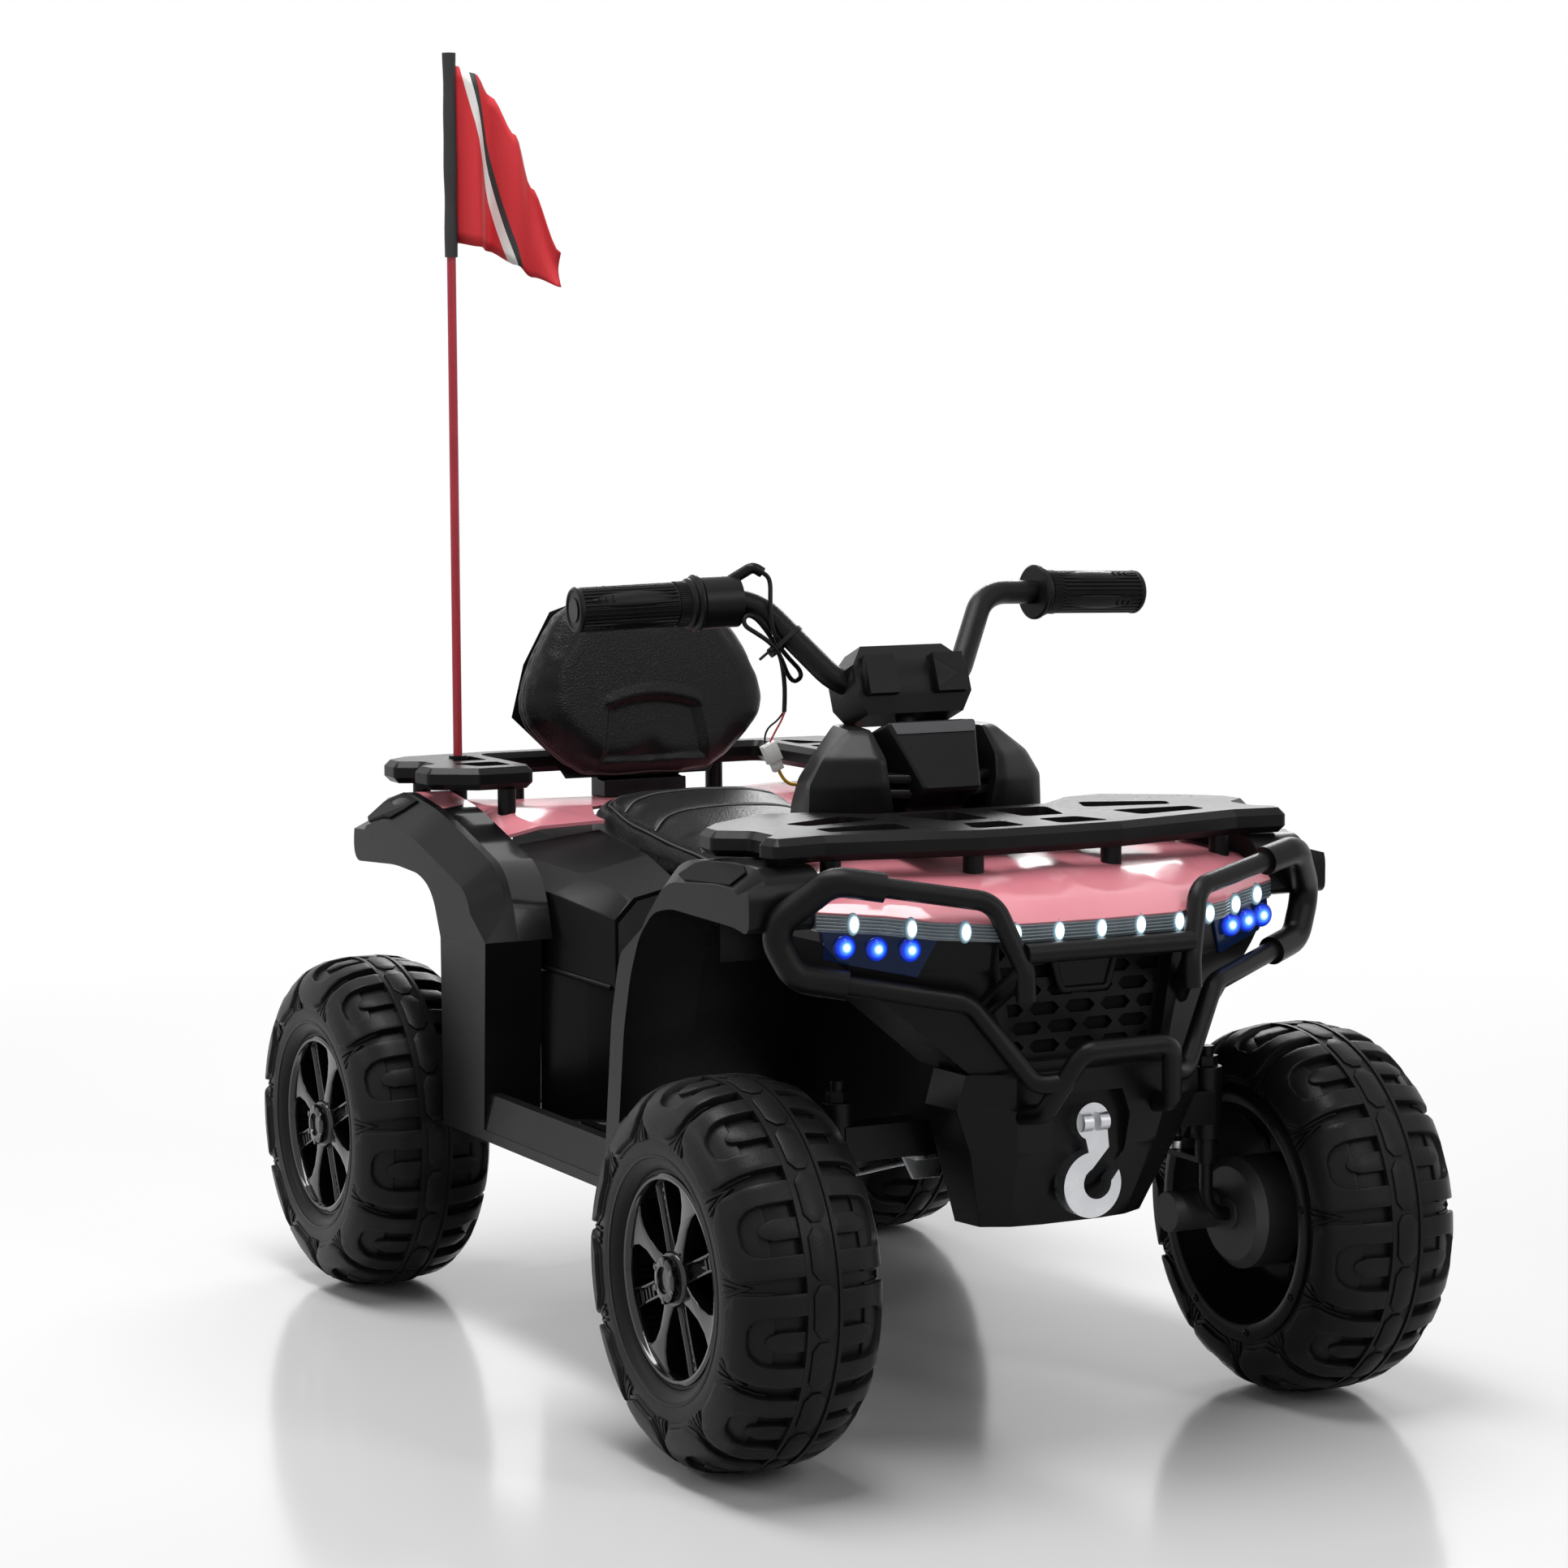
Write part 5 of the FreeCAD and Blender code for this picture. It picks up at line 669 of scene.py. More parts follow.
class QUAD_OT_cords(bpy.types.Operator):
    """Throttle cable with its tie, wires and plug, and the pigtail into the dash"""

    bl_idname = "quad.cords"
    bl_label = "Throttle cable"

    def execute(self, context):
        cable = cord_mesh("throttle_cable_line", CABLE_ROUTE, CABLE_RADIUS, "cable_rubber")
        wires = [(cord_mesh(name, route, WIRE_RADIUS, finish), route) for name, route, finish in WIRES]
        for made in [cable] + [wire for wire, route in wires]:
            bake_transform(made)
        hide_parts("throttle_cable")
        bm = solid_copy("throttle_plug")
        rounded_edges(bm, PLUG_EDGE)
        plug = piece("throttle_plug_shape", bm, "white_nylon", "throttle_plug", "throttle_plug", recalc=False)
        tail = cord_mesh("pigtail_line", PIGTAIL_ROUTE, PIGTAIL_RADIUS, "yellow_wire")
        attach(tail, "chassis")
        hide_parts("plug_pigtail")
        line = route_line(CABLE_ROUTE)
        for wire, route in wires:
            line = route_line(route)
        line = route_line(PIGTAIL_ROUTE)
        bm = solid_copy("throttle_cable")
        strap = max(islands(bm.faces), key=lambda group: min(v.co.z for f in group for v in f.verts))
        bmesh.ops.delete(bm, geom=list(set(bm.faces) - set(strap)), context="FACES")
        head = min((v.co.copy() for v in bm.verts), key=lambda place: place.y - place.x)
        add_tube(bm, [head, head + TIE_TAIL * TIE_HEAD_SHARE], TIE_HEAD_RADIUS, bend=0)
        add_tube(bm, [head, head + TIE_TAIL], TIE_TAIL_RADIUS, bend=0)
        piece("cable_tie", bm, "cable_rubber", "throttle_cable", recalc=False, body="steering")
        return {"FINISHED"}


# Wheels: profiles are (distance along the axle, radius) and tread outlines (across, share of a pitch), in millimetres

AXLE = (0, 1, 0)
CROWN_LINE = (
    (0, 157), (20, 156.3), (35, 154), (47, 149.5), (56, 142.5), (62, 133.5), (65.5, 122), (66.5, 112), (65.8, 103),
    (63.5, 96), (60, 92),
)
PITCH_RADIUS = 160.0
HORSESHOE = (
    (13, 0.43), (13, 0.235), (44, 0.235), (52, 0.215), (58, 0.16), (61, 0.08), (61, -0.08), (58, -0.16), (52, -0.215),
    (44, -0.235), (13, -0.235), (13, -0.43), (66, -0.435), (74, -0.4), (83, -0.24), (83, 0.24), (74, 0.4), (66, 0.435),
)
FOOT = ((40, 0.45), (67, 0.465), (77, 0.42), (87, 0.26), (87, -0.26), (77, -0.42), (67, -0.465), (40, -0.45))
FINGER = ((13, 0.095), (36, 0.095), (44, 0.06), (47, 0.02), (47, -0.02), (44, -0.06), (36, -0.095), (13, -0.095))
CHEVRON = ((56, 0.5), (88, 0.615), (88, 0.575), (66, 0.5), (88, 0.425), (88, 0.385))
ARROW = ((71, 0.5), (88, 0.545), (88, 0.455))
HEX_PLATE = ((-4, -0.23), (4, -0.23), (9.5, -0.15), (9.5, 0.15), (4, 0.23), (-4, 0.23), (-9.5, 0.15), (-9.5, -0.15))
RAIL = ((12.4, -0.5), (12.4, 0.5), (15.4, 0.5), (15.4, -0.5))
BAND = ((-12.6, -0.5), (-12.6, 0.5), (12.6, 0.5), (12.6, -0.5))
TREAD_ROOT, BAND_TOP, PLATE_ROOT, PLATE_TOP = -3, 6.4, 4, 8
TREAD_BLOCKS = (
    (HORSESHOE, 8, 1.3), (FOOT, 2.6, 1.3), (FINGER, 6, 1.3), (CHEVRON, 3.4, 1.3), (ARROW, 3.4, 1.3), (RAIL, 8.2, 0),
)
PLATE_EDGE = 0.8
SHOULDER, SHOULDER_RUN, SHOULDER_LOSS = 40, 50, 0.5
BEAD_LINE = ((66.2, 108), (66.2, 99), (-20, 99), (-20, 84), (-57, 84), (-57, 90.5))
BEAD_RING = ((-64.6, 100.5), (-66.4, 101.5), (-66.4, 104), (-65.2, 105))
RIM_LIP = (
    (-8, 84), (-47, 84), (-49, 81), (-55, 81), (-57.5, 82.5), (-59.5, 83.2), (-60, 85.5), (-58.6, 88), (-56, 89),
    (-8, 89), (-8, 84),
)
SPOKES = 8
PLAIN_SPOKE = ((20, 9), (34, 6.5), (52, 6.2), (66, 9.5), (74, 15), (80, 25), (83.5, 27))
GROOVED_SPOKE = ((20, 8.5), (40, 7.6), (62, 7.6), (83.5, 9))
SPOKE_BARS, BAR_LOW, BAR_PITCH, BAR_TALL, BAR_HALF = 4, 52, 7.2, 4, 5.2
BAR_BACK, BAR_THICK = -47.5, 2.5
HUB_LINE = (
    (-8, 0.1), (-8, 24), (-50, 24), (-56.5, 23.4), (-58, 22), (-58, 19.4), (-60.5, 19.4), (-63.6, 18.6), (-64.8, 16.5),
    (-64.8, 11.5), (-62, 10.8), (-61.5, 0.1),
)
CAP_NOTCHES = 6
NOTCH_AT, NOTCH_SIZE = mm(0, -62.2, 16.8), mm(5.5, 6, 6.2)
DISH_LINE = (
    (66, 113.6), (69.4, 113.6), (70, 112.6), (70, 100.5), (69, 99), (64, 97.5), (58, 95), (40, 84), (27, 72), (22, 66),
    (20.4, 60), (20.4, 50), (26, 48), (26, 40), (20.4, 38), (20.4, 7), (16.4, 7), (16.4, 62), (18, 68), (36, 86),
    (54, 97), (66, 100), (66, 113.6),
)
SCREW_LINE = ((69.5, 3.6), (71.2, 3.4), (71.8, 2.6), (71.8, 1.4), (70.8, 1.2), (70.8, 0.01))
SCREWS, SCREW_CIRCLE, SCREW_START = 8, mm(0, 0, 106.5), 0.2
DISC_RIBS, RIB_START, RIB_HALF = 6, 0.35, 3
DISC_RIB = ((20.5, 52), (26, 72), (45, 87.5), (20.5, 60))


def add_spun(bm, line, steps, centre=Vector()):
    """A profile in millimetres spun round the axle or a line beside it."""
    add_turned(bm, [(along / 1000, radius / 1000) for along, radius in line], centre, AXLE, steps)


def about_axle(share, size=3):
    """A turn about the axle by a share of the whole."""
    return Matrix.Rotation(2 * math.pi * share, size, "Y")


def crown_table():
    """Points down one half of the tyre's section with their distance from the crown and their outward direction."""
    points = [Vector((y, r, 0)) for y, r in CROWN_LINE]
    table = []
    run = 0.0
    for index, point in enumerate(points):
        before = points[max(index - 1, 0)]
        after = points[min(index + 1, len(points) - 1)]
        ahead = (after - before).normalized() if index else Vector((1, 0, 0))
        run += (point - before).length
        table.append((run, point, Vector((-ahead.y, ahead.x, 0))))
    return table


def wrap_tread(bm, table):
    """Bends flat tread blocks (distance round, distance across, height, in millimetres) onto the tyre."""
    for vert in bm.verts:
        across = abs(vert.co.y)
        side = -1 if vert.co.y < 0 else 1
        index = max(i for i, row in enumerate(table[:-1]) if row[0] <= across)
        low, high = table[index], table[index + 1]
        share = (across - low[0]) / (high[0] - low[0])
        point = low[1].lerp(high[1], share)
        out = low[2].lerp(high[2], share).normalized()
        fall = 1 - SHOULDER_LOSS * min(1, max(0, (across - SHOULDER) / SHOULDER_RUN))
        point = point + out * (vert.co.z * (fall if vert.co.z > 0 else 1))
        angle = vert.co.x / PITCH_RADIUS
        vert.co = mm(point.y * math.sin(angle), side * point.x, point.y * math.cos(angle))


def add_block(bm, outline, pitch, side, low, high, edge, shift=0.0):
    """An upright tread block with its upper edges rounded."""
    points = [Vector(((shift + along) * pitch, side * across, low)) for across, along in outline]
    add_prism(bm, points, Vector((0, 0, high - low)), edge, far_only=True)


def tread_pitch(pitch):
    """One pitch of the tread, flat: blocks on both sides and the centre band."""
    bm = bmesh.new()
    for side in (1, -1):
        for outline, height, edge in TREAD_BLOCKS:
            add_block(bm, outline, pitch, side, TREAD_ROOT, height, edge)
    add_block(bm, BAND, pitch, 1, TREAD_ROOT, BAND_TOP, 0)
    for centre in (-0.25, 0.25):
        add_block(bm, HEX_PLATE, pitch, 1, PLATE_ROOT, PLATE_TOP, PLATE_EDGE, centre)
    for step in range(-6, 7):
        cut_flat(bm, Vector((pitch * step / 8, 0, 0)), Vector((1, 0, 0)))
    for row in crown_table()[1:-1]:
        for side in (1, -1):
            for inward in (0, 6):
                cut_flat(bm, Vector((0, side * (row[0] - inward), 0)), Vector((0, 1, 0)))
    return bm


def tyre_mesh(count):
    """Tyre about the origin with its outer face towards -Y."""
    bm = tread_pitch(2 * math.pi * PITCH_RADIUS / count)
    wrap_tread(bm, crown_table())
    one = everything(bm)
    for index in range(1, count):
        copy = bmesh.ops.duplicate(bm, geom=one)["geom"]
        bmesh.ops.rotate(bm, verts=only(copy, bmesh.types.BMVert), cent=(0, 0, 0), matrix=about_axle(index / count))
    outer = [(-y, r) for y, r in reversed(CROWN_LINE)]
    add_spun(bm, [*outer, *CROWN_LINE[1:8], *BEAD_LINE, outer[0]], 88)
    add_spun(bm, BEAD_RING, 88)
    return bm


def spoke_blank(rows, back, thick):
    """A spoke from half widths at radii, pushed outwards from its back, in millimetres."""
    bm = bmesh.new()
    outline = [mm(w, back, r) for r, w in rows] + [mm(-w, back, r) for r, w in reversed(rows)]
    add_prism(bm, outline, mm(0, -thick, 0))
    return bm


def plain_spoke():
    """Spoke that widens towards the lip."""
    bm = spoke_blank(PLAIN_SPOKE, back=-40, thick=15.5)
    rounded_edges(bm, 0.0014, segments=3)
    return bm


def grooved_spoke():
    """Narrow spoke with a groove along it and short bars in the groove."""
    bm = spoke_blank(GROOVED_SPOKE, back=-38, thick=14.5)
    top = min(bm.faces, key=lambda f: f.calc_center_median().y)
    bmesh.ops.inset_individual(bm, faces=[top], thickness=0.0024, depth=0)
    bmesh.ops.inset_individual(bm, faces=[top], thickness=0.0008, depth=-0.0045)
    rounded_edges(bm, 0.0007)
    for step in range(SPOKE_BARS):
        low = BAR_LOW + step * BAR_PITCH
        high = low + BAR_TALL
        corners = ((-BAR_HALF, low), (BAR_HALF, low), (BAR_HALF, high), (-BAR_HALF, high))
        add_prism(bm, [mm(x, BAR_BACK, z) for x, z in corners], mm(0, -BAR_THICK, 0), width=0.0007)
    return bm


def rim_mesh():
    """Rim about the origin with its face towards -Y: stepped lip, plain and grooved spokes, hub with a notched cap."""
    bm = bmesh.new()
    add_spun(bm, RIM_LIP, 96)
    for index in range(SPOKES):
        spoke = grooved_spoke() if index % 2 else plain_spoke()
        bmesh.ops.rotate(spoke, verts=spoke.verts, cent=(0, 0, 0), matrix=about_axle((index + 0.5) / SPOKES))
        add_mesh(bm, as_mesh("spoke", spoke))
    add_spun(bm, HUB_LINE, 64)
    for index in range(CAP_NOTCHES):
        notch = bmesh.new()
        bmesh.ops.create_cube(notch, size=1, matrix=Matrix.Diagonal((*NOTCH_SIZE, 1)))
        rounded_edges(notch, 0.0009)
        place = about_axle(index / CAP_NOTCHES, 4) @ Matrix.Translation(NOTCH_AT)
        bmesh.ops.transform(notch, matrix=place, verts=notch.verts)
        add_mesh(bm, as_mesh("notch", notch))
    return bm


def disc_mesh():
    """Inner wheel disc about the origin, its open side towards +Y: flat ring with screws, ribbed dish, gear mount."""
    bm = bmesh.new()
    add_spun(bm, DISH_LINE, 96)
    for index in range(SCREWS):
        turn = about_axle(index / SCREWS) @ Matrix.Rotation(SCREW_START, 3, "Y")
        add_spun(bm, SCREW_LINE, 12, turn @ SCREW_CIRCLE)
    for index in range(DISC_RIBS):
        turn = about_axle(index / DISC_RIBS) @ Matrix.Rotation(RIB_START, 3, "Y")
        add_prism(bm, [turn @ mm(-RIB_HALF, y, z) for y, z in DISC_RIB], turn @ mm(2 * RIB_HALF, 0, 0))
    return bm


class QUAD_OT_wheels(bpy.types.Operator):
    """Tyres, rims and inner discs"""

    bl_idname = "quad.wheels"
    bl_label = "Wheels"

    def execute(self, context):
        for part, bm, finish in (
            ("tyre", tyre_mesh(context.scene.quad_sizes.lugs), "tyre_black"), ("rim", rim_mesh(), "gloss_black"),
            ("wheel_disc", disc_mesh(), "satin_black"),
        ):
            bmesh.ops.recalc_face_normals(bm, faces=bm.faces)
            for wheel in WHEELS:
                node = wheel + "_" + part
                turn = Matrix.Rotation(math.pi if wheel.endswith("left") else 0, 4, "Z")
                copy = bm.copy()
                place = Matrix.Translation(JOINT_AT[wheel + "_roll"]) @ turn
                bmesh.ops.transform(copy, matrix=place, verts=copy.verts)
                piece(node + "_shape", copy, finish, node, node, recalc=False)
            bm.free()
        return {"FINISHED"}


# Padded pieces and cloth

BACKREST_SIDE = (
    (0.0, 0.992), (0.16, 0.993), (0.26, 1.0), (0.34, 1.028), (0.42, 1.072), (0.478, 1.112), (0.495, 1.15),
    (0.478, 1.2), (0.436, 1.254), (0.382, 1.304), (0.332, 1.342), (0.266, 1.366), (0.15, 1.377), (0.0, 1.38),
)
BACKREST_FOOT = at(0.035, 0, 0.995)
BACKREST_MIDDLE = at(0, 0, 1.187)
BACKREST_DEPTHS = ((0, 9), (4, 5), (10, 3), (15, 5), (20, 3), (30, 6), (38, 13), (43, 26))
BACKREST_LEAN = (Matrix.Translation(BACKREST_FOOT) @ Matrix.Rotation(math.radians(-8), 4, "Y")
                 @ Matrix.Translation(-BACKREST_FOOT))
BACKREST_WELTS = ((11.5, 1.0), (18.5, 1.0))
SEAM_AT, SEAM_HALF, SEAM_SUNK = 0.015, 0.004, 0.0026
PANEL_FRONT = 0.026
PANEL_LOW, PANEL_HIGH, PANEL_ARCH = 0.512, 0.58, 0.01
PANEL_HALF, PANEL_TAPER = 0.062, 0.011
PANEL_SUNK, PANEL_LIP = 0.0065, 0.002
PANEL_SIDE_RUN, PANEL_TOP_RUN, PANEL_FOOT_RUN = 0.008, 0.006, 0.01
CUSHION_VOXEL, CUSHION_CAP, CUSHION_PRESSURE, CUSHION_STEPS = 0.005, 0.005, 4, 20
SEAT_ROWS = (
    (0.128, 0.29, 0.972, 0.86), (0.142, 0.36, 0.99, 0.85), (0.2, 0.39, 0.998, 0.85), (0.3, 0.385, 0.972, 0.84),
    (0.4, 0.34, 0.94, 0.83), (0.48, 0.29, 0.919, 0.81), (0.512, 0.25, 0.9, 0.81),
)
SEAT_SECTION = ((0, 1), (0.5, 0.985), (0.8, 0.92), (0.93, 0.78), (1, 0.5), (0.97, 0.2), (0.9, 0))
SEAT_EDGE = (
    (0.153, 0.0), (0.153, 0.16), (0.158, 0.24), (0.172, 0.295), (0.2, 0.322), (0.25, 0.327), (0.3, 0.322),
    (0.35, 0.303), (0.4, 0.282), (0.45, 0.255), (0.478, 0.225), (0.49, 0.17), (0.493, 0.0),
)
SEAT_ARCS = ((0.238, 0.36), (0.318, 0.352), (0.418, 0.3))
FLAG_ROWS = (
    (0.0, 0.0, 0.94, 0.07), (0.18, 0.1, 0.9, 0.05), (0.36, -0.12, 0.79, 0.03), (0.56, 0.06, 0.6, -0.04),
    (0.76, -0.08, 0.34, -0.1), (1.0, 0.0, 0.02, -0.15),
)
SEAT_INSET, SEAT_ARC_SAG, SEAT_ABOVE, SEAT_TOPWARD = 0.004, 0.034, 0.6, 0.2
GROOVE_HALF, GROOVE_SUNK = 0.006, 0.0022
WELT_RADIUS, PIPING_RADIUS, PIPING_SUNK = 0.0016, 0.0012, 0.0006
HINGE_LINE = (
    (-0.05, 0.0001), (-0.05, 0.0036), (-0.0496, 0.004), (0.0496, 0.004), (0.05, 0.0036), (0.05, 0.0001),
)
HINGE_LEAF_WIDE, HINGE_LEAF_THICK = 0.067, 0.007
FLAG_POLE = at(0.0225, -0.69, 0)
FLAG_LOW, FLAG_TALL, FLAG_SPAN = 1.026, 0.2, 0.092
FLAG_STEPS, FLAG_RISES, SLEEVE_STEPS = 28, 14, 20
FLAG_START, FLAG_WALL = 0.0055, 0.0006
SLEEVE_RADIUS, SLEEVE_END, SLEEVE_FOLD = 0.0064, 0.0047, 0.0005


def add_loft(bm, loops):
    """A closed skin over loops of equal length."""
    rings = []
    for loop in loops:
        verts = [bm.verts.new(p) for p in loop]
        rings.append([bm.edges.new(pair) for pair in zip(verts, verts[1:] + verts[:1])])
    for first, second in zip(rings, rings[1:]):
        bmesh.ops.bridge_loops(bm, edges=first + second)
    for ring in (rings[0], rings[-1]):
        bmesh.ops.edgeloop_fill(bm, edges=ring)
    bmesh.ops.recalc_face_normals(bm, faces=bm.faces)


def both_sides(half):
    """A closed outline from its right half."""
    return list(half) + [flipped(p) for p in reversed(half) if abs(p[1]) > 1e-6]


def inflated(bm):
    """The skin of a filled cushion: blown up by a short cloth run in which no point moves further than a cap."""
    scene = bpy.context.scene
    mesh = as_mesh("cushion", bm)
    holder = in_scene("cushion", mesh)
    remesh = holder.modifiers.new("remesh", "REMESH")
    remesh.mode = "VOXEL"
    remesh.voxel_size = CUSHION_VOXEL
    skin = bpy.data.meshes.new_from_object(holder.evaluated_get(bpy.context.evaluated_depsgraph_get()))
    holder.modifiers.clear()
    holder.data = skin
    bpy.data.meshes.remove(mesh)
    cloth = holder.modifiers.new("filling", "CLOTH")
    cloth.settings.use_pressure = True
    cloth.settings.uniform_pressure_force = CUSHION_PRESSURE
    cloth.settings.effector_weights.gravity = 0
    for step in range(CUSHION_STEPS):
        scene.frame_set(step + 1)
    blown = holder.evaluated_get(bpy.context.evaluated_depsgraph_get()).data
    places = [v.co.copy() for v in blown.vertices]
    scene.frame_set(1)
    for vert, place in zip(skin.vertices, places):
        move = place - vert.co
        vert.co += move * min(1, CUSHION_CAP / max(move.length, 1e-9))
    bpy.data.objects.remove(holder)
    bm = bmesh.new()
    add_mesh(bm, skin)
    for _ in range(3):
        bmesh.ops.smooth_vert(bm, verts=bm.verts, factor=0.5, use_axis_x=True, use_axis_y=True, use_axis_z=True)
    bmesh.ops.subdivide_edges(bm, edges=bm.edges, cuts=1, use_grid_fill=True, smooth=0.6)
    return bm


def ease(value):
    """A soft step from 0 to 1."""
    value = min(1, max(0, value))
    return value * value * (3 - 2 * value)


def add_welt(bm, points, radius, closed):
    """A piping cord through points."""
    curve, spline = new_curve("BEZIER", len(points), radius, sides=2, steps=3)
    for knot, place in zip(spline.bezier_points, points):
        knot.co = place
        knot.handle_left_type = knot.handle_right_type = "AUTO"
    spline.use_cyclic_u = closed
    add_mesh(bm, curve_mesh(curve))


def backrest_loop(depth, inset):
    """Outline of the backrest at a depth from its back, drawn in by an inset, before it leans."""
    points = []
    for point in both_sides([at(0, -across, up) for across, up in BACKREST_SIDE]):
        arm = point - BACKREST_MIDDLE
        point = BACKREST_MIDDLE + arm * (1 - inset / 1000 / arm.length)
        points.append(Vector((BACKREST_FOOT.x + depth / 1000, point.y, point.z)))
    return points


def backrest_pad():
    """Backrest cushion with a seam round its side and a sunk panel low on its face."""
    bm = bmesh.new()
    add_loft(bm, [backrest_loop(*row) for row in BACKREST_DEPTHS])
    bm = inflated(bm)
    for vert in bm.verts:
        depth = vert.co.x - BACKREST_FOOT.x
        inward = Vector((0, BACKREST_MIDDLE.y - vert.co.y, BACKREST_MIDDLE.z - vert.co.z)).normalized()
        vert.co += inward * SEAM_SUNK * ease(1 - abs(depth - SEAM_AT) / SEAM_HALF)
        if depth > PANEL_FRONT:
            half = PANEL_HALF - PANEL_TAPER * (vert.co.z - PANEL_LOW) / (PANEL_HIGH - PANEL_LOW)
            side = (half - abs(vert.co.y)) / PANEL_SIDE_RUN
            above = (PANEL_HIGH - PANEL_ARCH * (vert.co.y / half) ** 2 - vert.co.z) / PANEL_TOP_RUN
            below = (vert.co.z - PANEL_LOW) / PANEL_FOOT_RUN
            lip = ease(1 - abs(above + 0.7) / 1.4) * ease(side + 0.6)
            vert.co.x += PANEL_LIP * lip - PANEL_SUNK * ease(min(side, above, below))
    bmesh.ops.transform(bm, matrix=BACKREST_LEAN, verts=bm.verts)
    return bm


def seat_loops(inset):
    """Cross sections of the seat, drawn in by an inset in metres."""
    loops = []
    for along, half, top, low in SEAT_ROWS:
        half -= inset / HALF_TRACK
        top -= inset / BODY_HEIGHT
        loops.append(both_sides([at(along, -half * across, low + up * (top - low)) for across, up in SEAT_SECTION]))
    return loops


def seat_lines():
    """Sewn lines of the seat from above: the edge line and the arcs across."""
    edge = [at(along, -across, 0) for along, across in SEAT_EDGE]
    lines = [(edge + [flipped(p) for p in reversed(edge[1:-1])], True)]
    for along, half in SEAT_ARCS:
        steps = [index / 8 for index in range(-8, 9)]
        lines.append(([at(along - SEAT_ARC_SAG * (1 - s * s), half * s, 0) for s in steps], False))
    return lines


def line_distance(place, line):
    """Distance of a place from the nearest run of a line that it lies beside."""
    near = 1.0
    for first, last in zip(line, line[1:]):
        foot, share = geometry.intersect_point_line(place, first, last)
        if 0 <= share <= 1:
            near = min(near, (place - foot).length)
    return near


def seat_pad():
    """Seat cushion with grooves along its sewn lines, and the points of those lines on its top."""
    bm = bmesh.new()
    add_loft(bm, seat_loops(SEAT_INSET))
    bm = inflated(bm)
    tree = BVHTree.FromBMesh(bm)
    lines = []
    for points, closed in seat_lines():
        hits = [tree.ray_cast(Vector((p.x, p.y, SEAT_ABOVE)), Vector((0, 0, -1)))[0] for p in points]
        lines.append(([hit for hit in hits if hit], closed))
    for points, closed in lines:
        ring = points + points[:1] if closed else points
        for vert in bm.verts:
            if vert.normal.z > SEAT_TOPWARD:
                vert.co -= vert.normal * GROOVE_SUNK * ease(1 - line_distance(vert.co, ring) / GROOVE_HALF)
    return bm, lines


def flag_row(share):
    """Points up the pennant at a share of its span."""
    place = max(i for i in range(len(FLAG_ROWS) - 1) if FLAG_ROWS[i][0] <= share)
    first, second = FLAG_ROWS[place], FLAG_ROWS[place + 1]
    part = ease((share - first[0]) / (second[0] - first[0]))
    wave, top, bottom = [first[i] + (second[i] - first[i]) * part for i in (1, 2, 3)]
    row = []
    for step in range(FLAG_RISES + 1):
        up = step / FLAG_RISES
        fold = wave * (0.45 + 0.75 * (1 - up)) + 0.05 * math.sin(9 * share + 4 * up) * share
        row.append(Vector((
            FLAG_POLE.x + fold * FLAG_SPAN + share * FLAG_SPAN / 2, FLAG_POLE.y + FLAG_START + share * FLAG_SPAN,
            FLAG_LOW + (bottom + (top - bottom) * up) * FLAG_TALL)))
    return row


def flag_sheet():
    """Hanging pennant as a grid with its folds and a flat UV map."""
    bm = bmesh.new()
    verts = bmesh.ops.create_grid(bm, x_segments=FLAG_RISES, y_segments=FLAG_STEPS, size=1)["verts"]
    places = [place for index in range(FLAG_STEPS + 1) for place in flag_row(index / FLAG_STEPS)]
    for vert, place in zip(verts, places):
        vert.co = place
    chart = bm.loops.layers.uv.new("cloth")
    bm.verts.index_update()
    for face in bm.faces:
        for loop in face.loops:
            across, up = divmod(loop.vert.index, FLAG_RISES + 1)
            loop[chart].uv = (across / FLAG_STEPS, up / FLAG_RISES)
    return bm


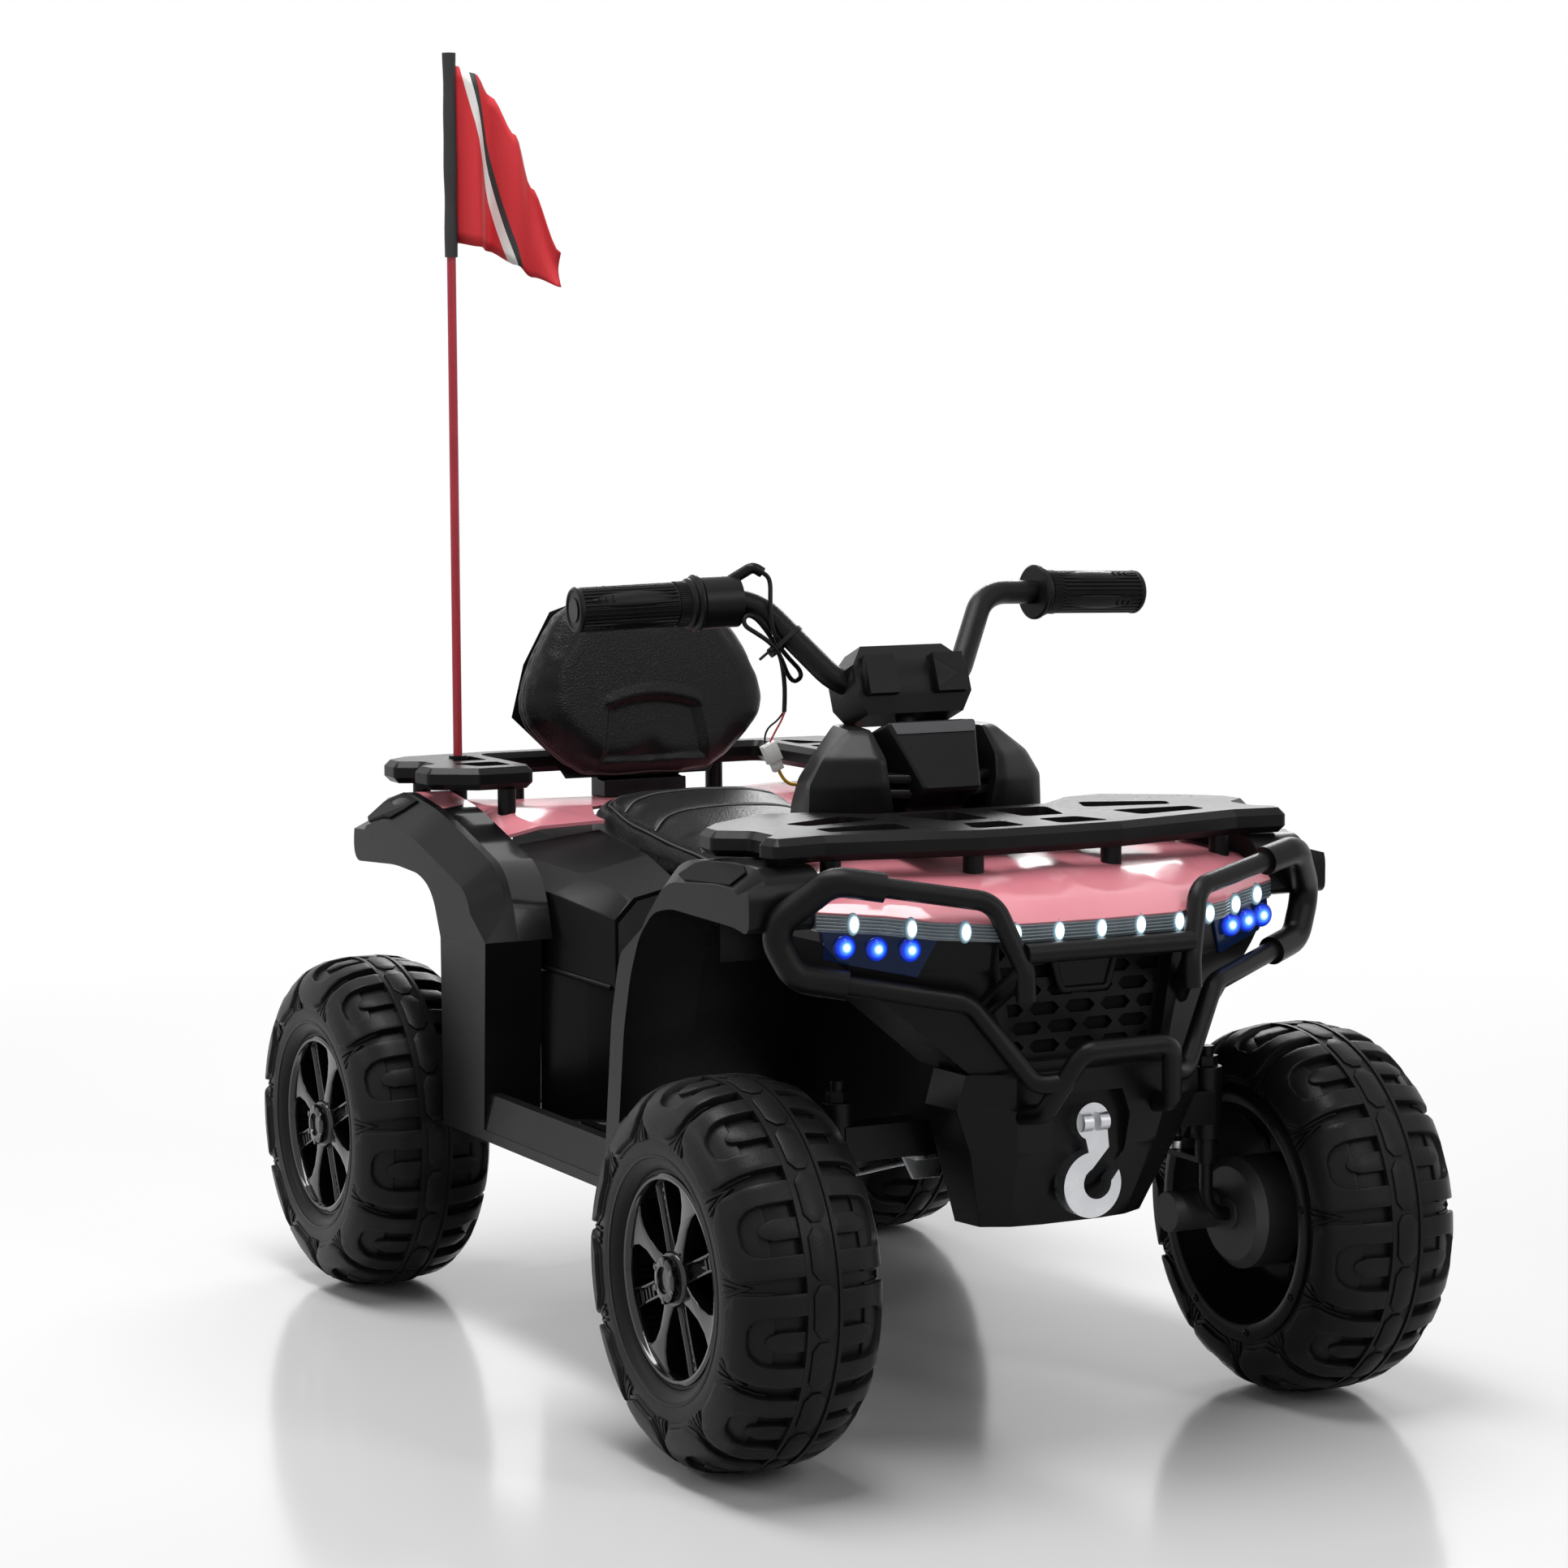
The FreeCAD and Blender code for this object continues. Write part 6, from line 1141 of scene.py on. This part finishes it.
class QUAD_OT_soft_goods(bpy.types.Operator):
    """Seat, backrest and flag"""

    bl_idname = "quad.soft_goods"
    bl_label = "Soft goods"

    def execute(self, context):
        bm = backrest_pad()
        skin = BVHTree.FromBMesh(bm)
        pad = piece("backrest_cushion", bm, "leather", "backrest_pad", "backrest_pad", sharp=80)
        bm = bmesh.new()
        for row in BACKREST_WELTS:
            loop = [BACKREST_LEAN @ p for p in backrest_loop(*row)]
            close = [a.lerp(b, step / 4) for a, b in zip(loop, loop[1:] + loop[:1]) for step in range(4)]
            add_welt(bm, [skin.find_nearest(p)[0] for p in close], WELT_RADIUS, True)
        piece("backrest_welts", bm, "piping", "backrest_pad")
        bm, lines = seat_pad()
        cushion = piece("seat_cushion", bm, "leather", "seat", "seat", sharp=80)
        bm = bmesh.new()
        for points, closed in lines:
            add_welt(bm, [p - Vector((0, 0, PIPING_SUNK)) for p in points], PIPING_RADIUS, closed)
        piece("seat_welts", bm, "piping", "seat")
        hinge = JOINT_AT["seat_lift"]
        bm = bmesh.new()
        add_turned(bm, HINGE_LINE, hinge, AXLE, 24)
        start = at(0.48, 0, 0).x
        bmesh.ops.create_cube(bm, size=1, matrix=Matrix.Translation(((start + hinge.x) / 2, 0, hinge.z))
                              @ Matrix.Diagonal((hinge.x - start, HINGE_LEAF_WIDE, HINGE_LEAF_THICK, 1)))
        piece("seat_hinge", bm, "zinc", "seat")
        cloth = piece("flag_cloth", flag_sheet(), "flag_cloth", "flag", "flag", sharp=180, recalc=False)
        wall = cloth.modifiers.new("thickness", "SOLIDIFY")
        wall.thickness = FLAG_WALL
        wall.offset = 0
        bm = bmesh.new()
        profile = [(FLAG_LOW, SLEEVE_END)]
        for index in range(SLEEVE_STEPS + 1):
            share = index / SLEEVE_STEPS
            fold = SLEEVE_FOLD * math.sin(17 * share) * math.sin(5 * share)
            profile.append((FLAG_LOW + FLAG_TALL * share, SLEEVE_RADIUS + fold))
        profile.append((FLAG_LOW + FLAG_TALL, SLEEVE_END))
        add_turned(bm, profile, Vector((FLAG_POLE.x, FLAG_POLE.y, 0)), (0, 0, 1), 20)
        piece("flag_sleeve_cloth", bm, "sleeve_cloth", "flag_sleeve", "flag_sleeve")
        return {"FINISHED"}


# Body shell: shares of the wheelbase, the half track and the body height, or millimetres where numbers are large

REAR_FENDER = (
    (-0.052, 0.846), (-0.054, 0.912), (-0.034, 0.968), (0.0475, 0.998), (0.1525, 0.972), (0.266, 0.918),
    (0.319, 0.892), (0.345, 0.842), (0.3625, 0.757), (0.226, 0.744), (0.203, 0.824), (0.166, 0.854), (0.085, 0.86),
)
FRONT_FENDER = (
    (0.687, 0.4), (0.71, 0.69), (0.73, 0.8), (0.78, 0.906), (0.83, 0.978), (0.86, 0.996), (0.969, 1.01),
    (1.024, 1.006), (1.044, 0.975), (1.044, 0.9), (1.012, 0.91), (0.86, 0.914), (0.818, 0.9), (0.783, 0.852),
    (0.76, 0.78), (0.742, 0.68), (0.718, 0.4),
)
FENDER_OUT, FENDER_IN = 1.004, 0.76
REAR_SLOPE, FRONT_SLOPE = 0.026, 0.018
FRONT_PLATE = ((292, 0.3), (306, 0.82), (322, 0.94), (392, 0.94), (404, 0.72), (396, 0.12), (310, 0.08))
REAR_PLATE = (
    (-424, 0.3), (-410, 0.82), (-365, 0.92), (-330, 0.92), (-340, 0.5), (-352, 0.1), (-366, 0.06), (-408, 0.08),
)
PLATE_THICK, PLATE_SUNK = 0.0022, 0.004
LIP_ROWS = (
    (0, 1.15, 0.914), (0.28, 1.144, 0.914), (0.5, 1.113, 0.921), (0.62, 1.081, 0.928), (0.79, 1.048, 0.934),
)
STRIP_TALL = 0.032
STRIP_RIBS = (0.14, 0.32, 0.5, 0.68, 0.86)
COLUMN_AXIS = Vector((-math.sin(math.radians(21)), 0, math.cos(math.radians(21))))
COWL_LEVELS = (
    (0.86, ((0.6, 0.25), (0.655, 0.28), (0.76, 0.2), (0.8, 0.1))),
    (1.05, ((0.61, 0.22), (0.66, 0.24), (0.76, 0.17), (0.803, 0.1))),
    (1.088, ((0.615, 0.2), (0.665, 0.225), (0.765, 0.165), (0.846, 0.1))),
    (1.206, ((0.645, 0.13), (0.67, 0.16), (0.72, 0.165), (0.794, 0.162))),
    (1.26, ((0.66, 0.09), (0.68, 0.12), (0.715, 0.14), (0.772, 0.175))),
)
HORN_LEVELS = (
    (0.86, ((0.645, 0.18), (0.68, 0.37), (0.785, 0.43), (0.81, 0.18))),
    (1.05, ((0.65, 0.16), (0.69, 0.35), (0.784, 0.429), (0.825, 0.165))),
    (1.096, ((0.655, 0.15), (0.695, 0.33), (0.784, 0.425), (0.827, 0.185))),
    (1.14, ((0.66, 0.14), (0.7, 0.28), (0.782, 0.375), (0.822, 0.192))),
    (1.19, ((0.68, 0.13), (0.7, 0.21), (0.774, 0.26), (0.786, 0.2))),
)
COWL_CUT = at(0.79, 0, 1.202)
LOUVRE = ((0.72, 0.12), (0.72, 0.2), (0.806, 0.2), (0.822, 0.11))
LOUVRE_BARS, LOUVRE_LOW, LOUVRE_PITCH, LOUVRE_TALL = 2, 1.07, 0.026, 0.008
COWL_PANEL_TOP, COWL_PANEL_FOOT = mm(232, 46, 603), mm(274, 28, 544)
COWL_BAND, BAND_NARROW, BAND_SUNK, BAND_THICK = (0.05, 0.21), 0.94, 0.002, 0.0032
INNER_WALL = ((-130, -222), (-102, -186), (-62, -113.5), (-66, -112), (-106, -182), (-134, -219))
HOOD_WALL = ((-216, 400), (-216, 480), (-190, 487), (-170, 494), (-118, 496), (-118, 400))
INNER_WALL_LOW, INNER_WALL_TALL, WALL_EDGE = 190, 156, 0.0008
HOOD_WALL_AT, HOOD_WALL_THICK = 236.5, 5
STRIP_START, STRIP_WAY = at(0.135, -0.86, 0.95), Vector((1, 0.4, 0))
STRIP_SPLIT, STRIP_TOPWARD = at(0, -0.885, 0), 0.3
RACK_CHAMFER = 0.006
LAMP_SIZES = (("white_lamps", (0.004, 0.0062, 0.0098)), ("blue_lamps", (0.0045, 0.0105, 0.0105)))
LAMP_SUNK = 0.003
SIDE_LIP = ((0.222, 0.938, 0.747), (0.345, 0.765, 0.698), (0.425, 0.63, 0.671))


def fender(shares, slope, rise, corner, plain, edge):
    """Right fender: its side outline with rounded corners pushed inwards, and the outer upper edge sloped."""
    bm = bmesh.new()
    out = at(0, -FENDER_OUT, 0).y
    verts = [bm.verts.new(at(a, -FENDER_OUT, u)) for a, u in shares]
    bm.faces.new(verts)
    kept = [v for index, v in enumerate(verts) if index not in plain]
    bevel(bm, kept, corner, segments=4, affect="VERTICES")
    pushed(bm, bm.faces[:], (0, (FENDER_OUT - FENDER_IN) * HALF_TRACK, 0), use_keep_orig=True)
    bmesh.ops.recalc_face_normals(bm, faces=bm.faces)
    upper = []
    for rim in bm.edges:
        if all(abs(v.co.y - out) < 1e-5 for v in rim.verts):
            if any(abs(f.normal.y) < 0.5 and f.normal.z > rise for f in rim.link_faces):
                upper.append(rim)
    bevel(bm, upper, slope, segments=1, clamp=False)
    rounded_edges(bm, edge, segments=3)
    return bm


def top_of(shares, x):
    """Height of a fender's upper line at a place along X."""
    line = [at(a, 0, u) for a, u in shares]
    spans = [(p, q) for p, q in zip(line, line[1:]) if p.x <= x <= q.x]
    first, last = max(spans, key=lambda span: span[0].z + span[1].z)
    return first.z + (last.z - first.z) * (x - first.x) / (last.x - first.x)


def fender_plate(shares, slope, places):
    """Raised bare plate on a fender's slope, from places along X and shares up the slope."""
    bm = bmesh.new()
    out = Vector((0, -1, 1)).normalized()
    points = []
    for x, share in places:
        y = at(0, -FENDER_OUT, 0).y + slope * share
        points.append(Vector((x / 1000, y, top_of(shares, x / 1000) - slope * (1 - share))) - out * PLATE_SUNK)
    add_prism(bm, points, out * (PLATE_THICK + PLATE_SUNK))
    rounded_edges(bm, 0.001)
    mirror_over(bm)
    return bm


def island_boxes(node):
    """Lowest and highest corner of each separate part of a node."""
    bm = merged_copy(node)
    boxes = []
    for group in islands(bm.faces):
        places = [v.co for f in group for v in f.verts]
        boxes.append([Vector([end(p[i] for p in places) for i in range(3)]) for end in (min, max)])
    bm.free()
    return boxes


def add_ball(bm, place, half, segments, rings):
    """A ball at a place, squeezed to half sizes along the axes."""
    return bmesh.ops.create_uvsphere(bm, u_segments=segments, v_segments=rings, radius=1,
                                     matrix=place @ Matrix.Diagonal((*half, 1)))["verts"]


class QUAD_OT_shell(bpy.types.Operator):
    """Fenders with their plates, lips of the side panels, inner walls and the badge frame"""

    bl_idname = "quad.shell"
    bl_label = "Fenders"

    def execute(self, context):
        bm = fender(REAR_FENDER, REAR_SLOPE, rise=0.35, corner=0.015, plain=(8, 9), edge=0.006)
        cut_flat(bm, STRIP_SPLIT, Vector((0, 1, 0)))
        cut_flat(bm, STRIP_START, STRIP_WAY)
        for face in bm.faces:
            middle = face.calc_center_median()
            if middle.y > STRIP_SPLIT.y and face.normal.z > STRIP_TOPWARD:
                face.material_index = 1 if (middle - STRIP_START).dot(STRIP_WAY) > 0 else 2
        mirror_over(bm)
        even_shading(piece("rear_fender_shells", bm, ["satin_black", "gloss_black", "pink_shell"], "rear_fenders",
                           "rear_fenders", recalc=False, sharp=30))
        bm = fender(FRONT_FENDER, FRONT_SLOPE, rise=0.62, corner=0.0105, plain=(0, 16), edge=0.003)
        mirror_over(bm)
        even_shading(piece("front_fender_shells", bm, "satin_black", "front_fenders", "front_fenders", recalc=False,
                           sharp=30))
        for side, shares, slope, places in (("front", FRONT_FENDER, FRONT_SLOPE, FRONT_PLATE),
                                            ("rear", REAR_FENDER, REAR_SLOPE, REAR_PLATE)):
            plate = fender_plate(shares, slope, places)
            even_shading(piece(side + "_plates", plate, "deep_black", side + "_fenders", recalc=False))
        bm = bmesh.new()
        add_tube(bm, [at(a, -y, u) for a, y, u in SIDE_LIP], radius=0.0024, bend=0.02)
        mirror_over(bm)
        piece("side_lips", bm, "satin_black", "side_panels")
        bm = bmesh.new()
        add_prism(bm, [mm(x, y, INNER_WALL_LOW) for x, y in INNER_WALL], mm(0, 0, INNER_WALL_TALL), WALL_EDGE)
        add_tube(bm, [mm(x + 3, y - 2, INNER_WALL_LOW + 6) for x, y in INNER_WALL[:3]], radius=0.009, bend=0.03)
        add_prism(bm, [mm(HOOD_WALL_AT, y, z) for y, z in HOOD_WALL], mm(HOOD_WALL_THICK, 0, 0), WALL_EDGE)
        mirror_over(bm)
        piece("footwell_walls", bm, "satin_black", "footwells", recalc=False)
        low, high = max(island_boxes("grille"), key=lambda box: box[1].x)
        bm = bmesh.new()
        half = [high, Vector((high.x, high.y * 0.72, low.z))]
        add_tube(bm, half + [flipped(p) for p in reversed(half)], radius=0.0032, bend=0.006)
        piece("badge_frame", bm, "satin_black", "grille")
        return {"FINISHED"}


class QUAD_OT_cowl(bpy.types.Operator):
    """Dash cowl with soft horns and a bare band on its middle panel"""

    bl_idname = "quad.cowl"
    bl_label = "Dash cowl"

    def execute(self, context):
        bm = bmesh.new()
        add_loft(bm, [both_sides([at(a, -y, up) for a, y in row]) for up, row in COWL_LEVELS])
        bmesh.ops.bisect_plane(bm, geom=everything(bm), dist=1e-6, clear_outer=True, plane_co=COWL_CUT,
                               plane_no=COLUMN_AXIS)
        bmesh.ops.holes_fill(bm, edges=[e for e in bm.edges if e.is_boundary])
        rounded_edges(bm, 0.0045, segments=3, angle=20)
        bars = bmesh.new()
        for step in range(LOUVRE_BARS):
            points = [at(a, -y, LOUVRE_LOW + LOUVRE_PITCH * step) for a, y in LOUVRE]
            add_prism(bars, points, Vector((0, 0, LOUVRE_TALL)), width=0.002)
        mirror_over(bars)
        add_mesh(bm, as_mesh("louvre_bars", bars))
        even_shading(piece("cowl_shape", bm, "satin_black", "dash_cowl", "dash_cowl", recalc=False, sharp=45))
        bm = bmesh.new()
        add_loft(bm, [[at(a, -y, up) for a, y in row] for up, row in HORN_LEVELS])
        crease = bm.edges.layers.float.new("crease_edge")
        for edge in bm.edges:
            edge[crease] = 0.5
        mirror_over(bm)
        horns = piece("cowl_horns", bm, "satin_black", "dash_cowl")
        smooth = horns.modifiers.new("round", "SUBSURF")
        smooth.levels = smooth.render_levels = 3
        bm = bmesh.new()
        slope = COWL_PANEL_FOOT - COWL_PANEL_TOP
        out = Vector((-slope.z, 0, slope.x)).normalized()
        side = [COWL_PANEL_TOP + slope * share for share in COWL_BAND]
        points = side + [flipped(p) for p in reversed(side)]
        points = [Vector((p.x, p.y * BAND_NARROW, p.z)) - out * BAND_SUNK for p in points]
        add_prism(bm, points, out * BAND_THICK, width=0.0006)
        even_shading(piece("cowl_band", bm, "grey_case", "dash_cowl"))
        return {"FINISHED"}


class QUAD_OT_racks(bpy.types.Operator):
    """Racks with a broad chamfer round the rim"""

    bl_idname = "quad.racks"
    bl_label = "Racks"

    def execute(self, context):
        for node in ("front_rack", "rear_rack"):
            bm = solid_copy(node)
            walls = islands([f for f in bm.faces if abs(f.normal.z) < 0.5])
            rim = max(walls, key=lambda group: reach(group, 0) + reach(group, 1))
            edges = {e for f in rim for e in f.edges if any(abs(g.normal.z) > 0.9 for g in e.link_faces)}
            bevel(bm, list(edges), RACK_CHAMFER, segments=1, clamp=False)
            rounded_edges(bm, context.scene.quad_sizes.edge, angle=28)
            even_shading(piece(node + "_shape", bm, "satin_black", node, node, recalc=False))
        return {"FINISHED"}


class QUAD_OT_lamps(bpy.types.Operator):
    """Clear strip with its ribs, dark head lamp lenses, white and blue lamps"""

    bl_idname = "quad.lamps"
    bl_label = "Lamps"

    def execute(self, context):
        bm = solid_copy("lamp_lenses")
        groups = islands(bm.faces)
        strip = max(groups, key=lambda group: reach(group, 1))
        for group in groups:
            for face in group:
                face.material_index = 0 if group is strip else 1
        rounded_edges(bm, 0.0006)
        # The head lamp lenses take the smoked finish with its painted faint blue glow.
        even_shading(piece("lamp_lens_shapes", bm, ["clear_strip", "smoked_lens_painted_glow"], "lamp_lenses", "lamp_lenses",
                           recalc=False))
        bm = bmesh.new()
        for share in STRIP_RIBS:
            half = [at(a, -y, u - STRIP_TALL * share) for y, a, u in LIP_ROWS]
            add_tube(bm, [flipped(p) for p in reversed(half[1:])] + half, radius=0.001, bend=0.02)
        piece("strip_ribs", bm, "clear_strip", "lamp_lenses")
        for node, half in LAMP_SIZES:
            bm = bmesh.new()
            glow = bm.verts.layers.float.new("glow")
            for low, high in island_boxes(node):
                centre = (low + high) / 2
                centre.x = high.x - LAMP_SUNK
                for vert in add_ball(bm, Matrix.Translation(centre), half, segments=28, rings=16):
                    across, up = (vert.co.y - centre.y) / half[1], (vert.co.z - centre.z) / half[2]
                    vert[glow] = 1 - math.hypot(across, up)
            piece(node + "_shapes", bm, node.replace("lamps", "glow"), node, node)
        return {"FINISHED"}


# Grips: sizes in metres along the grip from its inner end

GRIP_START, GRIP_RUN = (0.1162, 0.1743, 0.7054), (-0.012, 0.173, -0.005)
GRIP_RIBS = ((30, 0.024, 0.114, 0.0199, 0.0183), (60, 0.0125, 0.0225, 0.0205, 0.0197))
GRIP_RINGS = (
    ((0, 0.011), (0, 0.024), (0.0012, 0.0255), (0.0032, 0.0256), (0.0045, 0.0245), (0.006, 0.0218), (0.0078, 0.0226),
     (0.0094, 0.0226), (0.0108, 0.0212), (0.0125, 0.0192), (0.026, 0.0186)),
    ((0.112, 0.0188), (0.1135, 0.0204), (0.116, 0.0206), (0.1178, 0.0192), (0.118, 0.0176), (0.1168, 0.0166),
     (0.1168, 0.0001)),
)
LEAVES, LEAF_START, LEAF_AT, LEAF_HALF = 4, 0.5, (0.0168, 0, 0.066), (0.0037, 0.0078, 0.043)
LEAF_BARS, LEAF_BAR_AT, LEAF_BAR_PITCH = 3, Vector((0.0202, 0, 0.086)), Vector((0, 0, 0.0065))
LEAF_BAR_SIZE, LEAF_BAR_LOSS = Vector((0.0016, 0.0055, 0.0022)), Vector((0, 0.0012, 0))


def grip_mesh(side):
    """Ribbed hand grip: ribs along it, smooth leaf pads, a knurled ring and a double flange."""
    x, y, z = GRIP_RUN
    axis = Vector((x, side * y, z)).normalized()
    x, y, z = GRIP_START
    turn = Matrix.Translation((x, side * y, z)) @ axis.to_track_quat("Z", "X").to_matrix().to_4x4()
    bm = bmesh.new()
    for count, low, high, outer, inner in GRIP_RIBS:
        ring = bmesh.ops.create_circle(bm, cap_ends=True, segments=count * 4, radius=1)["verts"]
        for index, vert in enumerate(ring):
            radius = outer if index % 4 in (0, 1) else inner
            vert.co = Vector((vert.co.x * radius, vert.co.y * radius, low))
        pushed(bm, list({f for v in ring for f in v.link_faces}), (0, 0, high - low))
    for profile in GRIP_RINGS:
        add_turned(bm, profile, Vector(), (0, 0, 1))
    for index in range(LEAVES):
        about = Matrix.Rotation(2 * math.pi * index / LEAVES + LEAF_START, 4, "Z")
        add_ball(bm, about @ Matrix.Translation(LEAF_AT), LEAF_HALF, segments=24, rings=14)
        for step in range(LEAF_BARS):
            spot = about @ Matrix.Translation(LEAF_BAR_AT + LEAF_BAR_PITCH * step)
            size = LEAF_BAR_SIZE - LEAF_BAR_LOSS * step
            bmesh.ops.create_cube(bm, size=1, matrix=spot @ Matrix.Diagonal((*size, 1)))
    bmesh.ops.recalc_face_normals(bm, faces=bm.faces)
    bmesh.ops.transform(bm, matrix=turn, verts=bm.verts)
    return bm


class QUAD_OT_grips(bpy.types.Operator):
    """Hand grips"""

    bl_idname = "quad.grips"
    bl_label = "Grips"

    def execute(self, context):
        for node, side in (("throttle_grip", -1), ("left_grip", 1)):
            piece(node + "_rubber", grip_mesh(side), "grip_rubber", node, node, recalc=False, sharp=35)
        return {"FINISHED"}


# Plain shapes: node, finish and the rounding of its edges

SOFTENED = (
    # The rear axle carrier and the chassis tub take the darker black as painted shade under the body.
    ("rear_axle", "zinc", 0.0005), ("rear_axle_carrier", "deep_black", 0.002),
    ("rear_gearboxes", "grey_case", 0.0015), ("front_gearbox_right", "grey_case", 0.0015),
    ("front_gearbox_left", "grey_case", 0.0015), ("column_bush", "satin_black", 0.0008),
    ("kingpin_right", "powder_black", 0.0006), ("kingpin_left", "powder_black", 0.0006),
    ("tie_rod_right", "zinc", 0.0006), ("tie_rod_left", "zinc", 0.0006), ("steering_column", "powder_black", 0.0006),
    ("chassis_tub", "deep_black", 0.003), ("battery", "grey_case", 0.002), ("footwells", "satin_black", 0.002),
    ("side_panels", "satin_black", 0.0015), ("grille", "satin_black", 0.0008), ("skid_plate", "satin_black", 0.0025),
    ("bull_bar", "powder_black", 0.0005), ("tow_hook", "satin_aluminium", 0.0024),
    ("posts_and_socket", "satin_black", 0.0008), ("backrest_shell", "satin_black", 0.0015),
    ("hood", "pink_shell", 0.0015), ("rear_deck", "pink_shell", 0.0015), ("handlebar", "powder_black", 0.0005),
    ("bar_clamp", "satin_black", 0.004), ("throttle_housing", "satin_black", 0.0008),
    ("power_button", "red_button", 0.0008), ("direction_rocker", "gloss_black", 0.0006),
    ("flag_pole", "crimson_rod", 0.0004),
)
BRACKET_WIDE = 0.1
GRILLE_BACK, GRILLE_REACH = 0.479, 0.0006


def on_grille_back(face, wide):
    """Whether a face of the fascia lies behind the grille, where the darker black is painted shade in its pocket."""
    return all(abs(v.co.x - GRILLE_BACK) < GRILLE_REACH for v in face.verts)


class QUAD_OT_plain_shapes(bpy.types.Operator):
    """Solids that keep their shape, with rounded edges"""

    bl_idname = "quad.plain_shapes"
    bl_label = "Plain shapes"

    def execute(self, context):
        for node, finish, width in SOFTENED:
            softened(node, finish, width)
        softened("front_axle_beam", ["powder_black", "zinc"], 0.001, lambda face, wide: wide < BRACKET_WIDE)
        # Faces behind the grille take the darker black as painted shade in the fascia's pocket.
        softened("front_fascia", ["satin_black", "deep_black"], 0.002, on_grille_back)
        return {"FINISHED"}


class QUAD_PT_panel(bpy.types.Panel):
    """Sidebar list of the pieces"""

    bl_idname = "QUAD_PT_panel"
    bl_label = "Kids quad bike"
    bl_space_type = "VIEW_3D"
    bl_region_type = "UI"
    bl_category = "Quad"

    def draw(self, context):
        for group in (context.scene.quad_tints, context.scene.quad_sizes):
            for name in group.bl_rna.properties.keys():
                if name not in ("rna_type", "name"):
                    self.layout.prop(group, name)
        for operator in OPERATORS:
            self.layout.operator(operator.bl_idname)


OPERATORS = (
    QUAD_OT_stage, QUAD_OT_wheels, QUAD_OT_cords, QUAD_OT_soft_goods, QUAD_OT_shell, QUAD_OT_cowl, QUAD_OT_racks,
    QUAD_OT_lamps, QUAD_OT_grips, QUAD_OT_plain_shapes,
)
CLASSES = (QuadTints, QuadSizes, *OPERATORS, QUAD_PT_panel)


def register():
    for item in CLASSES:
        bpy.utils.register_class(item)
    bpy.types.Scene.quad_tints = bpy.props.PointerProperty(type=QuadTints)
    bpy.types.Scene.quad_sizes = bpy.props.PointerProperty(type=QuadSizes)


def unregister():
    del bpy.types.Scene.quad_sizes
    del bpy.types.Scene.quad_tints
    for item in reversed(CLASSES):
        bpy.utils.unregister_class(item)


def main():
    register()
    make_finishes(bpy.context.scene.quad_tints)
    for operator in OPERATORS:
        group, name = operator.bl_idname.split(".")
        getattr(getattr(bpy.ops, group), name)()


if __name__ == "__main__":
    main()
